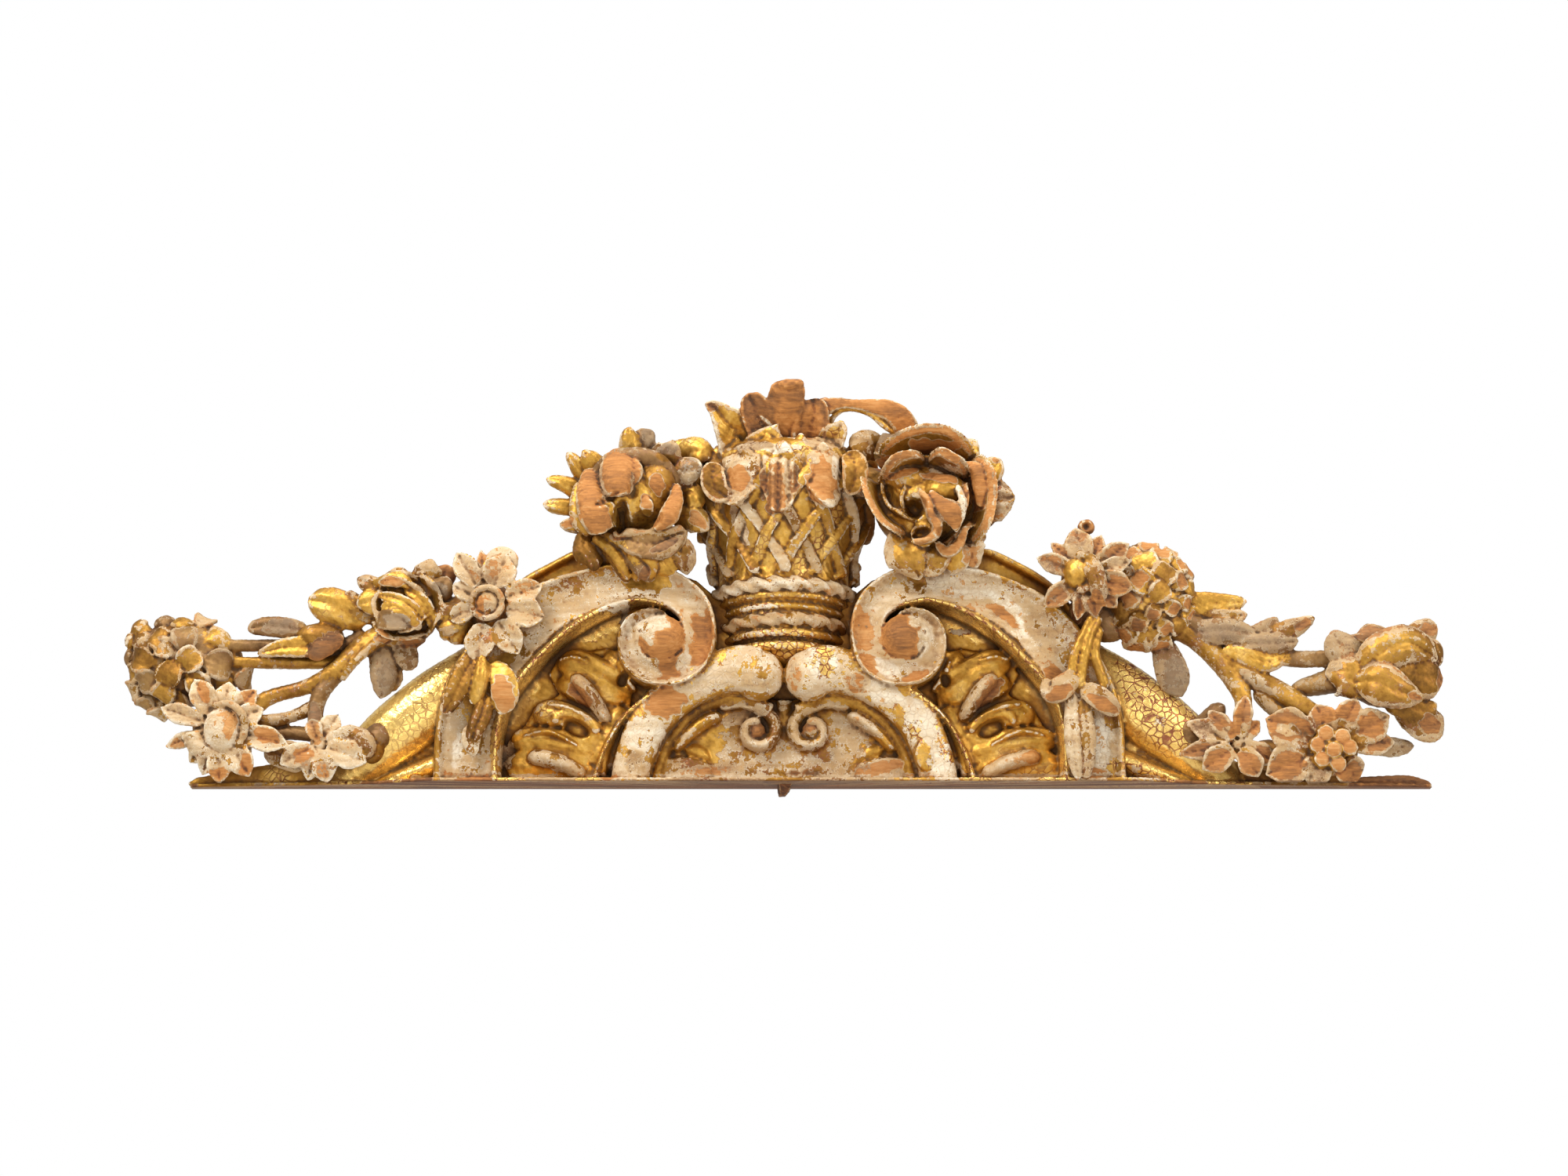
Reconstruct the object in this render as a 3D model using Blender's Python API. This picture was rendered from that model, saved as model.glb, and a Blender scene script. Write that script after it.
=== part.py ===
"""A carved giltwood overdoor panel, made to be fixed to a wall above a door.

Boards glued edge to edge are carved as one work. Two arches that end in scrolls frame a basket of
flowers, and a garland of flowers runs out along the base on each side.

Sizes are in millimetres, and the mesh is made in metres. A place is written as x, to the right of
the middle, z, above the underside, and depth, out from the flat back. A knot of a carved band is
(x, z, half width, depth). A knot of a stem is (x, depth, z, radius), and a knot of a leaf's spine
is (x, depth, z, half width).
"""

import math

import bmesh
import bpy
import numpy as np
from mathutils import Matrix

METRES = 0.001

# The work as a whole
FIXING_HEIGHT = 60.0
BACK_WASTE = 6.0
BOARD_DEPTH = 34.0
CARVING_GRAIN = 3.8
CARVING_FACES = 9300

# The ledge under the carving
LEDGE_DEPTH = 94.0
LEDGE_THICKNESS = 4.0
LEDGE_HALF_LENGTH = 405.0
LEDGE_LEFT_END = -676.0
LEDGE_RIGHT_END = 738.0
LEDGE_END_DEPTH = 22.0

# The outer arches, each a band that ends in a scroll
ARCH_DEPTH = 92.0
ARCH_KNOTS = [
    (354, -6, 34, ARCH_DEPTH),
    (352, 30, 34, ARCH_DEPTH),
    (341, 80, 34, ARCH_DEPTH),
    (316, 130, 33, ARCH_DEPTH),
    (279, 174, 32, ARCH_DEPTH),
    (235, 207, 29, ARCH_DEPTH + 2),
    (188, 226, 26, ARCH_DEPTH + 6),
]
SCROLL_CENTRE = (141, 167)
SCROLL_START_RADIUS = 60.0
SCROLL_END_RADIUS = 8.0
SCROLL_START_WIDTH = 23.0
SCROLL_END_WIDTH = 9.5
SCROLL_TURN = 440.0
SCROLL_START_DEPTH = 100.0
SCROLL_EYE_DEPTH = 120.0

# The inner arches, which end in round knuckles that meet in the middle
INNER_DEPTH = 86.0
INNER_KNOTS = [
    (176, -6, 21, INNER_DEPTH),
    (169, 30, 22, INNER_DEPTH),
    (149, 74, 24, INNER_DEPTH),
    (114, 106, 25, INNER_DEPTH),
    (74, 124, 25, INNER_DEPTH + 4),
    (44, 127, 28, INNER_DEPTH + 10),
    (24, 120, 29, INNER_DEPTH + 12),
    (2, 110, 27, INNER_DEPTH + 8),
]
INNER_FILLET = 5.0

# The small leaf scrolls inside the inner arches
RIB_KNOTS = [(143, 4, 7, 64), (130, 45, 7, 64), (105, 77, 7, 64), (71, 96, 7, 66), (40, 96, 7, 68), (14, 85, 7, 68)]
CURL_CENTRE = (20, 60)
LEAF_SCROLL_FINGER = [(73, 79, 6, 66), (102, 63, 7, 70), (127, 37, 6, 64)]
LEAF_SCROLL_FOOT = [(153, 8, 10, 62), (125, 19, 12, 64), (87, 15, 7, 58)]

# The acanthus leaf between the arches: its lobes, and the two ribs that stand on it
ACANTHUS_LOBES = [
    [(183, 90, 14, 58), (200, 124, 14, 62), (212, 152, 9, 60)],
    [(183, 86, 18, 58), (223, 110, 21, 66), (256, 128, 19, 64), (272, 134, 9, 58)],
    [(190, 74, 16, 58), (240, 94, 15, 64), (272, 98, 9, 58)],
    [(200, 34, 16, 60), (245, 43, 13, 64), (270, 66, 11, 62), (284, 80, 7, 58)],
    [(180, 90, 18, 58), (194, 55, 18, 60), (210, 20, 20, 60)],
    [(205, 26, 18, 60), (258, 40, 16, 64), (294, 52, 12, 60), (310, 58, 7, 56)],
    [(205, 8, 20, 60), (267, 16, 20, 64), (307, 18, 18, 60), (322, 22, 9, 56)],
]
ACANTHUS_RIBS = [
    [(192, 75, 5, 72), (222, 95, 7, 78), (253, 117, 6, 74)],
    [(226, 6, 7, 74), (258, 20, 9, 80), (292, 25, 8, 76)],
]

# The swelling wings outside the outer arches
WING_KNOTS = [(340, 128, 36, 46), (392, 98, 38, 62), (446, 60, 34, 58), (488, 20, 24, 42), (505, -6, 20, 34)]
WING_ROLL_KNOTS = [(366, 36, 12, 52), (406, 18, 12, 50), (456, 2, 9, 38)]

# The board that the carving stands on: half of its outline, from the middle outwards
BOARD_OUTLINE = [
    (0, 226), (75, 214), (84, 222), (100, 236), (179, 258), (228, 272), (262, 255), (304, 229),
    (340, 180), (356, 142), (412, 112), (462, 72), (500, 22), (516, -6), (0, -6),
]

# The turned foot and body of the basket, top to bottom as (half width, z)
BASKET_PROFILE = [
    (92, 376), (99, 368), (99, 340), (97, 312), (93, 290), (86, 268), (79, 250), (77, 236), (80, 226),
    (80, 206), (72, 200), (70, 190), (74, 180), (76, 170), (66, 160), (64, 140),
]
BASKET_DEPTH_SHARE = 1.12
BASKET_ARCHING = 10.0
STRAP_COUNT = 7
STRAP_RADIUS = 5.5
ROPE_RINGS = [(80, 216, 9), (72, 174, 8)]

# The leaves folded over the rim of the basket, the plume above it and the ribbon to its right
RIM_LEAVES = [
    [(-9, 70, 384, 16), (-9, 108, 385, 20), (-9, 128, 364, 22), (-9, 132, 330, 19), (-9, 120, 299, 9)],
    [(-49, 66, 385, 18), (-53, 98, 386, 24), (-56, 118, 366, 26), (-55, 122, 337, 24), (-57, 112, 312, 12)],
    [(40, 66, 387, 18), (44, 98, 390, 24), (49, 118, 369, 26), (53, 122, 337, 24), (51, 110, 311, 12)],
    [(-94, 50, 377, 12), (-99, 78, 378, 20), (-102, 92, 361, 22), (-97, 92, 339, 20), (-89, 84, 318, 9)],
    [(89, 50, 384, 12), (92, 80, 379, 22), (94, 94, 359, 24), (92, 94, 336, 22), (89, 84, 318, 9)],
    [(76, 50, 395, 14), (80, 70, 395, 18), (83, 82, 384, 18), (85, 84, 363, 12)],
    [(-109, 40, 380, 10), (-114, 60, 382, 14), (-119, 74, 373, 14), (-117, 76, 355, 9)],
]
PLUME_LEAVES = [
    [(0, 46, 382, 26), (1, 62, 415, 32), (3, 78, 436, 22), (5, 86, 451, 19), (5, 74, 459, 18)],
    [(-18, 50, 386, 22), (-29, 60, 415, 19), (-36, 66, 438, 13), (-42, 70, 452, 6)],
    [(-37, 50, 384, 26), (-55, 58, 404, 22), (-73, 64, 425, 12), (-92, 70, 432, 5)],
    [(25, 50, 384, 22), (32, 60, 411, 20), (43, 66, 432, 14), (55, 66, 443, 8)],
    [(36, 48, 383, 22), (52, 60, 397, 20), (62, 66, 406, 11)],
    [(18, 40, 397, 20), (20, 50, 431, 16), (27, 56, 452, 10)],
    [(-13, 40, 397, 20), (-18, 50, 431, 16), (-21, 56, 452, 10)],
]
RIBBON_SPINE = [
    (36, 62, 421, 13), (59, 72, 435, 10), (89, 80, 435, 10), (117, 80, 431, 12),
    (135, 76, 419, 14), (142, 72, 398, 15), (135, 70, 374, 14),
]

# The left rose: a ball of wrapped petals, with fingers behind and a draped calyx below
LEFT_ROSE_CORE = [((-171, 62, 322), 66, 62, 60), ((-166, 104, 326), 56, 40, 46)]
LEFT_ROSE_FINGERS = [
    (-273, 66, 317), (-270, 70, 345), (-253, 72, 373), (-227, 76, 378), (-200, 92, 383), (-177, 84, 402),
    (-155, 80, 403), (-129, 76, 390), (-99, 78, 353), (-84, 84, 290), (-107, 80, 319), (-257, 62, 290),
]
LEFT_ROSE_WRAPS = [
    (150, 300, 30, 58, 20), (250, 380, 34, 60, 12), (20, 140, 30, 56, 26), (100, 215, 22, 40, 40),
    (300, 440, 22, 42, 38), (200, 330, 16, 30, 46),
]
LEFT_ROSE_CALYX = [
    [(-178, 50, 306, 22), (-205, 66, 276, 24), (-215, 70, 258, 22), (-217, 60, 244, 10)],
    [(-167, 70, 294, 24), (-161, 92, 264, 26), (-161, 92, 244, 20), (-165, 80, 230, 8)],
    [(-142, 66, 303, 20), (-119, 84, 269, 20), (-110, 80, 252, 14), (-114, 68, 239, 7)],
    [(-187, 60, 295, 20), (-190, 84, 265, 22), (-192, 84, 245, 16), (-194, 70, 235, 8)],
    [(-143, 60, 295, 20), (-137, 90, 264, 20), (-135, 90, 245, 16), (-137, 76, 232, 8)],
]

# The right rose: an open cup of spiral petals, with leaves behind
RIGHT_ROSE_CORE = [((162, 56, 323), 66, 56, 62)]
RIGHT_ROSE_CENTRE = (160, 70, 320)
RIGHT_ROSE_PETALS = [
    (-20, 130, 34, 74, 84), (95, 215, 36, 76, 80), (180, 300, 40, 78, 76), (262, 372, 38, 74, 82),
    (10, 160, 26, 56, 92), (130, 270, 26, 56, 90), (240, 390, 26, 56, 92),
    (60, 200, 14, 36, 90), (190, 330, 14, 34, 88), (310, 440, 12, 32, 90),
]
RIGHT_ROSE_LEAVES = [
    [(205, 54, 323, 14), (230, 62, 348, 14), (246, 66, 371, 7)],
    [(205, 54, 323, 16), (233, 66, 335, 18), (260, 72, 345, 9)],
    [(205, 54, 323, 16), (235, 66, 321, 18), (261, 72, 320, 9)],
    [(205, 54, 314, 16), (228, 66, 301, 16), (251, 70, 299, 8)],
    [(143, 60, 295, 20), (146, 84, 265, 26), (149, 84, 247, 18), (151, 70, 235, 9)],
    [(196, 60, 295, 20), (201, 80, 269, 22), (204, 78, 255, 15), (207, 64, 246, 8)],
    [(169, 64, 286, 20), (174, 88, 261, 24), (177, 86, 250, 16), (179, 76, 241, 8)],
    [(160, 60, 349, 22), (133, 78, 379, 24), (110, 84, 389, 16), (99, 80, 393, 8)],
    [(169, 60, 358, 22), (170, 80, 390, 22), (172, 76, 403, 12)],
    [(187, 60, 349, 22), (202, 80, 381, 22), (211, 76, 390, 12)],
]

# The left garland
LEFT_DOME = ((-684, 18, 142), 66, 44, 54)
LEFT_DOME_LOBES = 30
LEFT_LOBE_RADIUS = 14.0
LOW_DAISY_CENTRE = (-626, 66, 58)
LOW_DAISY_TIPS = [
    (-703, 60, 85), (-701, 48, 43), (-661, 62, 13), (-638, 66, 0), (-600, 66, 8), (-563, 66, 47),
    (-588, 60, 80), (-599, 54, 109), (-630, 56, 114), (-671, 62, 117),
]
LEFT_STAR_CENTRE = (-524, 64, 43)
LEFT_STAR_TIPS = [
    (-535, 66, 74), (-503, 54, 77), (-470, 66, 56), (-472, 68, 25), (-513, 64, 1), (-542, 62, 6), (-568, 62, 17),
]
SMALL_ROSE_CENTRE = (-432, 64, 201)
SMALL_ROSE_CORE = [((-433, 46, 203), 42, 34, 44)]
SMALL_ROSE_TIPS = [
    (-470, 70, 205), (-463, 60, 235), (-446, 56, 248), (-410, 58, 247), (-392, 66, 230), (-389, 74, 186),
    (-409, 66, 154), (-438, 62, 151), (-468, 66, 173),
]
LEFT_DAISY_CENTRE = (-330, 104, 202)
LEFT_DAISY_TIPS = [
    (-377, 88, 227), (-370, 92, 258), (-343, 84, 262), (-310, 92, 253), (-274, 96, 226), (-268, 96, 189),
    (-299, 96, 146), (-335, 98, 134), (-363, 92, 159), (-380, 84, 189),
]
LEFT_DAISY_STALK = [(-334, 30, 212, 30), (-331, 92, 203, 26)]
LEFT_STEMS = [
    [(-475, 44, 171, 10), (-510, 36, 152, 8), (-555, 34, 158, 7), (-635, 34, 161, 7)],
    [(-474, 42, 158, 11), (-501, 38, 141, 8), (-537, 36, 140, 7), (-635, 34, 142, 7)],
    [(-429, 44, 181, 16), (-464, 46, 170, 13), (-487, 46, 150, 12), (-514, 44, 123, 11), (-545, 40, 113, 9),
     (-586, 40, 103, 9), (-616, 44, 79, 12)],
    [(-509, 44, 130, 11), (-529, 46, 101, 10), (-534, 50, 69, 9), (-528, 54, 46, 10)],
    [(-531, 46, 90, 9), (-563, 42, 78, 7), (-599, 44, 72, 8)],
    [(-600, 34, 57, 7), (-564, 34, 63, 7), (-528, 38, 57, 8)],
    [(-393, 44, 190, 22), (-357, 56, 202, 22), (-331, 80, 205, 20)],
    [(-358, 30, 192, 26), (-322, 40, 182, 26)],
    [(-478, 44, 47, 16), (-446, 50, 60, 20)],
]
LEFT_KNOBS = [((-527, 46, 170), 26, 16, 16)]
LEFT_LEAVES = [
    [(-534, 46, 169, 12), (-563, 44, 176, 13), (-590, 40, 178, 13), (-612, 36, 180, 9)],
    [(-534, 46, 147, 12), (-561, 48, 151, 14), (-590, 42, 155, 7)],
    [(-473, 46, 190, 14), (-495, 52, 194, 22), (-522, 54, 200, 20), (-541, 50, 209, 14)],
    [(-464, 46, 190, 14), (-482, 50, 203, 18), (-489, 48, 220, 10)],
    [(-467, 40, 169, 14), (-457, 46, 147, 18), (-452, 48, 122, 17), (-444, 44, 99, 8)],
    [(-429, 44, 168, 14), (-427, 48, 147, 13), (-425, 46, 129, 9)],
]
LEFT_BASE = [[(-679, 8, 6, 5), (-601, 16, 13, 12), (-520, 22, 18, 18), (-394, 26, 27, 24)]]

# The leaves that hang down the left arch
LEFT_DROP = [
    [(-329, 100, 139, 14), (-343, 108, 111, 15), (-357, 104, 81, 7)],
    [(-322, 100, 134, 14), (-313, 108, 109, 15), (-301, 102, 83, 7)],
    [(-301, 100, 125, 10), (-290, 108, 93, 15), (-287, 100, 59, 8)],
    [(-324, 98, 95, 16), (-334, 104, 63, 20), (-345, 102, 32, 16), (-351, 96, 2, 9)],
    [(-319, 98, 86, 12), (-318, 104, 59, 16), (-322, 100, 32, 8)],
]

# The right garland
RIGHT_DAISY_CENTRE = (336, 104, 229)
RIGHT_DAISY_TIPS = [
    (286, 92, 251), (292, 94, 230), (312, 92, 264), (325, 84, 290), (343, 84, 292), (387, 86, 273),
    (401, 88, 257), (382, 98, 220), (375, 98, 201), (347, 98, 183), (319, 96, 188), (296, 92, 200),
]
RIGHT_DAISY_STALK = [(345, 30, 233, 34), (339, 92, 228, 26)]
RIGHT_DOME = ((417, 40, 216), 46, 38, 56)
RIGHT_DOME_LOBES = 34
RIGHT_LOBE_RADIUS = 11.0
RIGHT_STAR_CENTRE = (511, 64, 43)
RIGHT_STAR_TIPS = [
    (523, 66, 92), (478, 58, 86), (457, 54, 75), (479, 66, 9), (538, 66, 6), (550, 62, 45), (455, 56, 41),
]
LOW_FLOWER_CENTRE = (614, 66, 43)
LOW_FLOWER_TIPS = [
    (559, 70, 89), (550, 70, 13), (583, 66, 1), (670, 56, 3), (702, 64, 61), (685, 70, 85),
    (650, 66, 106), (605, 66, 98),
]
LOW_FLOWER_BERRIES = [
    (613, 76, 65), (634, 76, 62), (604, 76, 50), (624, 80, 46), (642, 76, 48), (609, 78, 35), (628, 78, 30),
    (616, 70, 20),
]
TULIP_CORE = [((680, 50, 125), 46, 34, 42)]
TULIP_PETALS = [
    [(663, 70, 107, 20), (685, 84, 132, 26), (720, 76, 154, 24), (747, 58, 135, 10)],
    [(654, 70, 98, 20), (688, 84, 92, 26), (718, 80, 106, 18), (735, 70, 114, 8)],
    [(669, 54, 109, 20), (709, 58, 119, 30), (751, 50, 125, 20)],
    [(659, 60, 117, 20), (643, 66, 134, 26), (639, 64, 145, 16)],
    [(678, 50, 127, 20), (667, 52, 161, 24), (672, 46, 181, 14)],
    [(697, 44, 137, 20), (715, 44, 171, 22), (729, 40, 184, 14), (748, 36, 178, 8)],
    [(687, 50, 91, 20), (714, 52, 78, 22), (747, 46, 67, 16)],
    [(655, 56, 135, 16), (636, 60, 160, 16), (635, 56, 175, 9)],
    [(649, 60, 108, 18), (634, 62, 108, 24), (629, 60, 124, 14)],
]
RIGHT_STEMS = [
    [(429, 48, 199, 18), (482, 46, 181, 11), (536, 44, 165, 11), (581, 42, 148, 10), (643, 42, 139, 9)],
    [(438, 46, 181, 14), (473, 46, 162, 12), (505, 48, 134, 14), (529, 48, 109, 12), (525, 52, 73, 10),
     (515, 56, 51, 9)],
    [(500, 46, 144, 10), (545, 48, 126, 12), (580, 48, 105, 11), (616, 50, 74, 12)],
    [(536, 46, 110, 10), (563, 46, 92, 9), (589, 48, 74, 9)],
    [(608, 42, 121, 9), (643, 44, 122, 13), (670, 46, 124, 16)],
    [(608, 42, 112, 8), (634, 46, 92, 12), (652, 46, 101, 12)],
    [(384, 40, 218, 30), (429, 44, 208, 28)],
    [(340, 30, 219, 30), (358, 40, 191, 26), (393, 44, 181, 22)],
    [(500, 46, 92, 12), (473, 46, 65, 16), (447, 44, 56, 18)],
    [(527, 46, 38, 16), (572, 46, 29, 20)],
]
RIGHT_LEAVES = [
    [(427, 46, 163, 14), (434, 52, 136, 20), (441, 52, 109, 19), (450, 48, 93, 9)],
    [(473, 46, 190, 10), (500, 50, 193, 14), (532, 46, 208, 6)],
    [(500, 46, 181, 12), (535, 52, 180, 15), (571, 50, 181, 14), (602, 44, 192, 5)],
    [(500, 48, 168, 10), (535, 52, 161, 14), (580, 48, 168, 8)],
    [(464, 46, 203, 10), (491, 50, 206, 12), (529, 46, 212, 6)],
    [(661, 46, 52, 14), (688, 44, 49, 10), (712, 38, 46, 6)],
    [(663, 30, 13, 14), (699, 24, 16, 12), (736, 16, 11, 6)],
]
RIGHT_BASE = [[(739, 8, 6, 5), (682, 14, 9, 9), (592, 20, 12, 12), (394, 26, 27, 22)]]

# The leaves that hang down the right arch
RIGHT_DROP = [
    [(354, 96, 183, 10), (340, 102, 161, 10), (331, 104, 129, 9), (318, 104, 94, 10)],
    [(363, 96, 183, 9), (352, 102, 147, 9), (354, 104, 112, 10), (357, 104, 81, 9)],
    [(335, 100, 114, 12), (311, 106, 95, 16), (292, 102, 82, 8)],
    [(340, 100, 110, 14), (362, 106, 94, 16), (379, 102, 85, 8)],
    [(338, 98, 90, 16), (339, 106, 58, 20), (338, 104, 28, 16), (340, 96, 0, 8)],
    [(328, 98, 90, 12), (317, 104, 63, 14), (312, 100, 37, 7)],
]

# The broken splinter that hangs under the middle: its section as (x, depth) at the top and at the tip
SPLINTER_TOP = [(-8, 30), (8, 28), (9, 62), (-6, 60)]
SPLINTER_TIP = [(-5, 36), (4, 34), (5, 52), (-2, 54)]
SPLINTER_DROP = 13.0


def unit(vector):
    """The vector or vectors at length one."""
    vector = np.asarray(vector, float)
    return vector / np.maximum(np.linalg.norm(vector, axis=-1, keepdims=True), 1e-9)


def spline(knots, count, plan):
    """Evenly spaced samples of a smooth curve through the knots, spaced by their first columns."""
    knots = np.asarray(knots, float)
    ends = np.vstack([2 * knots[0] - knots[1], knots, 2 * knots[-1] - knots[-2]])
    share = np.linspace(0, 1, 12, endpoint=False)[:, None]
    fine = [
        0.5 * (2 * b + (c - a) * share + (2 * a - 5 * b + 4 * c - d) * share**2
               + (3 * b - a - 3 * c + d) * share**3)
        for a, b, c, d in zip(ends, ends[1:], ends[2:], ends[3:])
    ]
    fine = np.vstack([*fine, knots[-1:]])
    along = np.concatenate([[0], np.cumsum(np.linalg.norm(np.diff(fine[:, :plan], axis=0), axis=1))])
    places = np.linspace(0, along[-1], count)
    return np.column_stack([np.interp(places, along, column) for column in fine.T])


def facing_out(points, faces):
    """The form with its faces turned to point out."""
    corners = points[faces]
    volume = 0.0
    for a, b, c in ((0, 1, 2), (0, 2, 3)):
        volume += np.einsum("ij,ij->", corners[:, a], np.cross(corners[:, b], corners[:, c]))
    return points, faces if volume > 0 else faces[:, ::-1]


def closed_sheet(front, rear):
    """A closed form between two grids of points, with walls along their rims."""
    rows, columns = front.shape[:2]
    index = np.arange(rows * columns).reshape(rows, columns)
    quads = np.stack([index[:-1, :-1], index[1:, :-1], index[1:, 1:], index[:-1, 1:]], -1).reshape(-1, 4)
    rim = np.concatenate([index[0, :-1], index[:-1, -1], index[-1, :0:-1], index[:0:-1, 0]])
    after = np.roll(rim, -1)
    far = rows * columns
    walls = np.stack([rim, after, after + far, rim + far], -1)
    faces = np.concatenate([quads, quads[:, ::-1] + far, walls])
    return facing_out(np.concatenate([front.reshape(-1, 3), rear.reshape(-1, 3)]), faces)


def closed_tube(rings):
    """A closed form through rings of points, with a flat fan on each end."""
    count, sides = rings.shape[:2]
    index = np.arange(count * sides).reshape(count, sides)
    after = np.roll(index, -1, axis=1)
    skin = np.stack([index[:-1], after[:-1], after[1:], index[1:]], -1).reshape(-1, 4)
    hubs = count * sides + np.arange(2)
    near = np.stack([np.full(sides, hubs[0]), after[0], index[0], index[0]], -1)
    far = np.stack([np.full(sides, hubs[1]), index[-1], after[-1], after[-1]], -1)
    points = np.concatenate([rings.reshape(-1, 3), rings[[0, -1]].mean(axis=1)])
    return facing_out(points, np.concatenate([skin, near, far]))


def rounded(count, length, radius):
    """A share at each of count places along a length that draws both ends in to a round."""
    along = np.linspace(0, length, count)
    from_end = np.minimum(along, length - along) / max(radius, 1e-6)
    return np.sqrt(1 - (1 - np.clip(from_end, 0, 1)) ** 2)


def band(knots, shape, steps=20, across=9, back=-BACK_WASTE, round_ends=False):
    """A carved band: its front stands over a line in the plane of the board, and its back is flat.

    shape(v) is the front's depth as a share, from one edge at -1 to the other at 1.
    """
    path = spline(knots, steps, 2)
    run = unit(np.gradient(path[:, :2], axis=0))
    aside = np.stack([-run[:, 1], run[:, 0]], -1)
    half_width, depth = path[:, 2].copy(), path[:, 3].copy()
    if round_ends:
        length = np.linalg.norm(np.diff(path[:, :2], axis=0), axis=1).sum()
        ends = rounded(steps, length, half_width.mean() * 1.2)
        half_width *= np.maximum(ends, 0.12)
        depth = back + (depth - back) * (0.82 + 0.18 * ends)
    v = np.linspace(-1, 1, across)
    place = path[:, None, :2] + aside[:, None] * (half_width[:, None] * v)[..., None]
    front_depth = back + (depth[:, None] - back) * shape(v)
    front = np.stack([place[..., 0], -front_depth, place[..., 1]], -1)
    rear = np.stack([place[..., 0], np.full_like(front_depth, -back), place[..., 1]], -1)
    return closed_sheet(front, rear)


def arch_section(v):
    """A shallow hollow between two raised fillets."""
    return 0.93 + 0.04 * v**2 - 0.06 * np.exp(-((np.abs(v) - 0.72) / 0.08) ** 2) + 0.03 * (np.abs(v) > 0.8)


def crowned_section(v):
    """A low crown that falls away at the edges."""
    return 1 - 0.10 * v**2 - 0.08 * np.abs(v) ** 6


def round_section(v):
    """A full round."""
    return 0.62 + 0.38 * np.sqrt(np.clip(1 - v**2, 0, 1))


def lobe_section(v):
    """A leaf lobe: raised along the middle, with soft edges."""
    return 1 - 0.16 * np.abs(v) ** 2.2


def volute(centre, radii, widths, depths, turn, start_angle=90.0, steps=40):
    """The knots of a band that winds in about a centre, anticlockwise from start_angle degrees."""
    share = np.linspace(0, 1, steps)
    angle = np.radians(start_angle + turn * share)
    radius = radii[0] + (radii[1] - radii[0]) * share
    width = widths[0] + (widths[1] - widths[0]) * share
    depth = depths[0] + (depths[1] - depths[0]) * share**1.5
    return np.column_stack([
        centre[0] + radius * np.cos(angle), centre[1] + radius * np.sin(angle), width, depth,
    ])


def mirrored(form):
    """The form on the other side of the middle."""
    points, faces = form
    return points * [-1, 1, 1], faces[:, ::-1]


def both_sides(form):
    """A form and its mirror image."""
    return [form, mirrored(form)]


def prism(outline, back, front):
    """A slab with this outline in the plane of the board."""
    outline = np.asarray(outline, float)
    middle = outline.mean(axis=0)
    rings = []
    for depth in (back, front):
        rings.append(np.column_stack([outline[:, 0], np.full(len(outline), -depth), outline[:, 1]]))
    points, faces = closed_tube(np.array(rings))
    points[-2:, 0], points[-2:, 2] = middle
    return points, faces


def half_turned(profile, depth_share, arching, sides=24):
    """A turned body cut flat behind, from a profile of (half width, z). It arches up to the front."""
    angle = np.linspace(0, math.pi, sides)
    rings = []
    for half_width, z in profile:
        x = half_width * np.cos(angle)
        y = -half_width * depth_share * np.sin(angle)
        front = np.column_stack([x, y, z + arching * np.sin(angle)])
        back = np.array([[-half_width, BACK_WASTE, z], [half_width, BACK_WASTE, z]])
        rings.append(np.vstack([front, back]))
    return closed_tube(np.array(rings))


def stem(knots, steps=16, sides=8, flat=1.0):
    """A round stem through the knots. flat is its depth as a share of its width."""
    path = spline(knots, steps, 3)
    centre = path[:, :3] * [1, -1, 1]
    run = unit(np.gradient(centre, axis=0))
    front = np.array([0.0, -1.0, 0.0])
    aside = unit(np.cross(run, front) + [1e-4, 0, 1e-4])
    out = unit(np.cross(aside, run))
    length = np.linalg.norm(np.diff(centre, axis=0), axis=1).sum()
    radius = path[:, 3] * np.maximum(rounded(steps, length, path[:, 3].mean()), 0.25)
    angle = np.linspace(0, 2 * math.pi, sides, endpoint=False)
    rings = (
        centre[:, None]
        + aside[:, None] * (radius[:, None] * np.cos(angle))[..., None]
        + out[:, None] * (radius[:, None] * flat * np.sin(angle))[..., None]
    )
    return closed_tube(rings)


def leaf(knots, face=(0, 1, 0), thickness=7.0, cup=0.16, crease=1.6, steps=14, across=9):
    """A leaf or petal along a spine, with its edges lifted towards the way it faces."""
    path = spline(knots, steps, 3)
    centre = path[:, :3]
    run = unit(np.gradient(centre, axis=0))
    aside = unit(np.cross(run, np.broadcast_to(face, run.shape)))
    normal = unit(np.cross(aside, run))
    length = np.linalg.norm(np.diff(centre, axis=0), axis=1).sum()
    half_width = path[:, 3] * np.maximum(rounded(steps, length, path[:, 3].mean() * 0.8), 0.3)
    v = np.linspace(-1, 1, across)
    lift = cup * half_width[:, None] * v**2 - crease * np.exp(-((v / 0.25) ** 2))
    middle = centre[:, None] + aside[:, None] * (half_width[:, None] * v)[..., None] + normal[:, None] * lift[..., None]
    thick = (thickness / 2) * (1 - 0.45 * np.abs(v) ** 3)
    gap = normal[:, None] * thick[..., None]
    flip = np.array([1, -1, 1])
    return closed_sheet((middle + gap) * flip, (middle - gap) * flip)


def knob(centre, x_radius, depth_radius, z_radius, rings=9, sides=14):
    """A rounded lump."""
    rise = np.linspace(-math.pi / 2 + 0.12, math.pi / 2 - 0.12, rings)[:, None]
    turn = np.linspace(0, 2 * math.pi, sides, endpoint=False)
    x = centre[0] + x_radius * np.cos(rise) * np.cos(turn)
    depth = centre[1] + depth_radius * np.sin(rise) + 0 * turn
    z = centre[2] + z_radius * np.cos(rise) * np.sin(turn)
    return closed_tube(np.stack([x, -depth, z], -1))


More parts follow.
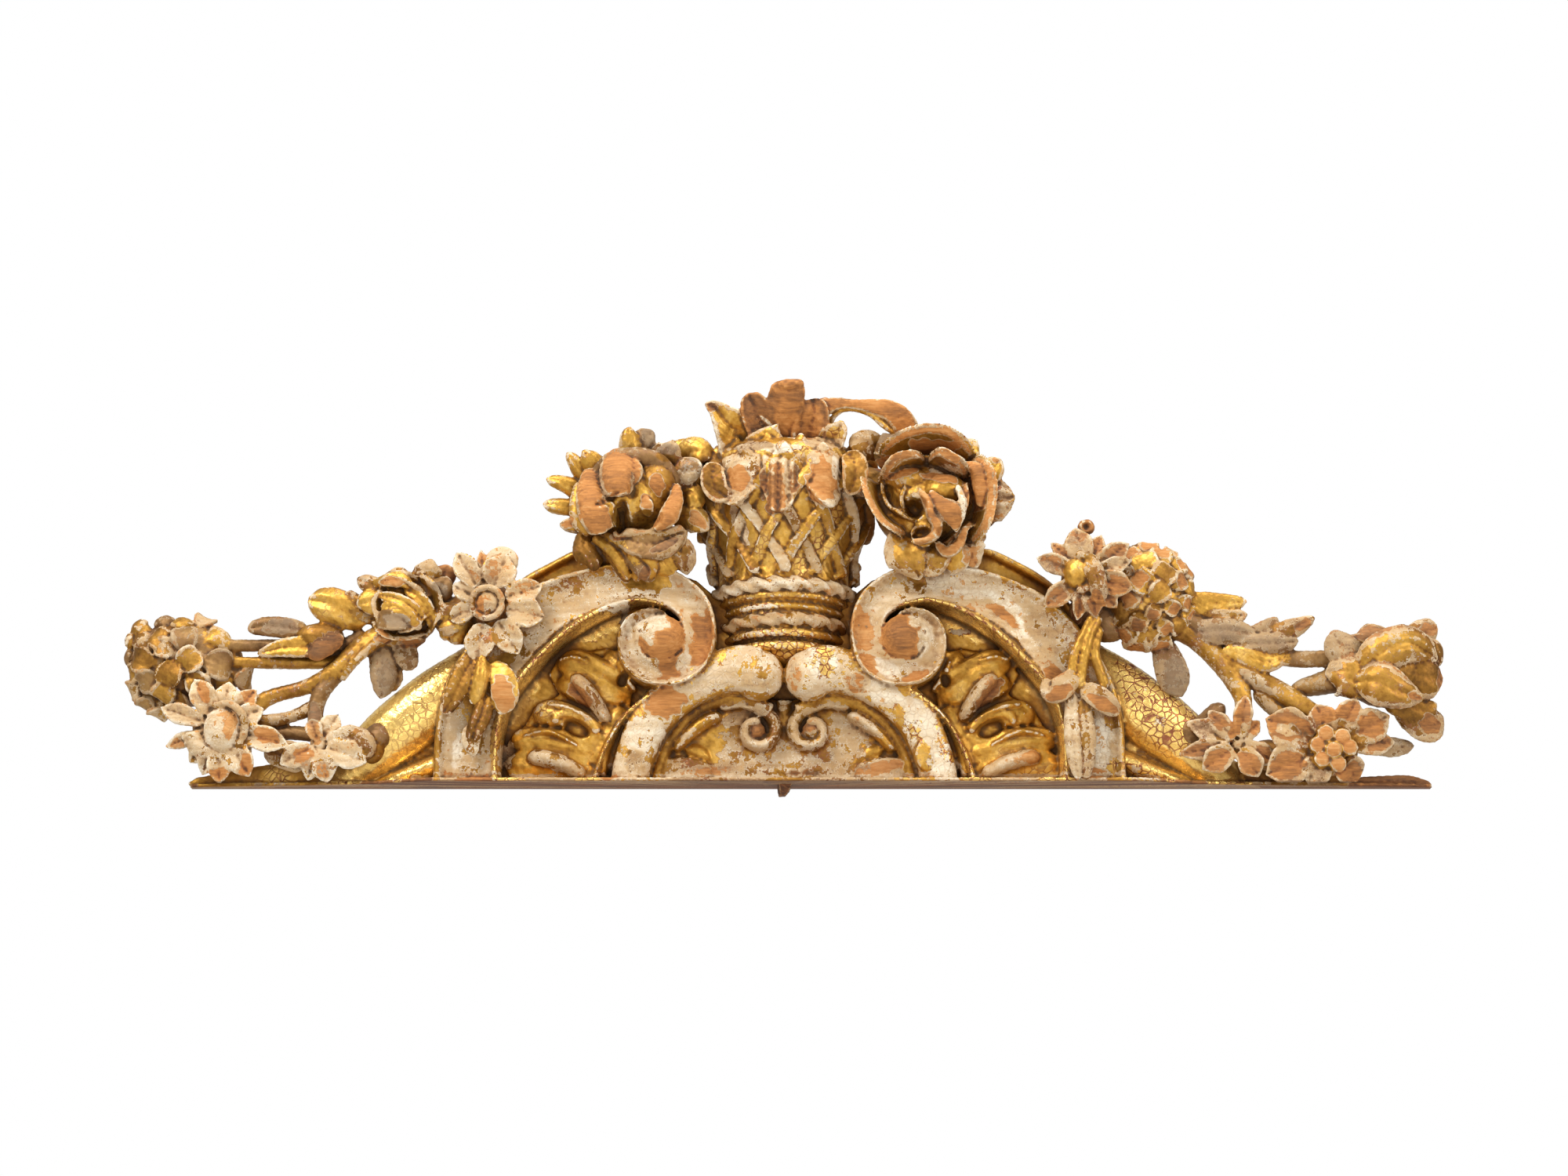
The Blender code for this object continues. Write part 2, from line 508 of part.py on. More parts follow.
def cup_petal(centre, start, stop, base, rim, height, thickness=8.0, roll=0.35, steps=12, rise=7):
    """A petal that wraps about a centre from one angle to another, opening towards the front."""
    share = np.linspace(0, 1, rise)
    angle = np.radians(np.linspace(start, stop, steps))
    ends = np.maximum(rounded(steps, 1.0, 0.3), 0.25)
    radius = base + (rim - base) * share**0.7
    turned = roll * (rim - base) * np.clip(share - 0.75, 0, 1) ** 2 * 4
    grids = []
    for offset in (thickness / 2, -thickness / 2):
        reach = radius + turned + offset
        x = centre[0] + reach * np.cos(angle)[:, None]
        z = centre[2] + reach * np.sin(angle)[:, None]
        depth = centre[1] + height * ends[:, None] * share + 0.25 * offset * share
        grids.append(np.stack([x, -depth, z], -1))
    return closed_sheet(*grids)


def tips_leaf(centre, tip, half_width, sink, bow=0.0):
    """The spine of a petal from a flower's heart to its tip, with its middle lifted by bow."""
    centre, tip = np.array(centre, float), np.array(tip, float)
    root = centre + (tip - centre) * 0.12 - [0, sink, 0]
    near = centre + (tip - centre) * 0.5 + [0, bow, 0]
    return [(*root, half_width * 0.7), (*near, half_width), (*(near * 0.35 + tip * 0.65), half_width * 0.9),
            (*tip, half_width * 0.4)]


def flower_head(centre, tips, boss, sink=8.0, bow=-4.0, spread=0.9):
    """An open flower: a petal out to each tip about a round button."""
    forms = []
    angles = [math.atan2(tip[2] - centre[2], tip[0] - centre[0]) for tip in tips]
    for tip, angle in zip(tips, angles):
        gaps = sorted(abs((other - angle + math.pi) % (2 * math.pi) - math.pi) for other in angles)
        reach = math.dist(centre, tip)
        half_width = min(reach * math.tan(min(gaps[1], 1.2) / 2) * spread, reach * 0.34)
        forms.append(leaf(tips_leaf(centre, tip, max(half_width, 7), sink, bow), cup=0.2))
    core = (centre[0], centre[1] - sink, centre[2])
    forms.append(knob(core, boss * 1.3, sink + 4, boss * 1.3))
    if boss > 8:
        forms.append(knob(centre, boss, 7, boss))
    return forms


def lobed_dome(centre, x_radius, depth_radius, z_radius, count, lobe_radius):
    """A round head of small lobes set in a spiral over a core."""
    forms = [knob(centre, x_radius * 0.86, depth_radius * 0.86, z_radius * 0.86)]
    for k in range(count):
        share = (k + 0.5) / count
        fall = math.acos(1 - share * 1.12)
        turn = k * math.pi * (3 - math.sqrt(5))
        place = (
            centre[0] + (x_radius - lobe_radius * 0.5) * math.sin(fall) * math.cos(turn),
            centre[1] + (depth_radius - lobe_radius * 0.3) * math.cos(fall),
            centre[2] + (z_radius - lobe_radius * 0.5) * math.sin(fall) * math.sin(turn),
        )
        forms.append(knob(place, lobe_radius, lobe_radius * 0.8, lobe_radius, 7, 10))
    return forms


def crown_forms():
    """The leaves over the basket's rim, the plume, the ribbon and the two roses."""
    forms = [leaf(knots, thickness=9.0, cup=-0.18) for knots in RIM_LEAVES]
    forms += [leaf(knots, thickness=11.0) for knots in PLUME_LEAVES]
    forms.append(leaf(RIBBON_SPINE, thickness=12.0, cup=0.05, crease=0.0))
    forms.append(knob((0, 40, 372), 84, 60, 34))
    forms += [knob(*lump) for lump in LEFT_ROSE_CORE + RIGHT_ROSE_CORE]
    core = np.array(LEFT_ROSE_CORE[0][0], float)
    for tip in LEFT_ROSE_FINGERS:
        tip = np.array(tip, float)
        near = core + (tip - core) * 0.55
        forms.append(stem([(*(core * 0.7 + near * 0.3), 10), (*near, 9.5), (*tip, 7.5)], 10, 8, 0.8))
    heart = (LEFT_ROSE_CORE[1][0][0], 78, LEFT_ROSE_CORE[1][0][2] - 6)
    for start, stop, base, rim, height in LEFT_ROSE_WRAPS:
        forms.append(cup_petal(heart, start, stop, base, rim, height + 24))
    for start, stop, base, rim, height in RIGHT_ROSE_PETALS:
        forms.append(cup_petal(RIGHT_ROSE_CENTRE, start, stop, base, rim, height))
    forms += [leaf(knots, thickness=9.0, cup=-0.15) for knots in LEFT_ROSE_CALYX + RIGHT_ROSE_LEAVES]
    for side in (-1, 1):
        forms.append(stem([(side * 160, 20, 190, 34), (side * 162, 30, 250, 30), (side * 164, 44, 310, 34)], 10, 10))
        forms.append(stem([(side * 70, 30, 350, 26), (side * 120, 40, 340, 26), (side * 160, 44, 320, 28)], 10, 10))
    return forms


def garland_forms():
    """The two garlands along the base and the leaves that hang down the arches."""
    forms = []
    forms += lobed_dome(*LEFT_DOME, LEFT_DOME_LOBES, LEFT_LOBE_RADIUS)
    forms += lobed_dome(*RIGHT_DOME, RIGHT_DOME_LOBES, RIGHT_LOBE_RADIUS)
    forms += flower_head(LOW_DAISY_CENTRE, LOW_DAISY_TIPS, 20, 18)
    forms += flower_head(LEFT_STAR_CENTRE, LEFT_STAR_TIPS, 8, 14)
    forms += flower_head(SMALL_ROSE_CENTRE, SMALL_ROSE_TIPS, 16, 12, 8)
    forms += flower_head(LEFT_DAISY_CENTRE, LEFT_DAISY_TIPS, 17, 12)
    forms += flower_head(RIGHT_DAISY_CENTRE, RIGHT_DAISY_TIPS, 13, 12)
    forms += flower_head(RIGHT_STAR_CENTRE, RIGHT_STAR_TIPS, 7, 14)
    forms += flower_head(LOW_FLOWER_CENTRE, LOW_FLOWER_TIPS, 24, 24)
    forms += [knob(place, 11, 9, 11, 7, 10) for place in LOW_FLOWER_BERRIES]
    forms += [knob(*lump) for lump in SMALL_ROSE_CORE + TULIP_CORE + LEFT_KNOBS]
    forms += [leaf(knots, thickness=9.0, cup=0.3) for knots in TULIP_PETALS]
    for knots in [LEFT_DAISY_STALK, RIGHT_DAISY_STALK, *LEFT_STEMS, *RIGHT_STEMS]:
        forms.append(stem(knots))
    forms += [leaf(knots, thickness=10.0) for knots in LEFT_LEAVES + RIGHT_LEAVES]
    forms += [leaf(knots, thickness=12.0) for knots in LEFT_DROP + RIGHT_DROP]
    forms += [leaf(knots, thickness=16.0, cup=0.0, crease=0.0) for knots in LEFT_BASE + RIGHT_BASE]
    return forms


def basket_forms():
    """The basket's body and foot, its plaited straps and the two roped mouldings."""
    forms = [half_turned(BASKET_PROFILE, BASKET_DEPTH_SHARE, BASKET_ARCHING)]
    profile = np.array(BASKET_PROFILE[::-1], float)
    low, high = 232.0, 372.0
    slope = 1.15
    for lean in (-1, 1):
        for k in range(STRAP_COUNT * 2):
            t = np.linspace(0, 1, 12)
            z = low + (high - low) * t
            angle = math.pi * ((k + 0.5) / STRAP_COUNT - 0.5) + lean * slope * (t - 0.5)
            half_width = np.interp(z, profile[:, 1], profile[:, 0])
            inside = (angle > 0.12) & (angle < math.pi - 0.12)
            if inside.sum() < 4:
                continue
            lift = 1.5 + 2.0 * lean * np.cos(math.pi * t * 4 + k * math.pi)
            knots = np.column_stack([
                (half_width + lift) * np.cos(angle),
                (half_width + lift) * BASKET_DEPTH_SHARE * np.sin(angle),
                z + BASKET_ARCHING * np.sin(angle),
                np.full_like(t, STRAP_RADIUS),
            ])[inside]
            forms.append(stem(knots, 14, 6, 0.7))
    for half_width, z, radius in ROPE_RINGS:
        angle = np.linspace(0.05, math.pi - 0.05, 16)
        knots = np.column_stack([
            half_width * np.cos(angle),
            half_width * BASKET_DEPTH_SHARE * np.sin(angle),
            z + BASKET_ARCHING * np.sin(angle),
            np.full_like(angle, radius),
        ])
        forms.append(stem(knots, 24, 8))
    return forms


def arch_forms():
    """The board, the ledge, the arches with their scrolls, the acanthus leaves and the wings."""
    outline = BOARD_OUTLINE[:-1]
    whole = [(-x, z) for x, z in outline[:0:-1]] + list(outline)
    forms = [prism(whole, -BACK_WASTE, BOARD_DEPTH)]
    scroll = volute(
        SCROLL_CENTRE,
        (SCROLL_START_RADIUS, SCROLL_END_RADIUS),
        (SCROLL_START_WIDTH, SCROLL_END_WIDTH),
        (SCROLL_START_DEPTH, SCROLL_EYE_DEPTH),
        SCROLL_TURN,
    )
    inner_run = spline(INNER_KNOTS[:5], 12, 2)
    run = unit(np.gradient(inner_run[:, :2], axis=0))
    outside = np.stack([run[:, 1], -run[:, 0]], -1)
    fillet = np.column_stack([
        inner_run[:, :2] + outside * (inner_run[:, 2:3] + INNER_FILLET * 0.8),
        np.full(len(inner_run), INNER_FILLET),
        np.full(len(inner_run), INNER_DEPTH - 8),
    ])
    eye_x, eye_z = SCROLL_CENTRE
    forms += both_sides(stem([(eye_x, 10, eye_z, 24), (eye_x, 60, eye_z, 24), (eye_x, 104, eye_z, 24)], 12, 16))
    forms += both_sides(knob((eye_x, SCROLL_EYE_DEPTH - 22, eye_z), 26, 22, 26, 9, 18))
    curl = volute(CURL_CENTRE, (22, 5), (7, 6), (66, 74), 400.0, 100.0, 24)
    pieces = [
        band(np.vstack([ARCH_KNOTS, scroll[::3]]), arch_section, 90, 15),
        band(INNER_KNOTS, crowned_section, 30, 9, round_ends=True),
        band(fillet, round_section, 20, 5),
        band(RIB_KNOTS, round_section, 24, 5, back=20),
        band(curl, round_section, 36, 5, back=20),
        band(LEAF_SCROLL_FINGER, round_section, 14, 5, back=20, round_ends=True),
        band(LEAF_SCROLL_FOOT, lobe_section, 14, 5, back=20, round_ends=True),
        band(WING_KNOTS, round_section, 24, 11),
        band(WING_ROLL_KNOTS, round_section, 14, 7, round_ends=True),
    ]
    pieces += [band(lobe, lobe_section, 14, 7, back=20, round_ends=True) for lobe in ACANTHUS_LOBES]
    pieces += [band(rib, round_section, 14, 5, back=20, round_ends=True) for rib in ACANTHUS_RIBS]
    for piece in pieces:
        forms += both_sides(piece)
    ledge = [
        (LEDGE_LEFT_END, LEDGE_END_DEPTH), (-LEDGE_HALF_LENGTH - 60, LEDGE_DEPTH * 0.6),
        (-LEDGE_HALF_LENGTH, LEDGE_DEPTH), (LEDGE_HALF_LENGTH, LEDGE_DEPTH),
        (LEDGE_HALF_LENGTH + 60, LEDGE_DEPTH * 0.6), (LEDGE_RIGHT_END, LEDGE_END_DEPTH),
    ]
    rings = []
    for z in (-BACK_WASTE, LEDGE_THICKNESS):
        front = [(x, -depth, z) for x, depth in ledge]
        rings.append([*front, (LEDGE_RIGHT_END, BACK_WASTE, z), (LEDGE_LEFT_END, BACK_WASTE, z)])
    forms.append(closed_tube(np.array(rings)))
    return forms


def evaluated_mesh(obj):
    """A new mesh of the object with its modifiers applied."""
    graph = bpy.context.evaluated_depsgraph_get()
    return bpy.data.meshes.new_from_object(obj.evaluated_get(graph))


def rough_carving(forms, name):
    """One object that holds every form, still overlapping."""
    points, faces, start = [], [], 0
    for form_points, form_faces in forms:
        points.append(form_points)
        faces.append(form_faces + start)
        start += len(form_points)
    points = np.vstack(points) * METRES
    corners = [list(dict.fromkeys(face)) for face in np.vstack(faces).tolist()]
    mesh = bpy.data.meshes.new(name)
    mesh.from_pydata(points.tolist(), [], corners)
    obj = bpy.data.objects.new(name, mesh)
    bpy.context.scene.collection.objects.link(obj)
    return obj


def fused(obj):
    """The forms grown into one closed skin, then thinned to the faces it needs."""
    remesh = obj.modifiers.new("grow together", "REMESH")
    remesh.mode = "VOXEL"
    remesh.voxel_size = CARVING_GRAIN * METRES
    obj.data = evaluated_mesh(obj)
    obj.modifiers.clear()
    keep_outer_skin(obj.data)
    faces = sum(len(polygon.vertices) - 2 for polygon in obj.data.polygons)
    thin = obj.modifiers.new("thin out", "DECIMATE")
    thin.ratio = CARVING_FACES / faces
    obj.data = evaluated_mesh(obj)
    obj.modifiers.clear()


def keep_outer_skin(mesh):
    """Take away all but the largest skin, such as the walls of pockets sealed inside the forms."""
    work = bmesh.new()
    work.from_mesh(mesh)
    left = set(work.verts)
    skins = []
    while left:
        edge_of_skin = [left.pop()]
        skin = list(edge_of_skin)
        while edge_of_skin:
            vertex = edge_of_skin.pop()
            for edge in vertex.link_edges:
                other = edge.other_vert(vertex)
                if other in left:
                    left.remove(other)
                    skin.append(other)
                    edge_of_skin.append(other)
        skins.append(skin)
    largest = max(skins, key=len)
    for skin in skins:
        if skin is not largest:
            bmesh.ops.delete(work, geom=skin, context="VERTS")
    work.to_mesh(mesh)
    work.free()


def block(name, rings):
    """A new object with a closed form through two or more rings of (x, y, z) points."""
    points, faces = closed_tube(np.array(rings, float))
    obj = rough_carving([(points, faces)], name)
    obj.hide_render = True
    obj.display_type = "WIRE"
    return obj


def saw_block(name, low, high):
    """A cutter between two corners, given as (x, y, z)."""
    ring = [(low[0], low[1]), (high[0], low[1]), (high[0], high[1]), (low[0], high[1])]
    return block(name, [[(x, y, z) for x, y in ring] for z in (low[2], high[2])])


def worked(obj, tool, operation):
    """Saw the tool away from the object, or join it on, and take the tool away."""
    step = obj.modifiers.new(operation.lower(), "BOOLEAN")
    step.operation = operation
    step.object = tool
    step.solver = "EXACT"
    obj.data = evaluated_mesh(obj)
    obj.modifiers.clear()
    bpy.data.objects.remove(tool)


def giltwood():
    """Worn gold leaf on carved wood, as one plain finish."""
    material = bpy.data.materials.new("giltwood")
    material.use_nodes = True
    shader = material.node_tree.nodes["Principled BSDF"]
    shader.inputs["Base Color"].default_value = (0.56, 0.35, 0.12, 1.0)
    shader.inputs["Roughness"].default_value = 0.45
    shader.inputs["Metallic"].default_value = 0.35
    return material


def main():
    """Build the panel."""
    for obj in list(bpy.data.objects):
        bpy.data.objects.remove(obj)
    forms = arch_forms() + basket_forms() + crown_forms() + garland_forms()
    panel = rough_carving(forms, "carved_panel")
    fused(panel)
    worked(panel, saw_block("back_saw", (-900, 0, -90), (900, 90, 600)), "DIFFERENCE")
    worked(panel, saw_block("underside_saw", (-900, -300, -90), (900, 60, 0)), "DIFFERENCE")
    top = [(x, -depth, LEDGE_THICKNESS * 0.5) for x, depth in SPLINTER_TOP]
    tip = [(x, -depth, -SPLINTER_DROP) for x, depth in SPLINTER_TIP]
    worked(panel, block("splinter", [top, tip]), "UNION")
    panel.data.name = panel.name
    panel.data.transform(Matrix.Translation((0, 0, -FIXING_HEIGHT * METRES)))
    panel.data.materials.clear()
    panel.data.materials.append(giltwood())


main()
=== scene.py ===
"""Dresses the carved giltwood overdoor panel: finer carving and its worn gilding.

Sizes are in millimetres until a mesh is made in metres. A place is x, to the right of the middle,
depth, out from the flat back, and z, above the underside. Each carved form is made closed and by
itself, the forms of a piece are grown into one skin, and the skin is then painted point by point.
"""

from __future__ import annotations

import logging
import math
from dataclasses import dataclass, field
from enum import Enum

import bmesh
import bpy
import numpy as np
from mathutils import Matrix, Vector, kdtree

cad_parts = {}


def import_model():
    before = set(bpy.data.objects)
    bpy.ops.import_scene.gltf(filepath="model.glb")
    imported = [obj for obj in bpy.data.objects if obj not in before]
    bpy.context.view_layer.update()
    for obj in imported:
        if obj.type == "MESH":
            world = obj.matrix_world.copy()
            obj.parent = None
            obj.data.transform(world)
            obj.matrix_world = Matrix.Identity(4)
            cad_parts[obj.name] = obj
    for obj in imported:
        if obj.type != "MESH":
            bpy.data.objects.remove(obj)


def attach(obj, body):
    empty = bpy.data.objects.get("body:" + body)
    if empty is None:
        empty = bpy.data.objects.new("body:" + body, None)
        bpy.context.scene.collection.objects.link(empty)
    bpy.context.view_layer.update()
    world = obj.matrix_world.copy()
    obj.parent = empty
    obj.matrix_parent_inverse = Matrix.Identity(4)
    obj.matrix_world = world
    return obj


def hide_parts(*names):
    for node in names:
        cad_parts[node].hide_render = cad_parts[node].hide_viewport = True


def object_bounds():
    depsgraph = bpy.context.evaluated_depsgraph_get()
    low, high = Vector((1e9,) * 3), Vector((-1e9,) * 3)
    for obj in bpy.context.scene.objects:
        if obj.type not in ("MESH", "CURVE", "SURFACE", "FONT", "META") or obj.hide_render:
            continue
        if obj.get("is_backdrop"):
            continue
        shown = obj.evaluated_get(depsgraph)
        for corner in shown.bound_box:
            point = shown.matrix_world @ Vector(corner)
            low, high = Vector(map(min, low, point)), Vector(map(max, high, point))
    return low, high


METRES = 0.001
FIXING_HEIGHT = 60.0
BACK_WASTE = 6.0
SMALLEST_SKIN = 400
NODE = "carved_panel"
PAINT = "gilding"
FRONT = (0.0, 1.0, 0.0)

LOG = logging.getLogger("overdoor")


class Wear(Enum):
    """How the gilding has come down to us: wear, brightness and greyness, each from 0 to 1.

    Up to a wear of 0.46 the gold is whole, up to 0.64 the white gesso shows, and then bare wood.
    """

    BURNISHED = (0.10, 1.0, 0.0)
    GOLD = (0.26, 0.62, 0.0)
    DARK_GOLD = (0.28, 0.30, 0.06)
    PALE_GOLD = (0.385, 0.68, 0.10)
    RUBBED = (0.44, 0.40, 0.35)
    CHALK = (0.54, 0.80, 0.05)
    GESSO = (0.54, 0.60, 0.0)
    BRIGHT_GOLD = (0.27, 0.74, 0.0)
    OLD_GOLD = (0.35, 0.48, 0.20)
    WEATHERED = (0.47, 0.34, 0.62)
    GREY_GOLD = (0.34, 0.30, 0.6)
    WOOD = (0.86, 0.5, 0.0)
    BROWN_WOOD = (0.84, 0.22, 0.25)


@dataclass(frozen=True)
class Ageing:
    """How the bends and hollows of the carving change its paint.

    Each gain turns a bend, per millimetre, into a share, less the start that counts as none. The
    other values are how much is added at a whole share, and kept ones are taken away.
    """

    edge_gain: float = 5.5
    edge_start: float = 0.30
    crease_gain: float = 6.0
    crease_start: float = 0.05
    edge_wear: float = 0.30
    proud_wear: float = 0.07
    hollow_kept: float = 0.12
    crease_kept: float = 0.10
    wood_edge_kept: float = 0.34
    gesso_edge_light: float = 0.5
    # The grime gains darken hollows, creases and the sawn foot: dirt and dark raw wood together with
    # painted shade.
    hollow_grime_and_shade: float = 0.34
    crease_grime_and_shade: float = 0.75
    sawn_grime_and_shade: float = 0.42


@dataclass
class Skin:
    """A closed carved form: its points and faces, with the paint on each point.

    paint holds wear, brightness and greyness in its columns.
    """

    points: np.ndarray
    faces: np.ndarray
    paint: np.ndarray

    def mirrored(self, widened: float) -> Skin:
        """The form on the other side of the middle, which may stand a little wider."""
        return Skin(self.points * [-widened, 1, 1], self.faces[:, ::-1], self.paint)


def unit(vector: np.ndarray) -> np.ndarray:
    """The vector or vectors at length one."""
    vector = np.asarray(vector, float)
    return vector / np.maximum(np.linalg.norm(vector, axis=-1, keepdims=True), 1e-9)


def smooth(value: np.ndarray, low: float, high: float) -> np.ndarray:
    """A soft step from 0 at low to 1 at high."""
    share = np.clip((np.asarray(value, float) - low) / (high - low), 0, 1)
    return share * share * (3 - 2 * share)


def spline(knots: list, count: int, plan: int) -> np.ndarray:
    """Even samples of a smooth curve through knots.

    Args:
        knots: the points to pass, each with any number of values.
        count: how many samples to give.
        plan: how many of the first columns measure distance along the curve.

    Returns:
        One row for each sample.
    """
    knots = np.asarray(knots, float)
    ends = np.vstack([2 * knots[0] - knots[1], knots, 2 * knots[-1] - knots[-2]])
    share = np.linspace(0, 1, 16, endpoint=False)[:, None]
    fine = [
        0.5 * (2 * b + (c - a) * share + (2 * a - 5 * b + 4 * c - d) * share**2
               + (3 * b - a - 3 * c + d) * share**3)
        for a, b, c, d in zip(ends, ends[1:], ends[2:], ends[3:])
    ]
    path = np.vstack([*fine, knots[-1:]])
    steps = np.linalg.norm(np.diff(path[:, :plan], axis=0), axis=1)
    along = np.concatenate([[0], np.cumsum(steps)])
    places = np.linspace(0, along[-1], count)
    return np.column_stack([np.interp(places, along, column) for column in path.T])


def rounded(count: int, length: float, radius: float) -> np.ndarray:
    """Draw both ends of a length in to a round.

    Args:
        count: how many places along the length to give.
        length: the length.
        radius: the radius of the round.

    Returns:
        The share of the full width at each place.
    """
    along = np.linspace(0, length, count)
    from_end = np.minimum(along, length - along) / max(radius, 1e-6)
    return np.sqrt(1 - (1 - np.clip(from_end, 0, 1)) ** 2)


def path_length(path: np.ndarray) -> float:
    """The length of a path of points, one to a row."""
    return np.linalg.norm(np.diff(path, axis=0), axis=1).sum()


def facing_out(points: np.ndarray, faces: np.ndarray) -> np.ndarray:
    """Turn faces to point out of the form that they close.

    Args:
        points: the points of the form.
        faces: four corners to a row.

    Returns:
        The faces.
    """
    corners = points[faces]
    volume = 0.0
    for a, b, c in ((0, 1, 2), (0, 2, 3)):
        volume += np.einsum("ij,ij->", corners[:, a], np.cross(corners[:, b], corners[:, c]))
    return faces if volume > 0 else faces[:, ::-1]


def closed_sheet(front: np.ndarray, rear: np.ndarray, paint: np.ndarray) -> Skin:
    """Close the space between two grids of points.

    Args:
        front: points by row and column.
        rear: the same for the other side.
        paint: the paint on each point of the front, by row and column.

    Returns:
        The closed form.
    """
    rows, columns = front.shape[:2]
    index = np.arange(rows * columns).reshape(rows, columns)
    quads = np.stack([index[:-1, :-1], index[1:, :-1], index[1:, 1:], index[:-1, 1:]], -1).reshape(-1, 4)
    rim = np.concatenate([index[0, :-1], index[:-1, -1], index[-1, :0:-1], index[:0:-1, 0]])
    after = np.roll(rim, -1)
    far = rows * columns
    walls = np.stack([rim, after, after + far, rim + far], -1)
    points = np.concatenate([front.reshape(-1, 3), rear.reshape(-1, 3)])
    faces = np.concatenate([quads, quads[:, ::-1] + far, walls])
    flat = paint.reshape(-1, 3)
    return Skin(points, facing_out(points, faces), np.concatenate([flat, flat]))


def closed_tube(rings: np.ndarray, paint: np.ndarray) -> Skin:
    """Close a form through rings of points.

    Args:
        rings: points by ring and place round the ring.
        paint: the paint on each ring.

    Returns:
        The closed form, with a fan on each end.
    """
    count, sides = rings.shape[:2]
    index = np.arange(count * sides).reshape(count, sides)
    after = np.roll(index, -1, axis=1)
    skin = np.stack([index[:-1], after[:-1], after[1:], index[1:]], -1).reshape(-1, 4)
    hubs = count * sides + np.arange(2)
    near = np.stack([np.full(sides, hubs[0]), after[0], index[0], index[0]], -1)
    last = np.stack([np.full(sides, hubs[1]), index[-1], after[-1], after[-1]], -1)
    points = np.concatenate([rings.reshape(-1, 3), rings[[0, -1]].mean(axis=1)])
    faces = np.concatenate([skin, near, last])
    coats = np.concatenate([np.repeat(paint, sides, axis=0), paint[[0, -1]]])
    return Skin(points, facing_out(points, faces), coats)


def coat(wear: Wear, shape: tuple[int, ...], rims: np.ndarray | float = 0.0) -> np.ndarray:
    """The paint of a form, with its rims worn further down.

    Args:
        wear: the finish of the form.
        shape: rows and columns of the form's grid.
        rims: how much further each point is worn.

    Returns:
        Wear, brightness and greyness for each point of the grid.
    """
    paint = np.empty((*shape, 3))
    paint[...] = wear.value
    paint[..., 0] = np.clip(paint[..., 0] + rims, 0, 1)
    return paint


@dataclass
class Band:
    """A moulding that stands on the board, along a line of (x, z, half width, depth) knots.

    section gives (place across, share of the depth) pairs, from the outer edge at -1 to the
    inner at 1, and worn gives (place across, wear) pairs or None for the same wear all over.
    """

    knots: list
    section: list
    wear: Wear
    steps: int
    across: int
    back: float = -BACK_WASTE
    round_ends: float = 0.0
    veins: int = 0
    vein_depth: float = 0.0
    worn: list | None = None

    def skin(self) -> Skin:
        """Sweep the section along the line.

        Returns:
            The closed moulding.
        """
        path = spline(self.knots, self.steps, 2)
        run = unit(np.gradient(path[:, :2], axis=0))
        aside = np.stack([-run[:, 1], run[:, 0]], -1)
        half_width, depth = path[:, 2].copy(), path[:, 3].copy()
        if self.round_ends:
            ends = rounded(self.steps, path_length(path[:, :2]), half_width.mean() * self.round_ends)
            half_width *= np.maximum(ends, 0.08)
            depth = self.back + (depth - self.back) * (0.8 + 0.2 * ends)
        v = np.linspace(-1, 1, self.across)
        share = np.interp(v, *np.array(self.section, float).T)
        place = path[:, None, :2] + aside[:, None] * (half_width[:, None] * v)[..., None]
        front = self.back + (depth[:, None] - self.back) * share
        if self.veins:
            front = front - self.vein_depth * (0.5 + 0.5 * np.cos(np.pi * self.veins * v)) * (1 - v**4)
        grid = np.stack([place[..., 0], -front, place[..., 1]], -1)
        rear = np.stack([place[..., 0], np.full_like(front, -self.back), place[..., 1]], -1)
        rims = 0.0
        if self.worn:
            rims = np.interp(v, *np.array(self.worn, float).T) - self.wear.value[0]
            rims = np.broadcast_to(rims, front.shape)
        return closed_sheet(grid, rear, coat(self.wear, front.shape, rims))


